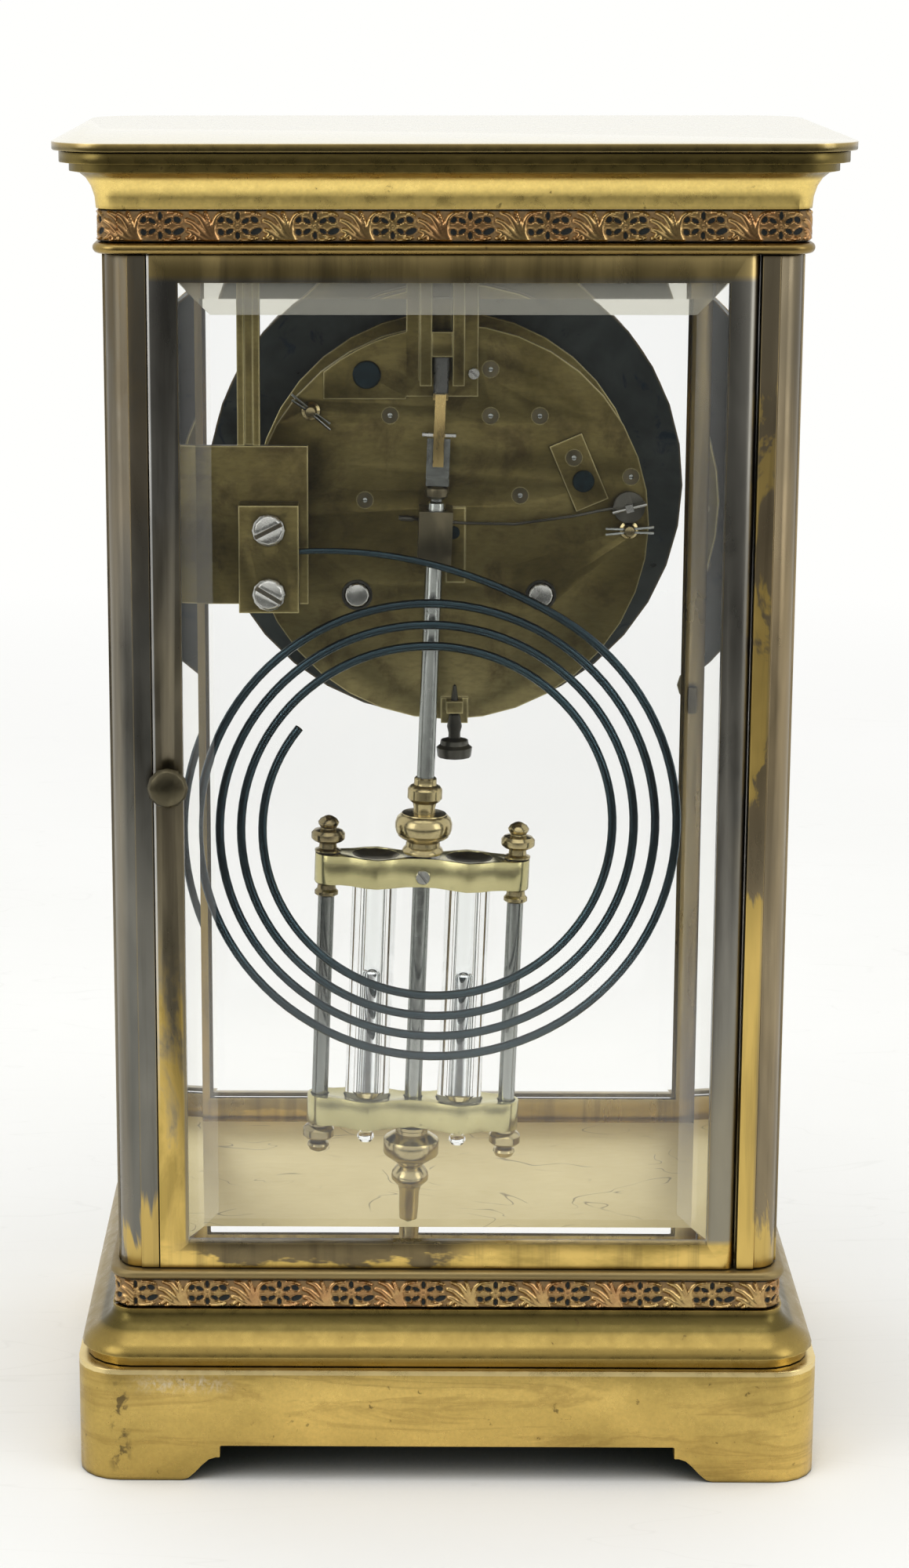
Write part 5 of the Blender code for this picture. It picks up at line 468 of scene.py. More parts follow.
def plate_brass(name):
    """Dark olive brass of the movement, stained, bright along its edges from painted highlights and wear,
    with painted shade in its corners.
    """
    metal = Surface(name)
    broad = metal.cloud(38.0, 5, 0.6, 0.6)
    stain = metal.cloud(90.0, 6, 0.65, 0.4, (1, 1, 1), (0.2, 0.1, 0.7))
    fine = metal.cloud(420.0, 4, 0.6, 0.0, (1, 1, 3))
    metal.start(metal.ramp(broad, (0.36, 0), (0.64, 1)), finishes().plate_brass, (0.19, 0.155, 0.060))
    metal.lay((0.26, 0.225, 0.105), metal.between(metal.coordinate(2), 0.205, 0.175, 0.0, 0.55))
    metal.lay((0.060, 0.042, 0.018), metal.ramp(stain, (0.50, 0), (0.66, 0.7)))
    metal.lay((0.045, 0.036, 0.015), metal.between(fine, 0.4, 0.8, 0.0, 0.3))
    # Painted highlights and wear along the edges, and painted shade with grime in the corners
    metal.lay((0.66, 0.58, 0.30), metal.highlit_and_worn_edge(0.6 * MM), 0.9)
    metal.body = metal.shade_and_grime(metal.crevice(1.0 * MM), metal.body, 0.6)
    metal.roughen(fine, 0.04, 0.1 * MM)
    return metal.finish(fine, 0.30, 0.44)


def small_metal(name, light, dark, gloss, patch=45.0, stretch=(1, 1, 0.15)):
    """A smooth small part: two near tones in soft bands, and painted shade with a little grime in its
    corners.
    """
    metal = Surface(name)
    soft = metal.cloud(patch, 3, 0.5, 0.3, stretch)
    fine = metal.cloud(500.0, 4, 0.6)
    metal.start(metal.ramp(soft, (0.38, 0), (0.62, 1)), dark, light)
    metal.lay((0.06, 0.05, 0.035), metal.ramp(fine, (0.66, 0), (0.76, 0.4)))
    # Painted shade and grime in the corners
    metal.body = metal.shade_and_grime(metal.crevice(0.8 * MM), metal.body, 0.7)
    return metal.finish(fine, *gloss)


def rod_steel(name):
    steel = finishes().steel
    return small_metal(name, steel, tuple(0.6 * channel for channel in steel), (0.16, 0.28))


def blued_steel(name):
    return small_metal(name, finishes().blued, (0.026, 0.042, 0.050), (0.16, 0.24), 30.0, (1, 1, 1))


def pan_black(name):
    """The dial pan: blue black lacquer with smudges, and brown along its rim from a painted highlight and
    wear.
    """
    metal = Surface(name)
    soft = metal.cloud(45.0, 4, 0.6, 0.5)
    smudge = metal.cloud(120.0, 5, 0.65, 0.8, (1, 1, 1), (0.4, 0.2, 0.1))
    metal.start(metal.ramp(soft, (0.36, 0), (0.62, 1)), (0.040, 0.048, 0.047), (0.075, 0.086, 0.084))
    metal.lay((0.016, 0.030, 0.045), metal.ramp(smudge, (0.60, 0), (0.68, 0.8)))
    # Painted rim highlight and wear along the pan's edge
    metal.lay((0.30, 0.23, 0.13), metal.highlit_and_worn_edge(0.9 * MM), 0.85)
    return metal.finish(smudge, 0.26, 0.46)


def suspension_metals(name):
    """The pendulum's suspension: a dark spring above, a brass hook below and a steel pin across."""
    metal = Surface(name)
    grain = metal.cloud(400.0, 3, 0.6, 0.0, (1, 1, 0.3))
    spring = metal.mix(grain, (0.05, 0.052, 0.050), (0.12, 0.12, 0.11))
    hook = metal.mix(grain, (0.34, 0.24, 0.09), (0.60, 0.46, 0.20))
    pin = metal.mix(grain, (0.35, 0.35, 0.33), (0.60, 0.60, 0.57))
    metal.start(metal.between(metal.coordinate(2), 0.2478, 0.2482), hook, spring)
    out = metal.size_of(metal.arithmetic("SUBTRACT", metal.coordinate(0), 0.0026))
    metal.lay(pin, metal.between(out, 0.00130, 0.00145), metal.inside(2, 0.2378, 0.2397, 0.1 * MM))
    return metal.finish(grain, 0.20, 0.34)


# Glass, mercury and enamel


def clear_glass(name, tint, index=1.5, clear_share=1.0):
    """Glass that lets lamps through to what stands behind it, milky where its clear share is below 1."""
    tint = tint or tuple(finishes().glass)
    glass = Surface(name)
    speck = glass.cloud(260.0, 3, 0.6)
    glass.shade({
        "Base Color": glass.ramp(speck, (0.70, tint), (0.82, tuple(0.93 * channel for channel in tint))),
        "Transmission Weight": clear_share,
        "IOR": index,
        "Specular IOR Level": 0.08,
        "Roughness": glass.between(speck, 0.74, 0.90, 0.0, 0.05),
    })
    path = glass.add("ShaderNodeLightPath", {})
    open_way = glass.add("ShaderNodeBsdfTransparent", {"Color": tint})
    either = {0: path.outputs["Is Shadow Ray"], 1: glass.shader.outputs[0], 2: open_way.outputs[0]}
    way = glass.add("ShaderNodeMixShader", either)
    glass.put(way.outputs[0], glass.tree.nodes["Material Output"].inputs["Surface"])
    return glass.material


def mercury(name):
    metal = Surface(name)
    haze = metal.cloud(300.0, 3)
    tone = metal.ramp(haze, (0.3, (0.92, 0.93, 0.93)), (0.7, (0.80, 0.82, 0.82)))
    metal.shade({"Base Color": tone, "Metallic": 1.0, "Roughness": 0.06})
    return metal.material


def dial_enamel(name):
    enamel = Surface(name)
    haze = enamel.cloud(60.0, 4)
    light = finishes().enamel
    enamel.body = enamel.ramp(haze, (0.4, light), (0.7, tuple(0.93 * channel for channel in light)))
    enamel.shade({"Coat Weight": 0.6, "Coat Roughness": 0.05})
    return enamel.finish(haze, 0.10, 0.20, 0.0)


def numeral_black(name):
    paint_layer = Surface(name)
    tone = paint_layer.ramp(paint_layer.cloud(400.0, 3), (0.3, 0.012), (0.7, 0.03))
    paint_layer.shade({"Base Color": tone, "Roughness": 0.3})
    return paint_layer.material


# Light tone, dark tone and roughness range, then the size and stretch of the bands where they differ
SMALL_METALS = {
    "edge_brass": ((0.46, 0.385, 0.20), (0.25, 0.205, 0.11), (0.16, 0.26)),
    "yoke_brass": ((0.60, 0.545, 0.285), (0.46, 0.42, 0.21), (0.20, 0.26), 46.0, (1, 1, 0.02)),
    "screw_steel": ((0.62, 0.62, 0.58), (0.48, 0.48, 0.45), (0.20, 0.30)),
    "dark_steel": ((0.085, 0.082, 0.068), (0.045, 0.043, 0.035), (0.28, 0.42), 70.0, (1, 1, 1)),
    "dark_bronze": ((0.18, 0.155, 0.095), (0.085, 0.074, 0.046), (0.28, 0.42), 90.0, (1, 1, 0.6)),
}
# Tint, index of refraction and clear share. The panes take the tint that a user can set.
GLASSES = {
    "pane_glass": (None, 1.25),
    "door_glass": (None, 1.5),
    "vial_glass": ((0.975, 0.985, 0.98), 1.5),
    "top_bevel_glass": ((0.72, 0.71, 0.64), 1.25, 0.87),
    "side_bevel_glass": ((0.99, 0.99, 0.975), 1.25, 0.972),
}
MATERIAL_MAKERS = {
    "case_brass": case_brass,
    "slab_brass": case_brass,
    "post_brass": post_brass,
    "door_brass": door_brass,
    "floor_brass": floor_brass,
    "frieze_copper": frieze_copper,
    "plate_brass": plate_brass,
    "rod_steel": rod_steel,
    "blued_steel": blued_steel,
    "pan_black": pan_black,
    "suspension_metals": suspension_metals,
    "mercury": mercury,
    "dial_enamel": dial_enamel,
    "numeral_black": numeral_black,
}
made_materials = {}


def material_of(name):
    """Each material is made once, when it is first asked for."""
    if name not in made_materials:
        if name in SMALL_METALS:
            made_materials[name] = small_metal(name, *SMALL_METALS[name])
        elif name in GLASSES:
            made_materials[name] = clear_glass(name, *GLASSES[name])
        else:
            made_materials[name] = MATERIAL_MAKERS[name](name)
    return made_materials[name]


# Mesh helpers


WELD_REACH = 0.002 * MM
FLAT_ANGLE = math.radians(1)
# Edges up to this angle are smooth, on the CAD's solids and on the pieces made here
SMOOTH_ANGLE = math.radians(35)
PIECE_SMOOTH_ANGLE = math.radians(28)


def smooth_group():
    """A modifier's tree that drops stored normals and shades smooth below an angle."""
    name = "clock_smooth_by_angle"
    if name in bpy.data.node_groups:
        return bpy.data.node_groups[name]
    tree = bpy.data.node_groups.new(name, "GeometryNodeTree")
    for way in ("INPUT", "OUTPUT"):
        tree.interface.new_socket("Geometry", in_out=way, socket_type="NodeSocketGeometry")
    nodes = Nodes(tree)
    begin = nodes.add("NodeGroupInput", {})
    angle = nodes.add("GeometryNodeInputMeshEdgeAngle", {})
    limit = nodes.add("FunctionNodeCompare", {0: angle.outputs["Unsigned Angle"], 1: SMOOTH_ANGLE})
    limit.operation = "LESS_EQUAL"
    plain = nodes.add("GeometryNodeRemoveAttribute", {"Geometry": begin.outputs[0], "Name": "custom_normal"})
    faces = nodes.add("GeometryNodeSetShadeSmooth", {"Geometry": plain.outputs["Geometry"]})
    inputs = {"Geometry": faces.outputs["Geometry"], "Shade Smooth": limit.outputs[0]}
    edges = nodes.add("GeometryNodeSetShadeSmooth", inputs)
    edges.domain = "EDGE"
    nodes.add("NodeGroupOutput", {0: edges.outputs["Geometry"]})
    return tree


def paint(node, material):
    """Gives a CAD node its finish and leaves its facets flat."""
    obj = NODES[node]
    for slot in obj.material_slots:
        slot.material = material_of(material)
    return obj


def dress(nodes, material, rounding=0.0):
    """Gives CAD nodes their finish, welds their facets, rounds their edges and shades them smooth."""
    for node in nodes.split():
        obj = paint(node, material)
        weld = obj.modifiers.new("weld", "WELD")
        weld.merge_threshold = WELD_REACH
        flat = obj.modifiers.new("flat", "DECIMATE")
        flat.decimate_type = "DISSOLVE"
        flat.angle_limit = FLAT_ANGLE
        if rounding:
            bevel = obj.modifiers.new("rounding", "BEVEL")
            bevel.width = rounding
            bevel.segments = 2
            bevel.limit_method = "ANGLE"
            bevel.angle_limit = SMOOTH_ANGLE
            bevel.miter_outer = "MITER_ARC"
        obj.modifiers.new("shade", "NODES").node_group = smooth_group()


def new_object(name, data):
    """An object in the scene."""
    obj = bpy.data.objects.new(name, data)
    bpy.context.scene.collection.objects.link(obj)
    return obj


def mesh_object(name, shape, material):
    """An object from a bmesh, with one material."""
    mesh = bpy.data.meshes.new(name)
    shape.to_mesh(mesh)
    shape.free()
    mesh.materials.append(material)
    return new_object(name, mesh)


def mesh_piece(name, shape, body, material, replaced=()):
    """A piece from a bmesh that rides on a body."""
    bmesh.ops.recalc_face_normals(shape, faces=shape.faces)
    obj = mesh_object(name, shape, material_of(material))
    obj.data.shade_smooth()
    obj.data.set_sharp_from_angle(angle=PIECE_SMOOTH_ANGLE)
    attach(obj, body)
    if replaced:
        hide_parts(*replaced)
    return obj


def bridge_rings(shape, first, second):
    """Joins two rings of equally many points with faces."""
    for i in range(len(first)):
        j = (i + 1) % len(first)
        shape.faces.new((first[i], first[j], second[j], second[i]))


def add_turned(shape, profile, origin, direction, steps=48, capped=True):
    """A profile of (radius, height) in millimetres turned about an axis through origin."""
    turn = UP.rotation_difference(Vector(direction).normalized()).to_matrix().to_4x4()
    matrix = Matrix.Translation(origin) @ turn
    rings = []
    for radius, height in profile:
        if radius <= 0:
            rings.append([shape.verts.new(matrix @ Vector((0, 0, height * MM)))])
            continue
        ring = []
        for i in range(steps):
            angle = FULL_TURN * i / steps
            spot = Vector((radius * math.cos(angle), radius * math.sin(angle), height)) * MM
            ring.append(shape.verts.new(matrix @ spot))
        rings.append(ring)
    for low, high in zip(rings, rings[1:]):
        for i in range(steps):
            j = (i + 1) % steps
            if len(low) == 1:
                shape.faces.new((low[0], high[j], high[i]))
            elif len(high) == 1:
                shape.faces.new((low[i], low[j], high[0]))
            else:
                shape.faces.new((low[i], low[j], high[j], high[i]))
    for ring in (rings[0], rings[-1]):
        if capped and len(ring) > 1:
            shape.faces.new(ring)
    return rings


def add_hoop(shape, profile, origin, direction, steps):
    """A profile that doesn't reach the axis, turned about it and closed into a hoop."""
    rings = add_turned(shape, profile, origin, direction, steps, capped=False)
    bridge_rings(shape, rings[-1], rings[0])


def add_tube(shape, route, radii, sides=12):
    """A tube along points, with caps; radii are given for each point."""
    rings = []
    side = None
    for i, spot in enumerate(route):
        before, after = route[max(i - 1, 0)], route[min(i + 1, len(route) - 1)]
        along = (after - before).normalized()
        if side is None:
            side = along.orthogonal().normalized()
        side = (side - along * side.dot(along)).normalized()
        other = along.cross(side)
        ring = []
        for k in range(sides):
            angle = FULL_TURN * k / sides
            ring.append(shape.verts.new(spot + (side * math.cos(angle) + other * math.sin(angle)) * radii[i]))
        rings.append(ring)
    for low, high in zip(rings, rings[1:]):
        for k in range(sides):
            j = (k + 1) % sides
            shape.faces.new((low[k], low[j], high[j], high[k]))
    shape.faces.new(rings[0][::-1])
    shape.faces.new(rings[-1])


def add_box(shape, low, high, place):
    """A box between two corners in millimetres, carried by a matrix in metres."""
    corners = []
    for x in (low[0], high[0]):
        for y in (low[1], high[1]):
            for z in (low[2], high[2]):
                corners.append(shape.verts.new(place @ (Vector((x, y, z)) * MM)))
    for face in ((0, 1, 3, 2), (4, 6, 7, 5), (0, 4, 5, 1), (2, 3, 7, 6), (0, 2, 6, 4), (1, 5, 7, 3)):
        shape.faces.new([corners[i] for i in face])


# Friezes and the door's glass


# A petal hole's centre, half width, half height and tilt, in millimetres and degrees
ROSETTE_HOLES = (
    (0.0, 2.15, 0.48, 0.85, 0),
    (0.0, -2.0, 0.48, 0.80, 0),
    (1.75, 1.10, 0.90, 0.48, 28),
    (-1.75, 1.10, 0.90, 0.48, -28),
    (1.75, -1.15, 0.90, 0.48, -28),
    (-1.75, -1.15, 0.90, 0.48, 28),
    (3.65, 1.35, 0.85, 0.62, -25),
    (-3.60, 1.35, 0.75, 0.62, 25),
    (3.95, -1.15, 1.25, 0.62, 22),
    (-3.60, -1.30, 0.75, 0.62, -25),
)
# A ridge's radius at its root, and the points that it runs through
LEAF_RIDGES = (
    (0.66, ((-4.6, -3.0), (-6.0, -1.5), (-7.1, 0.5), (-8.3, 2.1), (-9.9, 2.9))),
    (0.66, ((-4.9, -3.0), (-6.8, -2.1), (-8.2, -0.7), (-9.6, 0.6), (-10.9, 1.2))),
    (0.62, ((-5.3, -3.1), (-7.1, -2.8), (-8.6, -2.1), (-9.8, -1.2), (-10.7, -0.9))),
    (0.50, ((-4.7, -2.6), (-5.7, -0.7), (-6.2, 1.1), (-6.9, 2.9))),
    (0.46, ((-8.2, -2.2), (-9.0, -2.9), (-9.6, -3.1))),
    (0.46, ((-9.4, -1.4), (-10.2, -2.3), (-11.0, -2.6))),
    (0.52, ((-4.5, -3.0), (-5.1, -1.4), (-5.1, 0.4), (-4.5, 1.9), (-3.3, 2.8), (-1.7, 3.1))),
    (0.40, ((1.9, 3.1), (3.4, 2.9), (4.7, 2.3))),
    (0.40, ((1.2, -3.1), (2.8, -2.9), (4.2, -2.5))),
)
FRIEZE_WALL = 2.6 * MM
FRIEZE_FLOOR = -0.75 * MM
FRIEZE_RELIEF = 0.85 * MM
FRIEZE_CORNER = 5.0 * MM


def curve_points(points, steps=8):
    """A smooth line through points, from neighbouring slopes."""
    points = [np.array(point, float) for point in points]
    ends = [2 * points[0] - points[1], *points, 2 * points[-1] - points[-2]]
    line = []
    for a, b, c, d in zip(ends, ends[1:], ends[2:], ends[3:]):
        for i in range(steps):
            t = i / steps
            bend = (2 * a - 5 * b + 4 * c - d) * t * t
            line.append(0.5 * (2 * b + (c - a) * t + bend + (3 * b - a - 3 * c + d) * t**3))
    line.append(points[-1])
    return np.array(line)


def rosette_height(along, up):
    """Height of the rosette with its petal holes, and of the ground round it, from 0 to 1."""
    inside_it = np.clip((3.35 - np.hypot(along * 0.62, up)) / 0.5, 0, 1)
    plate = 0.30 + 0.22 * inside_it
    for x, z, half_x, half_z, tilt in ROSETTE_HOLES:
        turn = math.radians(tilt)
        dx, dz = along - x, up - z
        across = (dx * math.cos(turn) + dz * math.sin(turn)) / (half_x * 1.10)
        tall = (-dx * math.sin(turn) + dz * math.cos(turn)) / (half_z * 1.10)
        reach = np.hypot(across, tall)
        plate += 0.16 * np.exp(-(((reach - 1.25) / 0.22) ** 2))
        plate *= np.clip((reach - 0.8) / 0.35, 0, 1)
    boss = 0.75 * np.sqrt(np.clip(1 - (np.hypot(along, up) / 0.62) ** 2, 0, 1))
    return np.maximum(plate, boss)


def leaf_height(along, up):
    """Height of the leaf beside the rosette, from 0 to 1, at places in millimetres from the rosette."""
    height = np.zeros(along.shape)
    for radius, points in LEAF_RIDGES:
        line = curve_points(points)
        for i, (x, z) in enumerate(line):
            width = radius * (1.15 - 0.35 * (i / (len(line) - 1))) * 1.25
            reach = np.hypot(along - x, up - z) / width
            height = np.maximum(height, 0.95 * np.sqrt(np.clip(1 - reach**2, 0, 1)))
    body = np.clip((1.9 - np.hypot((along + 7.2) * 0.55, up + 1.0)) / 0.6, 0, 1) * 0.46
    return np.maximum(height, body)


def perimeter(half_x, half_y, radius, step):
    """Spots and outward directions round a rectangle with round corners, with the straight part's place.

    It starts on the rear face and runs to the right as seen from outside.
    """
    straight_x, straight_y = half_x - radius, half_y - radius
    spots = []
    faces = (
        (Vector((0, 1, 0)), Vector((-1, 0, 0)), half_y, straight_x),
        (Vector((-1, 0, 0)), Vector((0, -1, 0)), half_x, straight_y),
        (Vector((0, -1, 0)), Vector((1, 0, 0)), half_y, straight_x),
        (Vector((1, 0, 0)), Vector((0, 1, 0)), half_x, straight_y),
    )
    for face, (outward, along, reach, straight) in enumerate(faces):
        count = round(2 * straight / step)
        for i in range(count):
            place = -straight + 2 * straight * i / count
            spots.append((outward * reach + along * place, outward, face, place))
        count = round(math.pi / 2 * radius / step)
        centre = outward * (reach - radius) + along * straight
        for i in range(count):
            angle = math.pi / 2 * i / count
            direction = outward * math.cos(angle) + along * math.sin(angle)
            spots.append((centre + direction * radius, direction, face, straight + radius * angle))
    return spots


def frieze_field(spots, up, pitch, phase):
    """The relief's height from 0 to 1, at each spot along the band and each millimetre up it."""
    along = np.empty(len(spots))
    for i, (_, _, face, place) in enumerate(spots):
        offset = (place + (phase if face == 0 else 0.0)) / pitch
        along[i] = (offset - round(offset)) * pitch / MM
    grid_along, grid_up = np.meshgrid(along, up, indexing="ij")
    field = rosette_height(grid_along, grid_up)
    for turn in (-1, 0, 1):
        field = np.maximum(field, leaf_height(grid_along - turn * (pitch / MM), grid_up))
    return field, grid_up


def make_frieze(name, node, phase):
    """The ornament band in front of a plain frieze: rosettes between curling leaves, all the way round."""
    low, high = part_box(node)
    step = sizes().relief_step
    spots = perimeter(high.x, high.y, FRIEZE_CORNER, step)
    height = high.z - low.z
    rows = round(height / step)
    rises = np.array([low.z + height * i / rows for i in range(rows + 1)])
    field, grid_up = frieze_field(spots, (rises - (low.z + high.z) / 2) / MM, sizes().rosette_pitch, phase)
    edge = np.clip((height / 2 / MM - np.abs(grid_up)) / 0.35, 0, 1)
    field *= 0.35 + 0.65 * edge
    shape = bmesh.new()
    layer = shape.verts.layers.float.new("relief")
    columns = []
    for i, (spot, outward, _, _) in enumerate(spots):
        column = []
        for j, rise in enumerate(rises):
            lift = FRIEZE_FLOOR + FRIEZE_RELIEF * field[i, j]
            vert = shape.verts.new((spot.x + outward.x * lift, spot.y + outward.y * lift, rise))
            vert[layer] = field[i, j]
            column.append(vert)
        inner = spot.x - outward.x * FRIEZE_WALL, spot.y - outward.y * FRIEZE_WALL
        column += [shape.verts.new((*inner, rise)) for rise in (rises[-1], rises[0])]
        columns.append(column)
    for column, after in zip(columns, [*columns[1:], columns[0]]):
        for j in range(len(column)):
            k = (j + 1) % len(column)
            shape.faces.new((column[j], after[j], after[k], column[k]))
    obj = mesh_piece(name, shape, "case", "frieze_copper", (node,))
    obj.data.shade_smooth()


def make_glass_bevels():
    """The slanted top and side edges of the rear door's pane, mitred at their corners."""
    low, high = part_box("rear_door_glass")
    centre = (low + high) / 2
    margin, width = 0.6 * MM, 7.0 * MM
    outer = Vector(((high.x - low.x) / 2 - margin, 0, (high.z - low.z) / 2 - margin))
    inner = outer - Vector((width, 0, width))
    section = ((outer, 0.02), (outer, 0.22), (inner, 0.04), (inner, 0.02))
    edges = (("top", (-1, 1), (1, 1)), ("left", (1, 1), (1, -1)), ("right", (-1, -1), (-1, 1)))
    for edge, *corners in edges:
        shape = bmesh.new()
        rings = []
        for side_x, side_z in corners:
            ring = []
            for reach, lift in section:
                spot = Vector((centre.x + side_x * reach.x, high.y + lift * MM, centre.z + side_z * reach.z))
                ring.append(shape.verts.new(spot))
            rings.append(ring)
        bridge_rings(shape, rings[0], rings[1])
        for ring in rings:
            shape.faces.new(ring)
        finish = "top_bevel_glass" if edge == "top" else "side_bevel_glass"
        mesh_piece(f"rear_glass_{edge}_bevel", shape, "rear_door", finish)


# Pendulum pieces


COLLARS = (
    (0, 0.35), (3.6, 0.35), (4.6, 0.7), (4.8, 1.2), (4.5, 1.8), (4.0, 2.3), (3.9, 3.4), (4.3, 3.9),
    (5.3, 4.3), (5.9, 4.8), (5.75, 5.0), (6.3, 5.5), (6.6, 6.6), (6.6, 7.8), (6.2, 9.0), (5.5, 9.7),
    (5.2, 9.9), (5.1, 10.1), (2.6, 10.3), (2.5, 11.4), (2.8, 12.6), (3.5, 13.0), (4.0, 13.7),
    (4.0, 15.8), (3.5, 16.5), (2.7, 16.9), (2.6, 17.4), (2.6, 18.3), (2.3, 18.6), (0, 18.6),
)
TOP_FINIAL = (
    (0, 0.3), (3.0, 0.3), (3.0, 0.7), (2.1, 1.1), (2.0, 2.2), (3.3, 2.8), (3.85, 3.3), (3.9, 3.6),
    (3.9, 4.6), (3.3, 5.3), (2.0, 5.7), (1.8, 5.95), (2.3, 6.6), (2.45, 7.2), (1.9, 8.0), (0.9, 8.6),
    (0, 8.85),
)
ROD_RING = (
    (1.95, -7.1), (2.7, -7.1), (2.1, -7.6), (2.2, -8.6), (2.75, -9.2), (2.75, -9.9), (2.2, -10.3),
    (1.95, -10.3),
)
FOOT_FINIAL = (
    (0, -0.3), (2.5, -0.3), (2.5, -1.0), (3.2, -1.4), (3.65, -2.0), (3.65, -3.6), (3.0, -4.2),
    (1.8, -4.5), (1.7, -4.9), (2.4, -5.4), (2.55, -6.0), (2.0, -7.0), (0.9, -7.6), (0, -7.8),
)
YOKE_CAP = ((0, -1.0), (3.5, -0.9), (4.8, -0.4), (5.45, -0.1), (5.45, -0.9), (0, -1.4))
SIDE_ROD = ((0, 0.5), (1.9, 0.5), (1.9, -65.4), (0, -65.4))
MIDDLE_ROD = (
    (0, -30.5), (1.35, -30.5), (1.35, -32.4), (1.9, -32.8), (2.0, -33.2), (2.0, -180.2), (1.3, -180.9),
    (1.3, -203.6), (0.9, -204.4), (0, -204.9),
)
ROD_COLLAR = ((0, -28.9), (2.0, -28.9), (2.6, -29.4), (2.7, -30.2), (2.5, -31.2), (1.6, -31.8), (0, -31.8))
NUT = (
    (0, 0), (4.1, 0), (4.1, -0.7), (3.8, -0.95), (3.8, -1.8), (4.4, -2.05), (6.3, -3.3), (6.5, -3.7),
    (6.5, -6.7), (6.3, -7.1), (3.0, -9.5), (2.9, -9.9), (3.4, -10.4), (4.2, -11.6), (4.4, -12.6),
    (4.3, -13.4), (3.6, -14.2), (2.75, -15.0), (2.35, -16.6), (2.3, -20.0), (2.1, -23.2), (0, -23.2),
)
VIAL_OUTSIDE = (
    (0, -65.3), (1.4, -64.9), (2.0, -64.0), (1.9, -63.2), (1.2, -62.2), (1.2, -58.4), (1.5, -57.6),
    (4.9, -57.0), (5.2, -56.2), (5.2, -0.5), (4.9, 0.0), (2.35, 0.0),
)
VIAL_BORE = ((0, -53.9), (1.5, -53.4), (2.3, -52.2), (2.3, -0.4), (2.35, 0.0))
MERCURY_TOP = -22.6
MERCURY_COLUMN = (
    (0, -53.4), (1.4, -52.9), (2.1, -51.9), (2.1, MERCURY_TOP - 0.5), (1.8, MERCURY_TOP - 0.1),
    (0.9, MERCURY_TOP + 0.25), (0, MERCURY_TOP + 0.35),
)


def pendulum_across():
    """The direction of the yokes, square to the rod."""
    return REAR.cross(PENDULUM_RISE).normalized()


def hang(drop, offset=0.0):
    """The spot this far below the pendulum's pivot and to its side, in millimetres along its lean."""
    return PENDULUM_PIVOT - PENDULUM_RISE * (drop * MM) + pendulum_across() * offset * MM


def hung_piece(name, turnings, material, replaced=(), body="pendulum", boxes=()):
    """One piece of turnings (profile, spot, steps) about the pendulum's lean, and boxes from its pivot."""
    shape = bmesh.new()
    for profile, spot, steps in turnings:
        add_turned(shape, profile, spot, PENDULUM_RISE, steps)
    turn = Matrix((pendulum_across(), REAR, PENDULUM_RISE)).transposed()
    for low, high in boxes:
        add_box(shape, low, high, Matrix.Translation(PENDULUM_PIVOT) @ turn.to_4x4())
    mesh_piece(name, shape, body, material, replaced)


def make_pendulum_turnings():
    """The collars over the upper yoke, the finials on the side rods and the vials' caps."""
    hung_piece("pendulum_collars", [(COLLARS, hang(YOKE_TOP_DROP), 48)], "edge_brass")
    for hand, side in SIDES:
        top = hang(YOKE_TOP_DROP, side * SIDE_ROD_OFFSET)
        foot = hang(YOKE_FOOT_DROP, side * SIDE_ROD_OFFSET)
        turnings = [(TOP_FINIAL, top, 48), (ROD_RING, top, 48), (FOOT_FINIAL, foot, 48)]
        hung_piece(f"{hand}_rod_finials", turnings, "edge_brass")
    caps = [(YOKE_CAP, hang(YOKE_TOP_DROP, side * VIAL_OFFSET), 48) for _, side in SIDES]
    hung_piece("yoke_caps", caps, "dark_bronze")


def make_rods():
    """The steel rods: one each side, and the middle one with its fork plate, its collar and the nut."""
    for hand, side in SIDES:
        rod = [(SIDE_ROD, hang(YOKE_TOP_DROP, side * SIDE_ROD_OFFSET), 32)]
        hung_piece(f"{hand}_rod_steel", rod, "rod_steel", (f"{hand}_side_rod",))
    fork = (((-2.6, -1.8, -28.8), (2.6, -0.45, -18.3)), ((-2.6, -1.8, -28.8), (2.6, 1.6, -27.3)))
    rod = [(MIDDLE_ROD, PENDULUM_PIVOT, 32)]
    hung_piece("middle_rod_steel", rod, "rod_steel", ("pendulum_rod",), boxes=fork)
    hung_piece("rod_collar", [(ROD_COLLAR, PENDULUM_PIVOT, 32)], "dark_bronze")
    nut = [(NUT, hang(YOKE_FOOT_DROP + 0.3), 48)]
    hung_piece("rating_nut_turned", nut, "edge_brass", ("rating_nut",), "rating_nut")


def make_vials():
    """Glass vials with a thick wall and a rounded floor, and the mercury in them."""
    for hand, side in SIDES:
        top = hang(YOKE_TOP_DROP + 5.0, side * VIAL_OFFSET)
        shape = bmesh.new()
        for profile in (VIAL_OUTSIDE, VIAL_BORE):
            add_turned(shape, profile, top, PENDULUM_RISE, 64, capped=False)
        bmesh.ops.remove_doubles(shape, verts=shape.verts, dist=0.001 * MM)
        mesh_piece(f"{hand}_vial_blown", shape, "pendulum", "vial_glass", (f"{hand}_vial",))
        column = [(MERCURY_COLUMN, top, 48)]
        hung_piece(f"{hand}_mercury_column", column, "mercury", (f"{hand}_mercury",))


# Gong


GONG_CENTRE = Vector((3.9, 40.0, 150.2)) * MM
GONG_RADIUS = 57.2 * MM
GONG_PITCH = 4.87 * MM
GONG_TURNS = 3.93
GONG_START = math.radians(64)
# The wire's first part runs out to the block, over this turn and this far, and is drawn thinner
LEAD_TURN = math.radians(56)
LEAD_REACH = 13.6 * MM


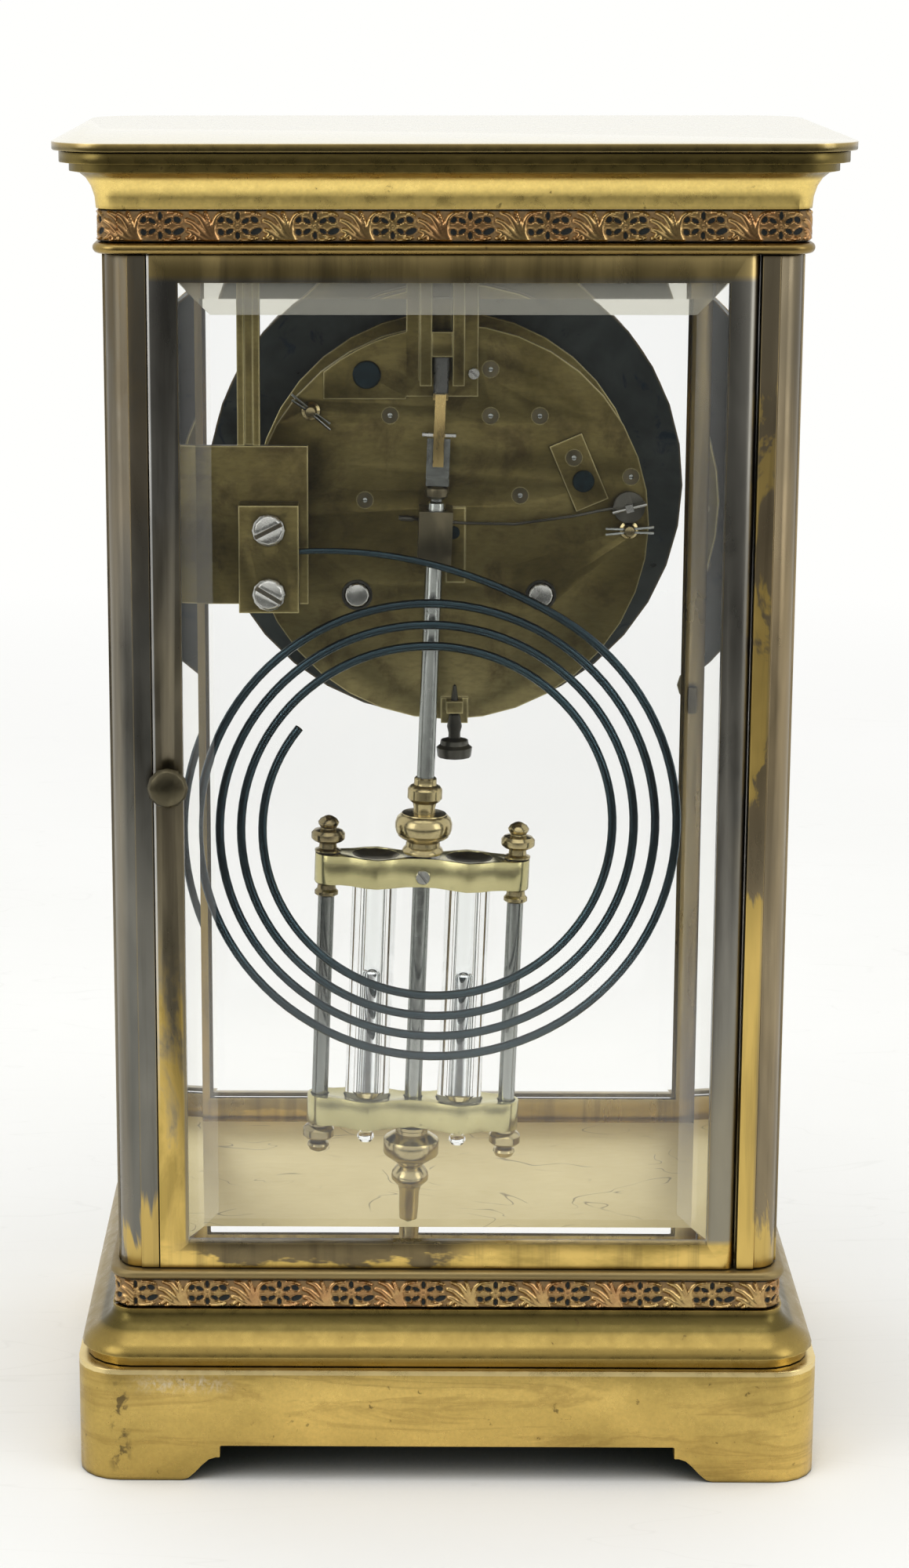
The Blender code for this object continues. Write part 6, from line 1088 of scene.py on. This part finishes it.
def gong_points():
    """The wire's route from the block round to its free end, and its radius at each point."""
    loop_points = 96
    route, radii = [], []
    for i in range(round(GONG_TURNS * loop_points) + 1):
        swept = FULL_TURN * i / loop_points
        lead = max(0.0, 1 - swept / LEAD_TURN)
        radius = GONG_RADIUS - GONG_PITCH * swept / FULL_TURN + LEAD_REACH * lead**2
        angle = GONG_START + swept
        route.append(GONG_CENTRE + Vector((radius * math.cos(angle), 0, radius * math.sin(angle))))
        radii.append(sizes().gong_wire * (1 - lead / 3))
    tail = (route[0] - route[1]).normalized() * 2.6 * MM
    return [route[0] + tail, *route], [radii[0], *radii]


def make_gong():
    """Dark boxes of painted shade at the bottom of the gong screws' slots, and the gong's wire."""
    shape = bmesh.new()
    # Thin dark boxes of painted shade in both screws' slots
    for node, angle in (("upper_gong_screw", 27), ("lower_gong_screw", -31)):
        low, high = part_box(node)
        centre = Vector(((low.x + high.x) / 2, high.y, (low.z + high.z) / 2))
        place = Matrix.Translation(centre) @ Matrix.Rotation(math.radians(angle), 4, "Y")
        add_box(shape, (-3.3, -0.45, -0.44), (3.3, -0.25, 0.44), place)
    mesh_piece("slot_painted_shade", shape, "case", "pan_black")
    shape = bmesh.new()
    add_tube(shape, *gong_points(), 14)
    mesh_piece("gong_wire", shape, "case", "blued_steel", ("gong_coil",))


# Dial


NUMERALS = ("XII", "I", "II", "III", "IIII", "V", "VI", "VII", "VIII", "IX", "X", "XI")
NUMERAL_RADIUS = 37.6
HALF_NUMERAL = 3.6
THICK_STROKE = 0.85
THIN_STROKE = 0.26
TRACK_INNER = 43.5
TRACK_OUTER = 46.5
# The way on to the next letter, and a letter's strokes as (start, end, width), in millimetres
LETTERS = {
    "I": (1.45, (((0.72, -HALF_NUMERAL), (0.72, HALF_NUMERAL), 0.80),)),
    "V": (3.0, (
        ((0.5, HALF_NUMERAL), (1.6, -HALF_NUMERAL), THICK_STROKE),
        ((2.55, HALF_NUMERAL), (1.6, -HALF_NUMERAL), THIN_STROKE),
    )),
    "X": (3.2, (
        ((0.5, HALF_NUMERAL), (2.7, -HALF_NUMERAL), THICK_STROKE),
        ((2.6, HALF_NUMERAL), (0.6, -HALF_NUMERAL), THIN_STROKE),
    )),
}
# Radius and height of the bezel's section, and of a winding hole's collar
BEZEL = (
    (48.9, 43.3), (48.9, 43.9), (49.6, 44.6), (50.6, 44.9), (51.6, 45.1), (52.6, 45.6), (53.4, 46.3),
    (54.4, 46.7), (55.6, 46.6), (56.8, 46.0), (57.8, 45.0), (58.1, 43.9), (58.1, 43.3),
)
HOLE_COLLAR = ((2.7, 42.85), (2.7, 43.15), (3.3, 43.25), (3.9, 43.1), (3.9, 42.95))


def add_stroke(shape, start, end, width, share, radius=0.0):
    """A flat bar drawn at the top of the dial, this far up, and carried to its share of the way round."""
    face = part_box("dial")[0].y
    turn = Matrix.Rotation(-FULL_TURN * share, 2)
    a, b = Vector(start), Vector(end)
    side = Vector((-(b - a).y, (b - a).x)).normalized() * width / 2
    front, back = [], []
    for verts, lift in ((front, 0.05), (back, 0.0)):
        for spot in (a + side, a - side, b - side, b + side):
            flat = turn @ Vector((spot.x, spot.y + radius))
            offset = Vector((flat.x * MM, face - DIAL_CENTRE.y - lift * MM, flat.y * MM))
            verts.append(shape.verts.new(DIAL_CENTRE + offset))
    shape.faces.new(front)
    shape.faces.new(back[::-1])
    for i in range(4):
        j = (i + 1) % 4
        shape.faces.new((front[i], back[i], back[j], front[j]))


def make_numerals():
    """Hour numerals and the minute track, as a thin layer of black on the enamel."""
    shape = bmesh.new()
    for hour, text in enumerate(NUMERALS):
        width = sum(LETTERS[letter][0] for letter in text)
        left = -width / 2
        for letter in text:
            advance, strokes = LETTERS[letter]
            for (x0, z0), (x1, z1), thick in strokes:
                add_stroke(shape, (left + x0, z0), (left + x1, z1), thick, hour / 12, NUMERAL_RADIUS)
            left += advance
        for edge in (HALF_NUMERAL, -HALF_NUMERAL):
            add_stroke(shape, (-width / 2, edge), (width / 2, edge), 0.22, hour / 12, NUMERAL_RADIUS)
    chord = math.tan(math.pi / 60)
    for minute in range(60):
        wide = 0.65 if minute % 5 == 0 else 0.22
        add_stroke(shape, (0, TRACK_INNER + 0.1), (0, TRACK_OUTER - 0.1), wide, minute / 60)
        for radius in (TRACK_INNER, TRACK_OUTER):
            add_stroke(shape, (-radius * chord, radius), (radius * chord, radius), 0.20, minute / 60)
    mesh_piece("dial_numerals", shape, "case", "numeral_black")


def winding_place(side):
    """The middle of a winding arbor, at the clock's mid depth."""
    return Vector((side * WINDING_OFFSET * MM, 0, WINDING_HEIGHT * MM))


def make_dial_fittings():
    """The turned bezel and the collars round the winding holes."""
    shape = bmesh.new()
    add_hoop(shape, BEZEL, Vector((0, 0, DIAL_CENTRE.z)), -REAR, 128)
    mesh_piece("bezel_turned", shape, "case", "case_brass", ("bezel",))
    shape = bmesh.new()
    for side in (1, -1):
        add_hoop(shape, HOLE_COLLAR, winding_place(side), -REAR, 40)
    mesh_piece("winding_hole_collars", shape, "case", "edge_brass")


# Small fittings on the movement


# Name, place, radius, height, turn of the slot, material, slot of the record and body
SCREWS = (
    ("foot_screw", (18.9, 22.3, 251.4), 3.2, 1.0, 82, "blued_steel", "blued_steel", "case"),
    ("cock_screw", (-30.4, 21.6, 227.1), 2.5, 0.9, -20, "blued_steel", "blued_steel", "case"),
    ("bracket_screw", (-5.3, 22.3, 251.6), 1.3, 0.5, 50, "screw_steel", "steel", "case"),
    ("guard_screw", (-0.9, 21.3, 215.2), 1.5, 0.5, 20, "blued_steel", "blued_steel", "case"),
    ("yoke_screw", (5.8, 33.35, 136.8), 1.7, 0.5, 38, "screw_steel", "steel", "pendulum"),
)
# Across and up in millimetres, and the tilt of the pin in degrees
PILLARS = ((31.6, 243.0, -38), (-41.0, 215.8, 2))
# Across and up from the dial's centre, in millimetres
PIVOT_PLACES = (
    (19.3, 5.6),
    (13.6, 25.0),
    (-9.1, 35.5),
    (-9.2, 24.9),
    (-20.4, 24.9),
    (-16.1, 6.7),
    (-41.3, 11.0),
)
COCK_PIVOT = (-28.2, 21.6, 232.4)
STUD = (
    (0, 20.55), (1.45, 20.55), (2.1, 20.55), (2.1, 21.1), (1.5, 21.5), (1.42, 22.6), (1.1, 23.8),
    (0, 24.0),
)
ARBOR_RING = ((2.95, 20.55), (2.95, 20.75), (3.5, 20.75), (3.5, 20.55))
HAMMER_TIP = Vector((-40.9, 23.45, 221.1)) * MM
HAMMER_TILT = 14


def make_screw(name, place, radius, height, angle, material, slot, body):
    """A slotted screw head whose slot is cut right across."""
    steps = 40
    half_steps = steps // 2
    half_slot = 0.16 * radius
    depth = height * 0.55
    limit = math.acos(half_slot / radius)
    shape = bmesh.new()
    turn = Matrix.Rotation(math.radians(angle), 4, "Y")
    centre = Vector(place) * MM
    for side in (1, -1):
        rim = []
        for i in range(half_steps + 1):
            swing = -limit + 2 * limit * i / half_steps
            rim.append((radius * math.cos(swing) * side, radius * math.sin(swing) * side))
        inset = [(px + (half_slot * side - px) * 0.10, pz * 0.90) for px, pz in rim]
        rings = []
        for outline, rise in ((rim, height - depth), (rim, height - 0.12 * radius), (inset, height)):
            spots = [centre + turn @ (Vector((px, rise, pz)) * MM) for px, pz in outline]
            rings.append([shape.verts.new(spot) for spot in spots])
        lower, upper, top = rings
        for i in range(len(rim)):
            j = (i + 1) % len(rim)
            shape.faces.new((lower[i], lower[j], upper[j], upper[i]))
            shape.faces.new((upper[i], upper[j], top[j], top[i]))
        shape.faces.new(top)
        shape.faces.new(lower[::-1])
    floor = height - depth
    add_turned(shape, [(0, 0), (radius, 0), (radius, floor), (0, floor)], centre, REAR, steps)
    mesh_piece(name, shape, body, material)


def slanted(tilt):
    """The direction of a pin that tilts this many degrees, as seen from the rear."""
    return Vector((-math.cos(math.radians(tilt)), 0, math.sin(math.radians(tilt))))


def make_plate_fittings():
    """Screws, taper pins, studs and rings that show on the back of the movement."""
    for screw in SCREWS:
        make_screw(*screw)
    shape = bmesh.new()
    for x, z, _ in PILLARS:
        add_turned(shape, STUD, Vector((x * MM, 0, z * MM)), REAR, 32)
    mesh_piece("pillar_studs", shape, "case", "edge_brass")
    shape = bmesh.new()
    for x, z, tilt in PILLARS:
        middle = Vector((x, 22.6, z)) * MM
        for offset in (0.35, -0.35):
            rise = UP * offset * MM
            route = [
                middle + slanted(tilt) * reach * MM + rise * (1 + abs(reach) / 6)
                for reach in (-5.4, -3.0, 0.0, 3.0, 5.6)
            ]
            add_tube(shape, route, [0.30 * MM] * len(route), 8)
    mesh_piece("taper_pins", shape, "case", "rod_steel")
    shape = bmesh.new()
    for side in (1, -1):
        add_hoop(shape, ARBOR_RING, winding_place(side), REAR, 40)
    mesh_piece("arbor_rings", shape, "case", "dark_steel")


def make_pivot_ends():
    """In each oil sink a bright lip, a dark disc of painted shade for its hollow, and the steel end of a
    pivot.
    """
    lips, sink_shade, ends = bmesh.new(), bmesh.new(), bmesh.new()
    spots = [(DIAL_CENTRE.x / MM + x, PLATE_FACE, DIAL_CENTRE.z / MM + rise) for x, rise in PIVOT_PLACES]
    for spot in (*spots, COCK_PIVOT):
        centre = Vector(spot) * MM
        add_hoop(lips, [(1.82, 0.0), (1.82, 0.06), (2.05, 0.06), (2.05, 0.0)], centre, REAR, 32)
        # A thin dark disc of painted shade for the sink's hollow
        add_turned(sink_shade, [(0, 0.005), (1.80, 0.005), (1.80, 0.02), (0, 0.02)], centre, REAR, 32)
        add_turned(ends, [(0, 0.0), (0.55, 0.0), (0.55, 0.16), (0.3, 0.26), (0, 0.28)], centre, REAR, 24)
    mesh_piece("pivot_lips", lips, "case", "plate_brass")
    mesh_piece("pivot_sink_shade", sink_shade, "case", "dark_bronze")
    mesh_piece("pivot_ends", ends, "case", "rod_steel")


def make_hammer_bar():
    """The pin and boss on the end of the hammer's arbor."""
    shape = bmesh.new()
    along = slanted(HAMMER_TILT)
    route = [HAMMER_TIP + REAR * 0.35 * MM + along * reach * MM for reach in (-4.0, -2.0, 0.0, 2.0, 4.0)]
    add_tube(shape, route, [0.32 * MM] * len(route), 10)
    place = Matrix.Translation(HAMMER_TIP) @ Matrix.Rotation(math.radians(HAMMER_TILT), 4, "Y")
    add_box(shape, (-0.85, 0.0, -0.85), (0.85, 0.75, 0.85), place)
    mesh_piece("hammer_pin", shape, "hammer", "screw_steel")


# Stage


CLOCK_MIDDLE = Vector((0, 0, 0.15))
BACKDROP = (1.0, 1.0, 0.985)


def make_camera():
    """The camera at the photograph's viewing angle, above the rear of the clock and near its middle."""
    photo_height = 2000
    focal_pixels = 4426.3
    shift_pixels = (136.2, 4.0)
    sensor = 24.0
    data = bpy.data.cameras.new("photo_camera")
    data.sensor_fit = "VERTICAL"
    data.sensor_height = sensor
    data.lens = focal_pixels / photo_height * sensor
    data.shift_x = shift_pixels[0] / photo_height
    data.shift_y = shift_pixels[1] / photo_height
    data.clip_start = 10 * MM
    camera = new_object("photo_camera", data)
    pitch, turn, roll = math.radians(13.5), math.radians(0.685), math.radians(-0.047)
    forward = Vector((math.sin(turn) * math.cos(pitch), -math.cos(turn) * math.cos(pitch), -math.sin(pitch)))
    level = forward.to_track_quat("-Z", "Y").to_matrix()
    camera.rotation_euler = (level @ Matrix.Rotation(roll, 3, "Z")).to_euler()
    camera.location = Vector((13.9, 807.9, 343.8)) * MM
    bpy.context.scene.camera = camera


def seen_directly(nodes, path):
    """1 for what the camera sees, also through glass."""
    return nodes.largest(path.outputs["Is Camera Ray"], path.outputs["Is Transmission Ray"])


def make_world():
    """A pale backdrop behind the clock and overhead, and a dim room in front of the table."""
    world = bpy.data.worlds.new("studio")
    bpy.context.scene.world = world
    world.use_nodes = True
    nodes = Nodes(world.node_tree)
    background = nodes.tree.nodes["Background"]
    ahead = nodes.between(nodes.coordinate(1, "Generated"), 0.15, 0.75)
    level = nodes.between(nodes.coordinate(2, "Generated"), 0.10, 0.65, 1.0, 0.0)
    room = nodes.between(nodes.times(ahead, level), 0.0, 1.0, 0.98, 0.20)
    path = nodes.add("ShaderNodeLightPath", {})
    strength = nodes.mix(path.outputs["Is Glossy Ray"], (0.72, 0.72, 0.72), room)
    strength = nodes.mix(seen_directly(nodes, path), strength, (1.0, 1.0, 1.0))
    nodes.put(BACKDROP, background.inputs["Color"])
    nodes.put(strength, background.inputs["Strength"])


def make_floor():
    """A pale table top that keeps the clock's shadow, with a painted shadow round the clock's foot, and ends
    in front in a dim room.
    """
    table = Surface("table_white")
    haze = table.cloud(6.0, 5)
    hair = table.cloud(3.5, 2, 0.5, 2.5, (1, 6, 1))
    table.body = table.ramp(haze, (0.3, (0.93, 0.93, 0.915)), (0.7, (0.90, 0.90, 0.88)))
    table.lay((0.6, 0.6, 0.57), table.ramp(hair, (0.498, 0), (0.5, 1), (0.502, 0)), 0.12)
    # Painted shadow: the top turns blue black under and round the clock, by ambient occlusion
    shaded = table.crevice(60 * MM, 0.10, 0.62, 16)
    tone = table.mix(shaded, (0.035, 0.055, 0.060), table.body)
    table.shade({"Base Color": tone, "Roughness": 0.6, "Specular IOR Level": 0.2})
    path = table.add("ShaderNodeLightPath", {})
    length_node = table.add("ShaderNodeVectorMath", {0: table.place()})
    length_node.operation = "LENGTH"
    far = table.between(length_node.outputs["Value"], 0.35, 1.1)
    white = table.add("ShaderNodeEmission", {"Color": BACKDROP})
    dark = table.add("ShaderNodeEmission", {"Color": (0.10, 0.10, 0.095)})
    away = table.times(far, seen_directly(table, path))
    faded = table.add("ShaderNodeMixShader", {0: away, 1: table.shader.outputs[0], 2: white.outputs[0]})
    edge = table.times(table.between(table.coordinate(1), 0.34, 0.50), path.outputs["Is Glossy Ray"])
    ended = table.add("ShaderNodeMixShader", {0: edge, 1: faded.outputs[0], 2: dark.outputs[0]})
    table.put(ended.outputs[0], table.tree.nodes["Material Output"].inputs["Surface"])
    shape = bmesh.new()
    bmesh.ops.create_grid(shape, x_segments=1, y_segments=1, size=3.0)
    mesh_object("table_top", shape, table.material)


def make_lamp(name, place, size, power):
    """A white soft box that shines at the middle of the clock."""
    data = bpy.data.lights.new(name, "AREA")
    data.shape = "RECTANGLE"
    data.size, data.size_y = size
    data.energy = power
    lamp = new_object(name, data)
    lamp.location = place
    lamp.rotation_euler = (CLOCK_MIDDLE - Vector(place)).to_track_quat("-Z", "Y").to_euler()


# Operators


class CLOCK_OT_case(bpy.types.Operator):
    """Finish the case's base, posts, doors and cornice"""

    bl_idname = "clock.finish_case"
    bl_label = "Case"

    def execute(self, context):
        edge = sizes().edge_round
        dress("base_plinth base_moulding cornice top_plate", "case_brass", edge)
        dress("top_slab", "slab_brass", edge)
        dress("floor_plate", "floor_brass", edge)
        dress("rear_left_post rear_right_post front_left_post front_right_post", "post_brass", edge)
        dress("left_bottom_rail left_top_rail right_bottom_rail right_top_rail", "post_brass", edge)
        dress("rear_door_frame front_door_frame", "door_brass", edge * 0.7)
        return {"FINISHED"}


class CLOCK_OT_knobs(bpy.types.Operator):
    """Finish both doors' knobs"""

    bl_idname = "clock.finish_knobs"
    bl_label = "Door knobs"

    def execute(self, context):
        dress("rear_door_knob front_door_knob", "dark_bronze", sizes().fine_round)
        return {"FINISHED"}


class CLOCK_OT_glass(bpy.types.Operator):
    """Glaze the doors and sides with bevelled glass"""

    bl_idname = "clock.finish_glass"
    bl_label = "Glass"

    def execute(self, context):
        for node in ("front_door_glass", "left_side_glass", "right_side_glass"):
            paint(node, "pane_glass")
        paint("rear_door_glass", "door_glass")
        make_glass_bevels()
        return {"FINISHED"}


class CLOCK_OT_friezes(bpy.types.Operator):
    """Add the ornament bands under the cornice and above the base"""

    bl_idname = "clock.add_friezes"
    bl_label = "Friezes"

    def execute(self, context):
        make_frieze("top_frieze_relief", "top_frieze", -3.5 * MM)
        make_frieze("base_frieze_relief", "base_frieze", 5.5 * MM)
        return {"FINISHED"}


class CLOCK_OT_movement(bpy.types.Operator):
    """Finish the movement's plates, wheels and brackets and add its small fittings"""

    bl_idname = "clock.finish_movement"
    bl_label = "Movement"

    def execute(self, context):
        fine = sizes().fine_round
        dress("front_plate back_plate pivot_cock suspension_bracket", "plate_brass", fine)
        dress("centre_wheel intermediate_wheel third_wheel escape_wheel", "edge_brass")
        dress("going_barrel strike_barrel", "edge_brass")
        dress("going_winding_arbor strike_winding_arbor", "screw_steel", fine / 2)
        dress("hammer", "dark_steel", fine / 2)
        dress("thumb_screw", "dark_steel")
        dress("crutch", "dark_bronze", fine)
        make_plate_fittings()
        make_pivot_ends()
        make_hammer_bar()
        return {"FINISHED"}


class CLOCK_OT_dial(bpy.types.Operator):
    """Finish the dial with its pan, bezel, numerals and hands"""

    bl_idname = "clock.finish_dial"
    bl_label = "Dial"

    def execute(self, context):
        dress("dial", "dial_enamel")
        dress("dial_pan", "pan_black")
        dress("minute_hand hour_hand", "blued_steel", sizes().fine_round)
        make_numerals()
        make_dial_fittings()
        return {"FINISHED"}


class CLOCK_OT_gong(bpy.types.Operator):
    """Add the gong's wire and finish its bracket, block and screws"""

    bl_idname = "clock.add_gong"
    bl_label = "Gong"

    def execute(self, context):
        dress("gong_bracket gong_block", "plate_brass", sizes().fine_round)
        dress("upper_gong_screw lower_gong_screw", "screw_steel", sizes().fine_round)
        make_gong()
        return {"FINISHED"}


class CLOCK_OT_pendulum(bpy.types.Operator):
    """Add the pendulum's turned pieces, vials and mercury"""

    bl_idname = "clock.add_pendulum"
    bl_label = "Pendulum"

    def execute(self, context):
        fine = sizes().fine_round
        dress("suspension_spring", "suspension_metals", fine)
        dress("upper_yoke lower_yoke", "yoke_brass", fine * 2)
        make_pendulum_turnings()
        make_rods()
        make_vials()
        return {"FINISHED"}


class CLOCK_OT_stage(bpy.types.Operator):
    """Set the camera, the table top and the soft studio light"""

    bl_idname = "clock.set_stage"
    bl_label = "Stage"

    def execute(self, context):
        make_camera()
        make_world()
        make_floor()
        make_lamp("top_softbox", (0.0, 0.1, 1.5), (1.4, 1.4), 9)
        make_lamp("left_softbox", (1.1, 0.9, 0.7), (0.7, 1.0), 5)
        make_lamp("right_softbox", (-1.2, 0.8, 0.6), (0.6, 1.0), 4)
        bpy.context.scene.view_settings.view_transform = "Standard"
        return {"FINISHED"}


PIECE_OPERATORS = (
    CLOCK_OT_case,
    CLOCK_OT_knobs,
    CLOCK_OT_glass,
    CLOCK_OT_friezes,
    CLOCK_OT_movement,
    CLOCK_OT_dial,
    CLOCK_OT_gong,
    CLOCK_OT_pendulum,
    CLOCK_OT_stage,
)


class CLOCK_PT_sidebar(bpy.types.Panel):
    """The clock's steps and settings"""

    bl_label = "Mantel clock"
    bl_idname = "CLOCK_PT_sidebar"
    bl_space_type = "VIEW_3D"
    bl_region_type = "UI"
    bl_category = "Clock"

    def draw(self, context):
        layout = self.layout
        for operator in PIECE_OPERATORS:
            layout.operator(operator.bl_idname)
        for group in (context.scene.clock_finishes, context.scene.clock_sizes):
            for name in group.__annotations__:
                layout.prop(group, name)


CLASSES = (ClockFinishes, ClockSizes, *PIECE_OPERATORS, CLOCK_PT_sidebar)


def register():
    for cls in CLASSES:
        bpy.utils.register_class(cls)
    bpy.types.Scene.clock_finishes = bpy.props.PointerProperty(type=ClockFinishes)
    bpy.types.Scene.clock_sizes = bpy.props.PointerProperty(type=ClockSizes)


def unregister():
    del bpy.types.Scene.clock_sizes
    del bpy.types.Scene.clock_finishes
    for cls in reversed(CLASSES):
        bpy.utils.unregister_class(cls)


def plain(box):
    return [[float(value) for value in corner] for corner in box]


def main():
    register()
    bpy.ops.clock.finish_case()
    bpy.ops.clock.finish_knobs()
    bpy.ops.clock.finish_glass()
    bpy.ops.clock.add_friezes()
    bpy.ops.clock.finish_movement()
    bpy.ops.clock.finish_dial()
    bpy.ops.clock.add_gong()
    bpy.ops.clock.add_pendulum()
    bpy.ops.clock.set_stage()


if __name__ == "__main__":
    main()
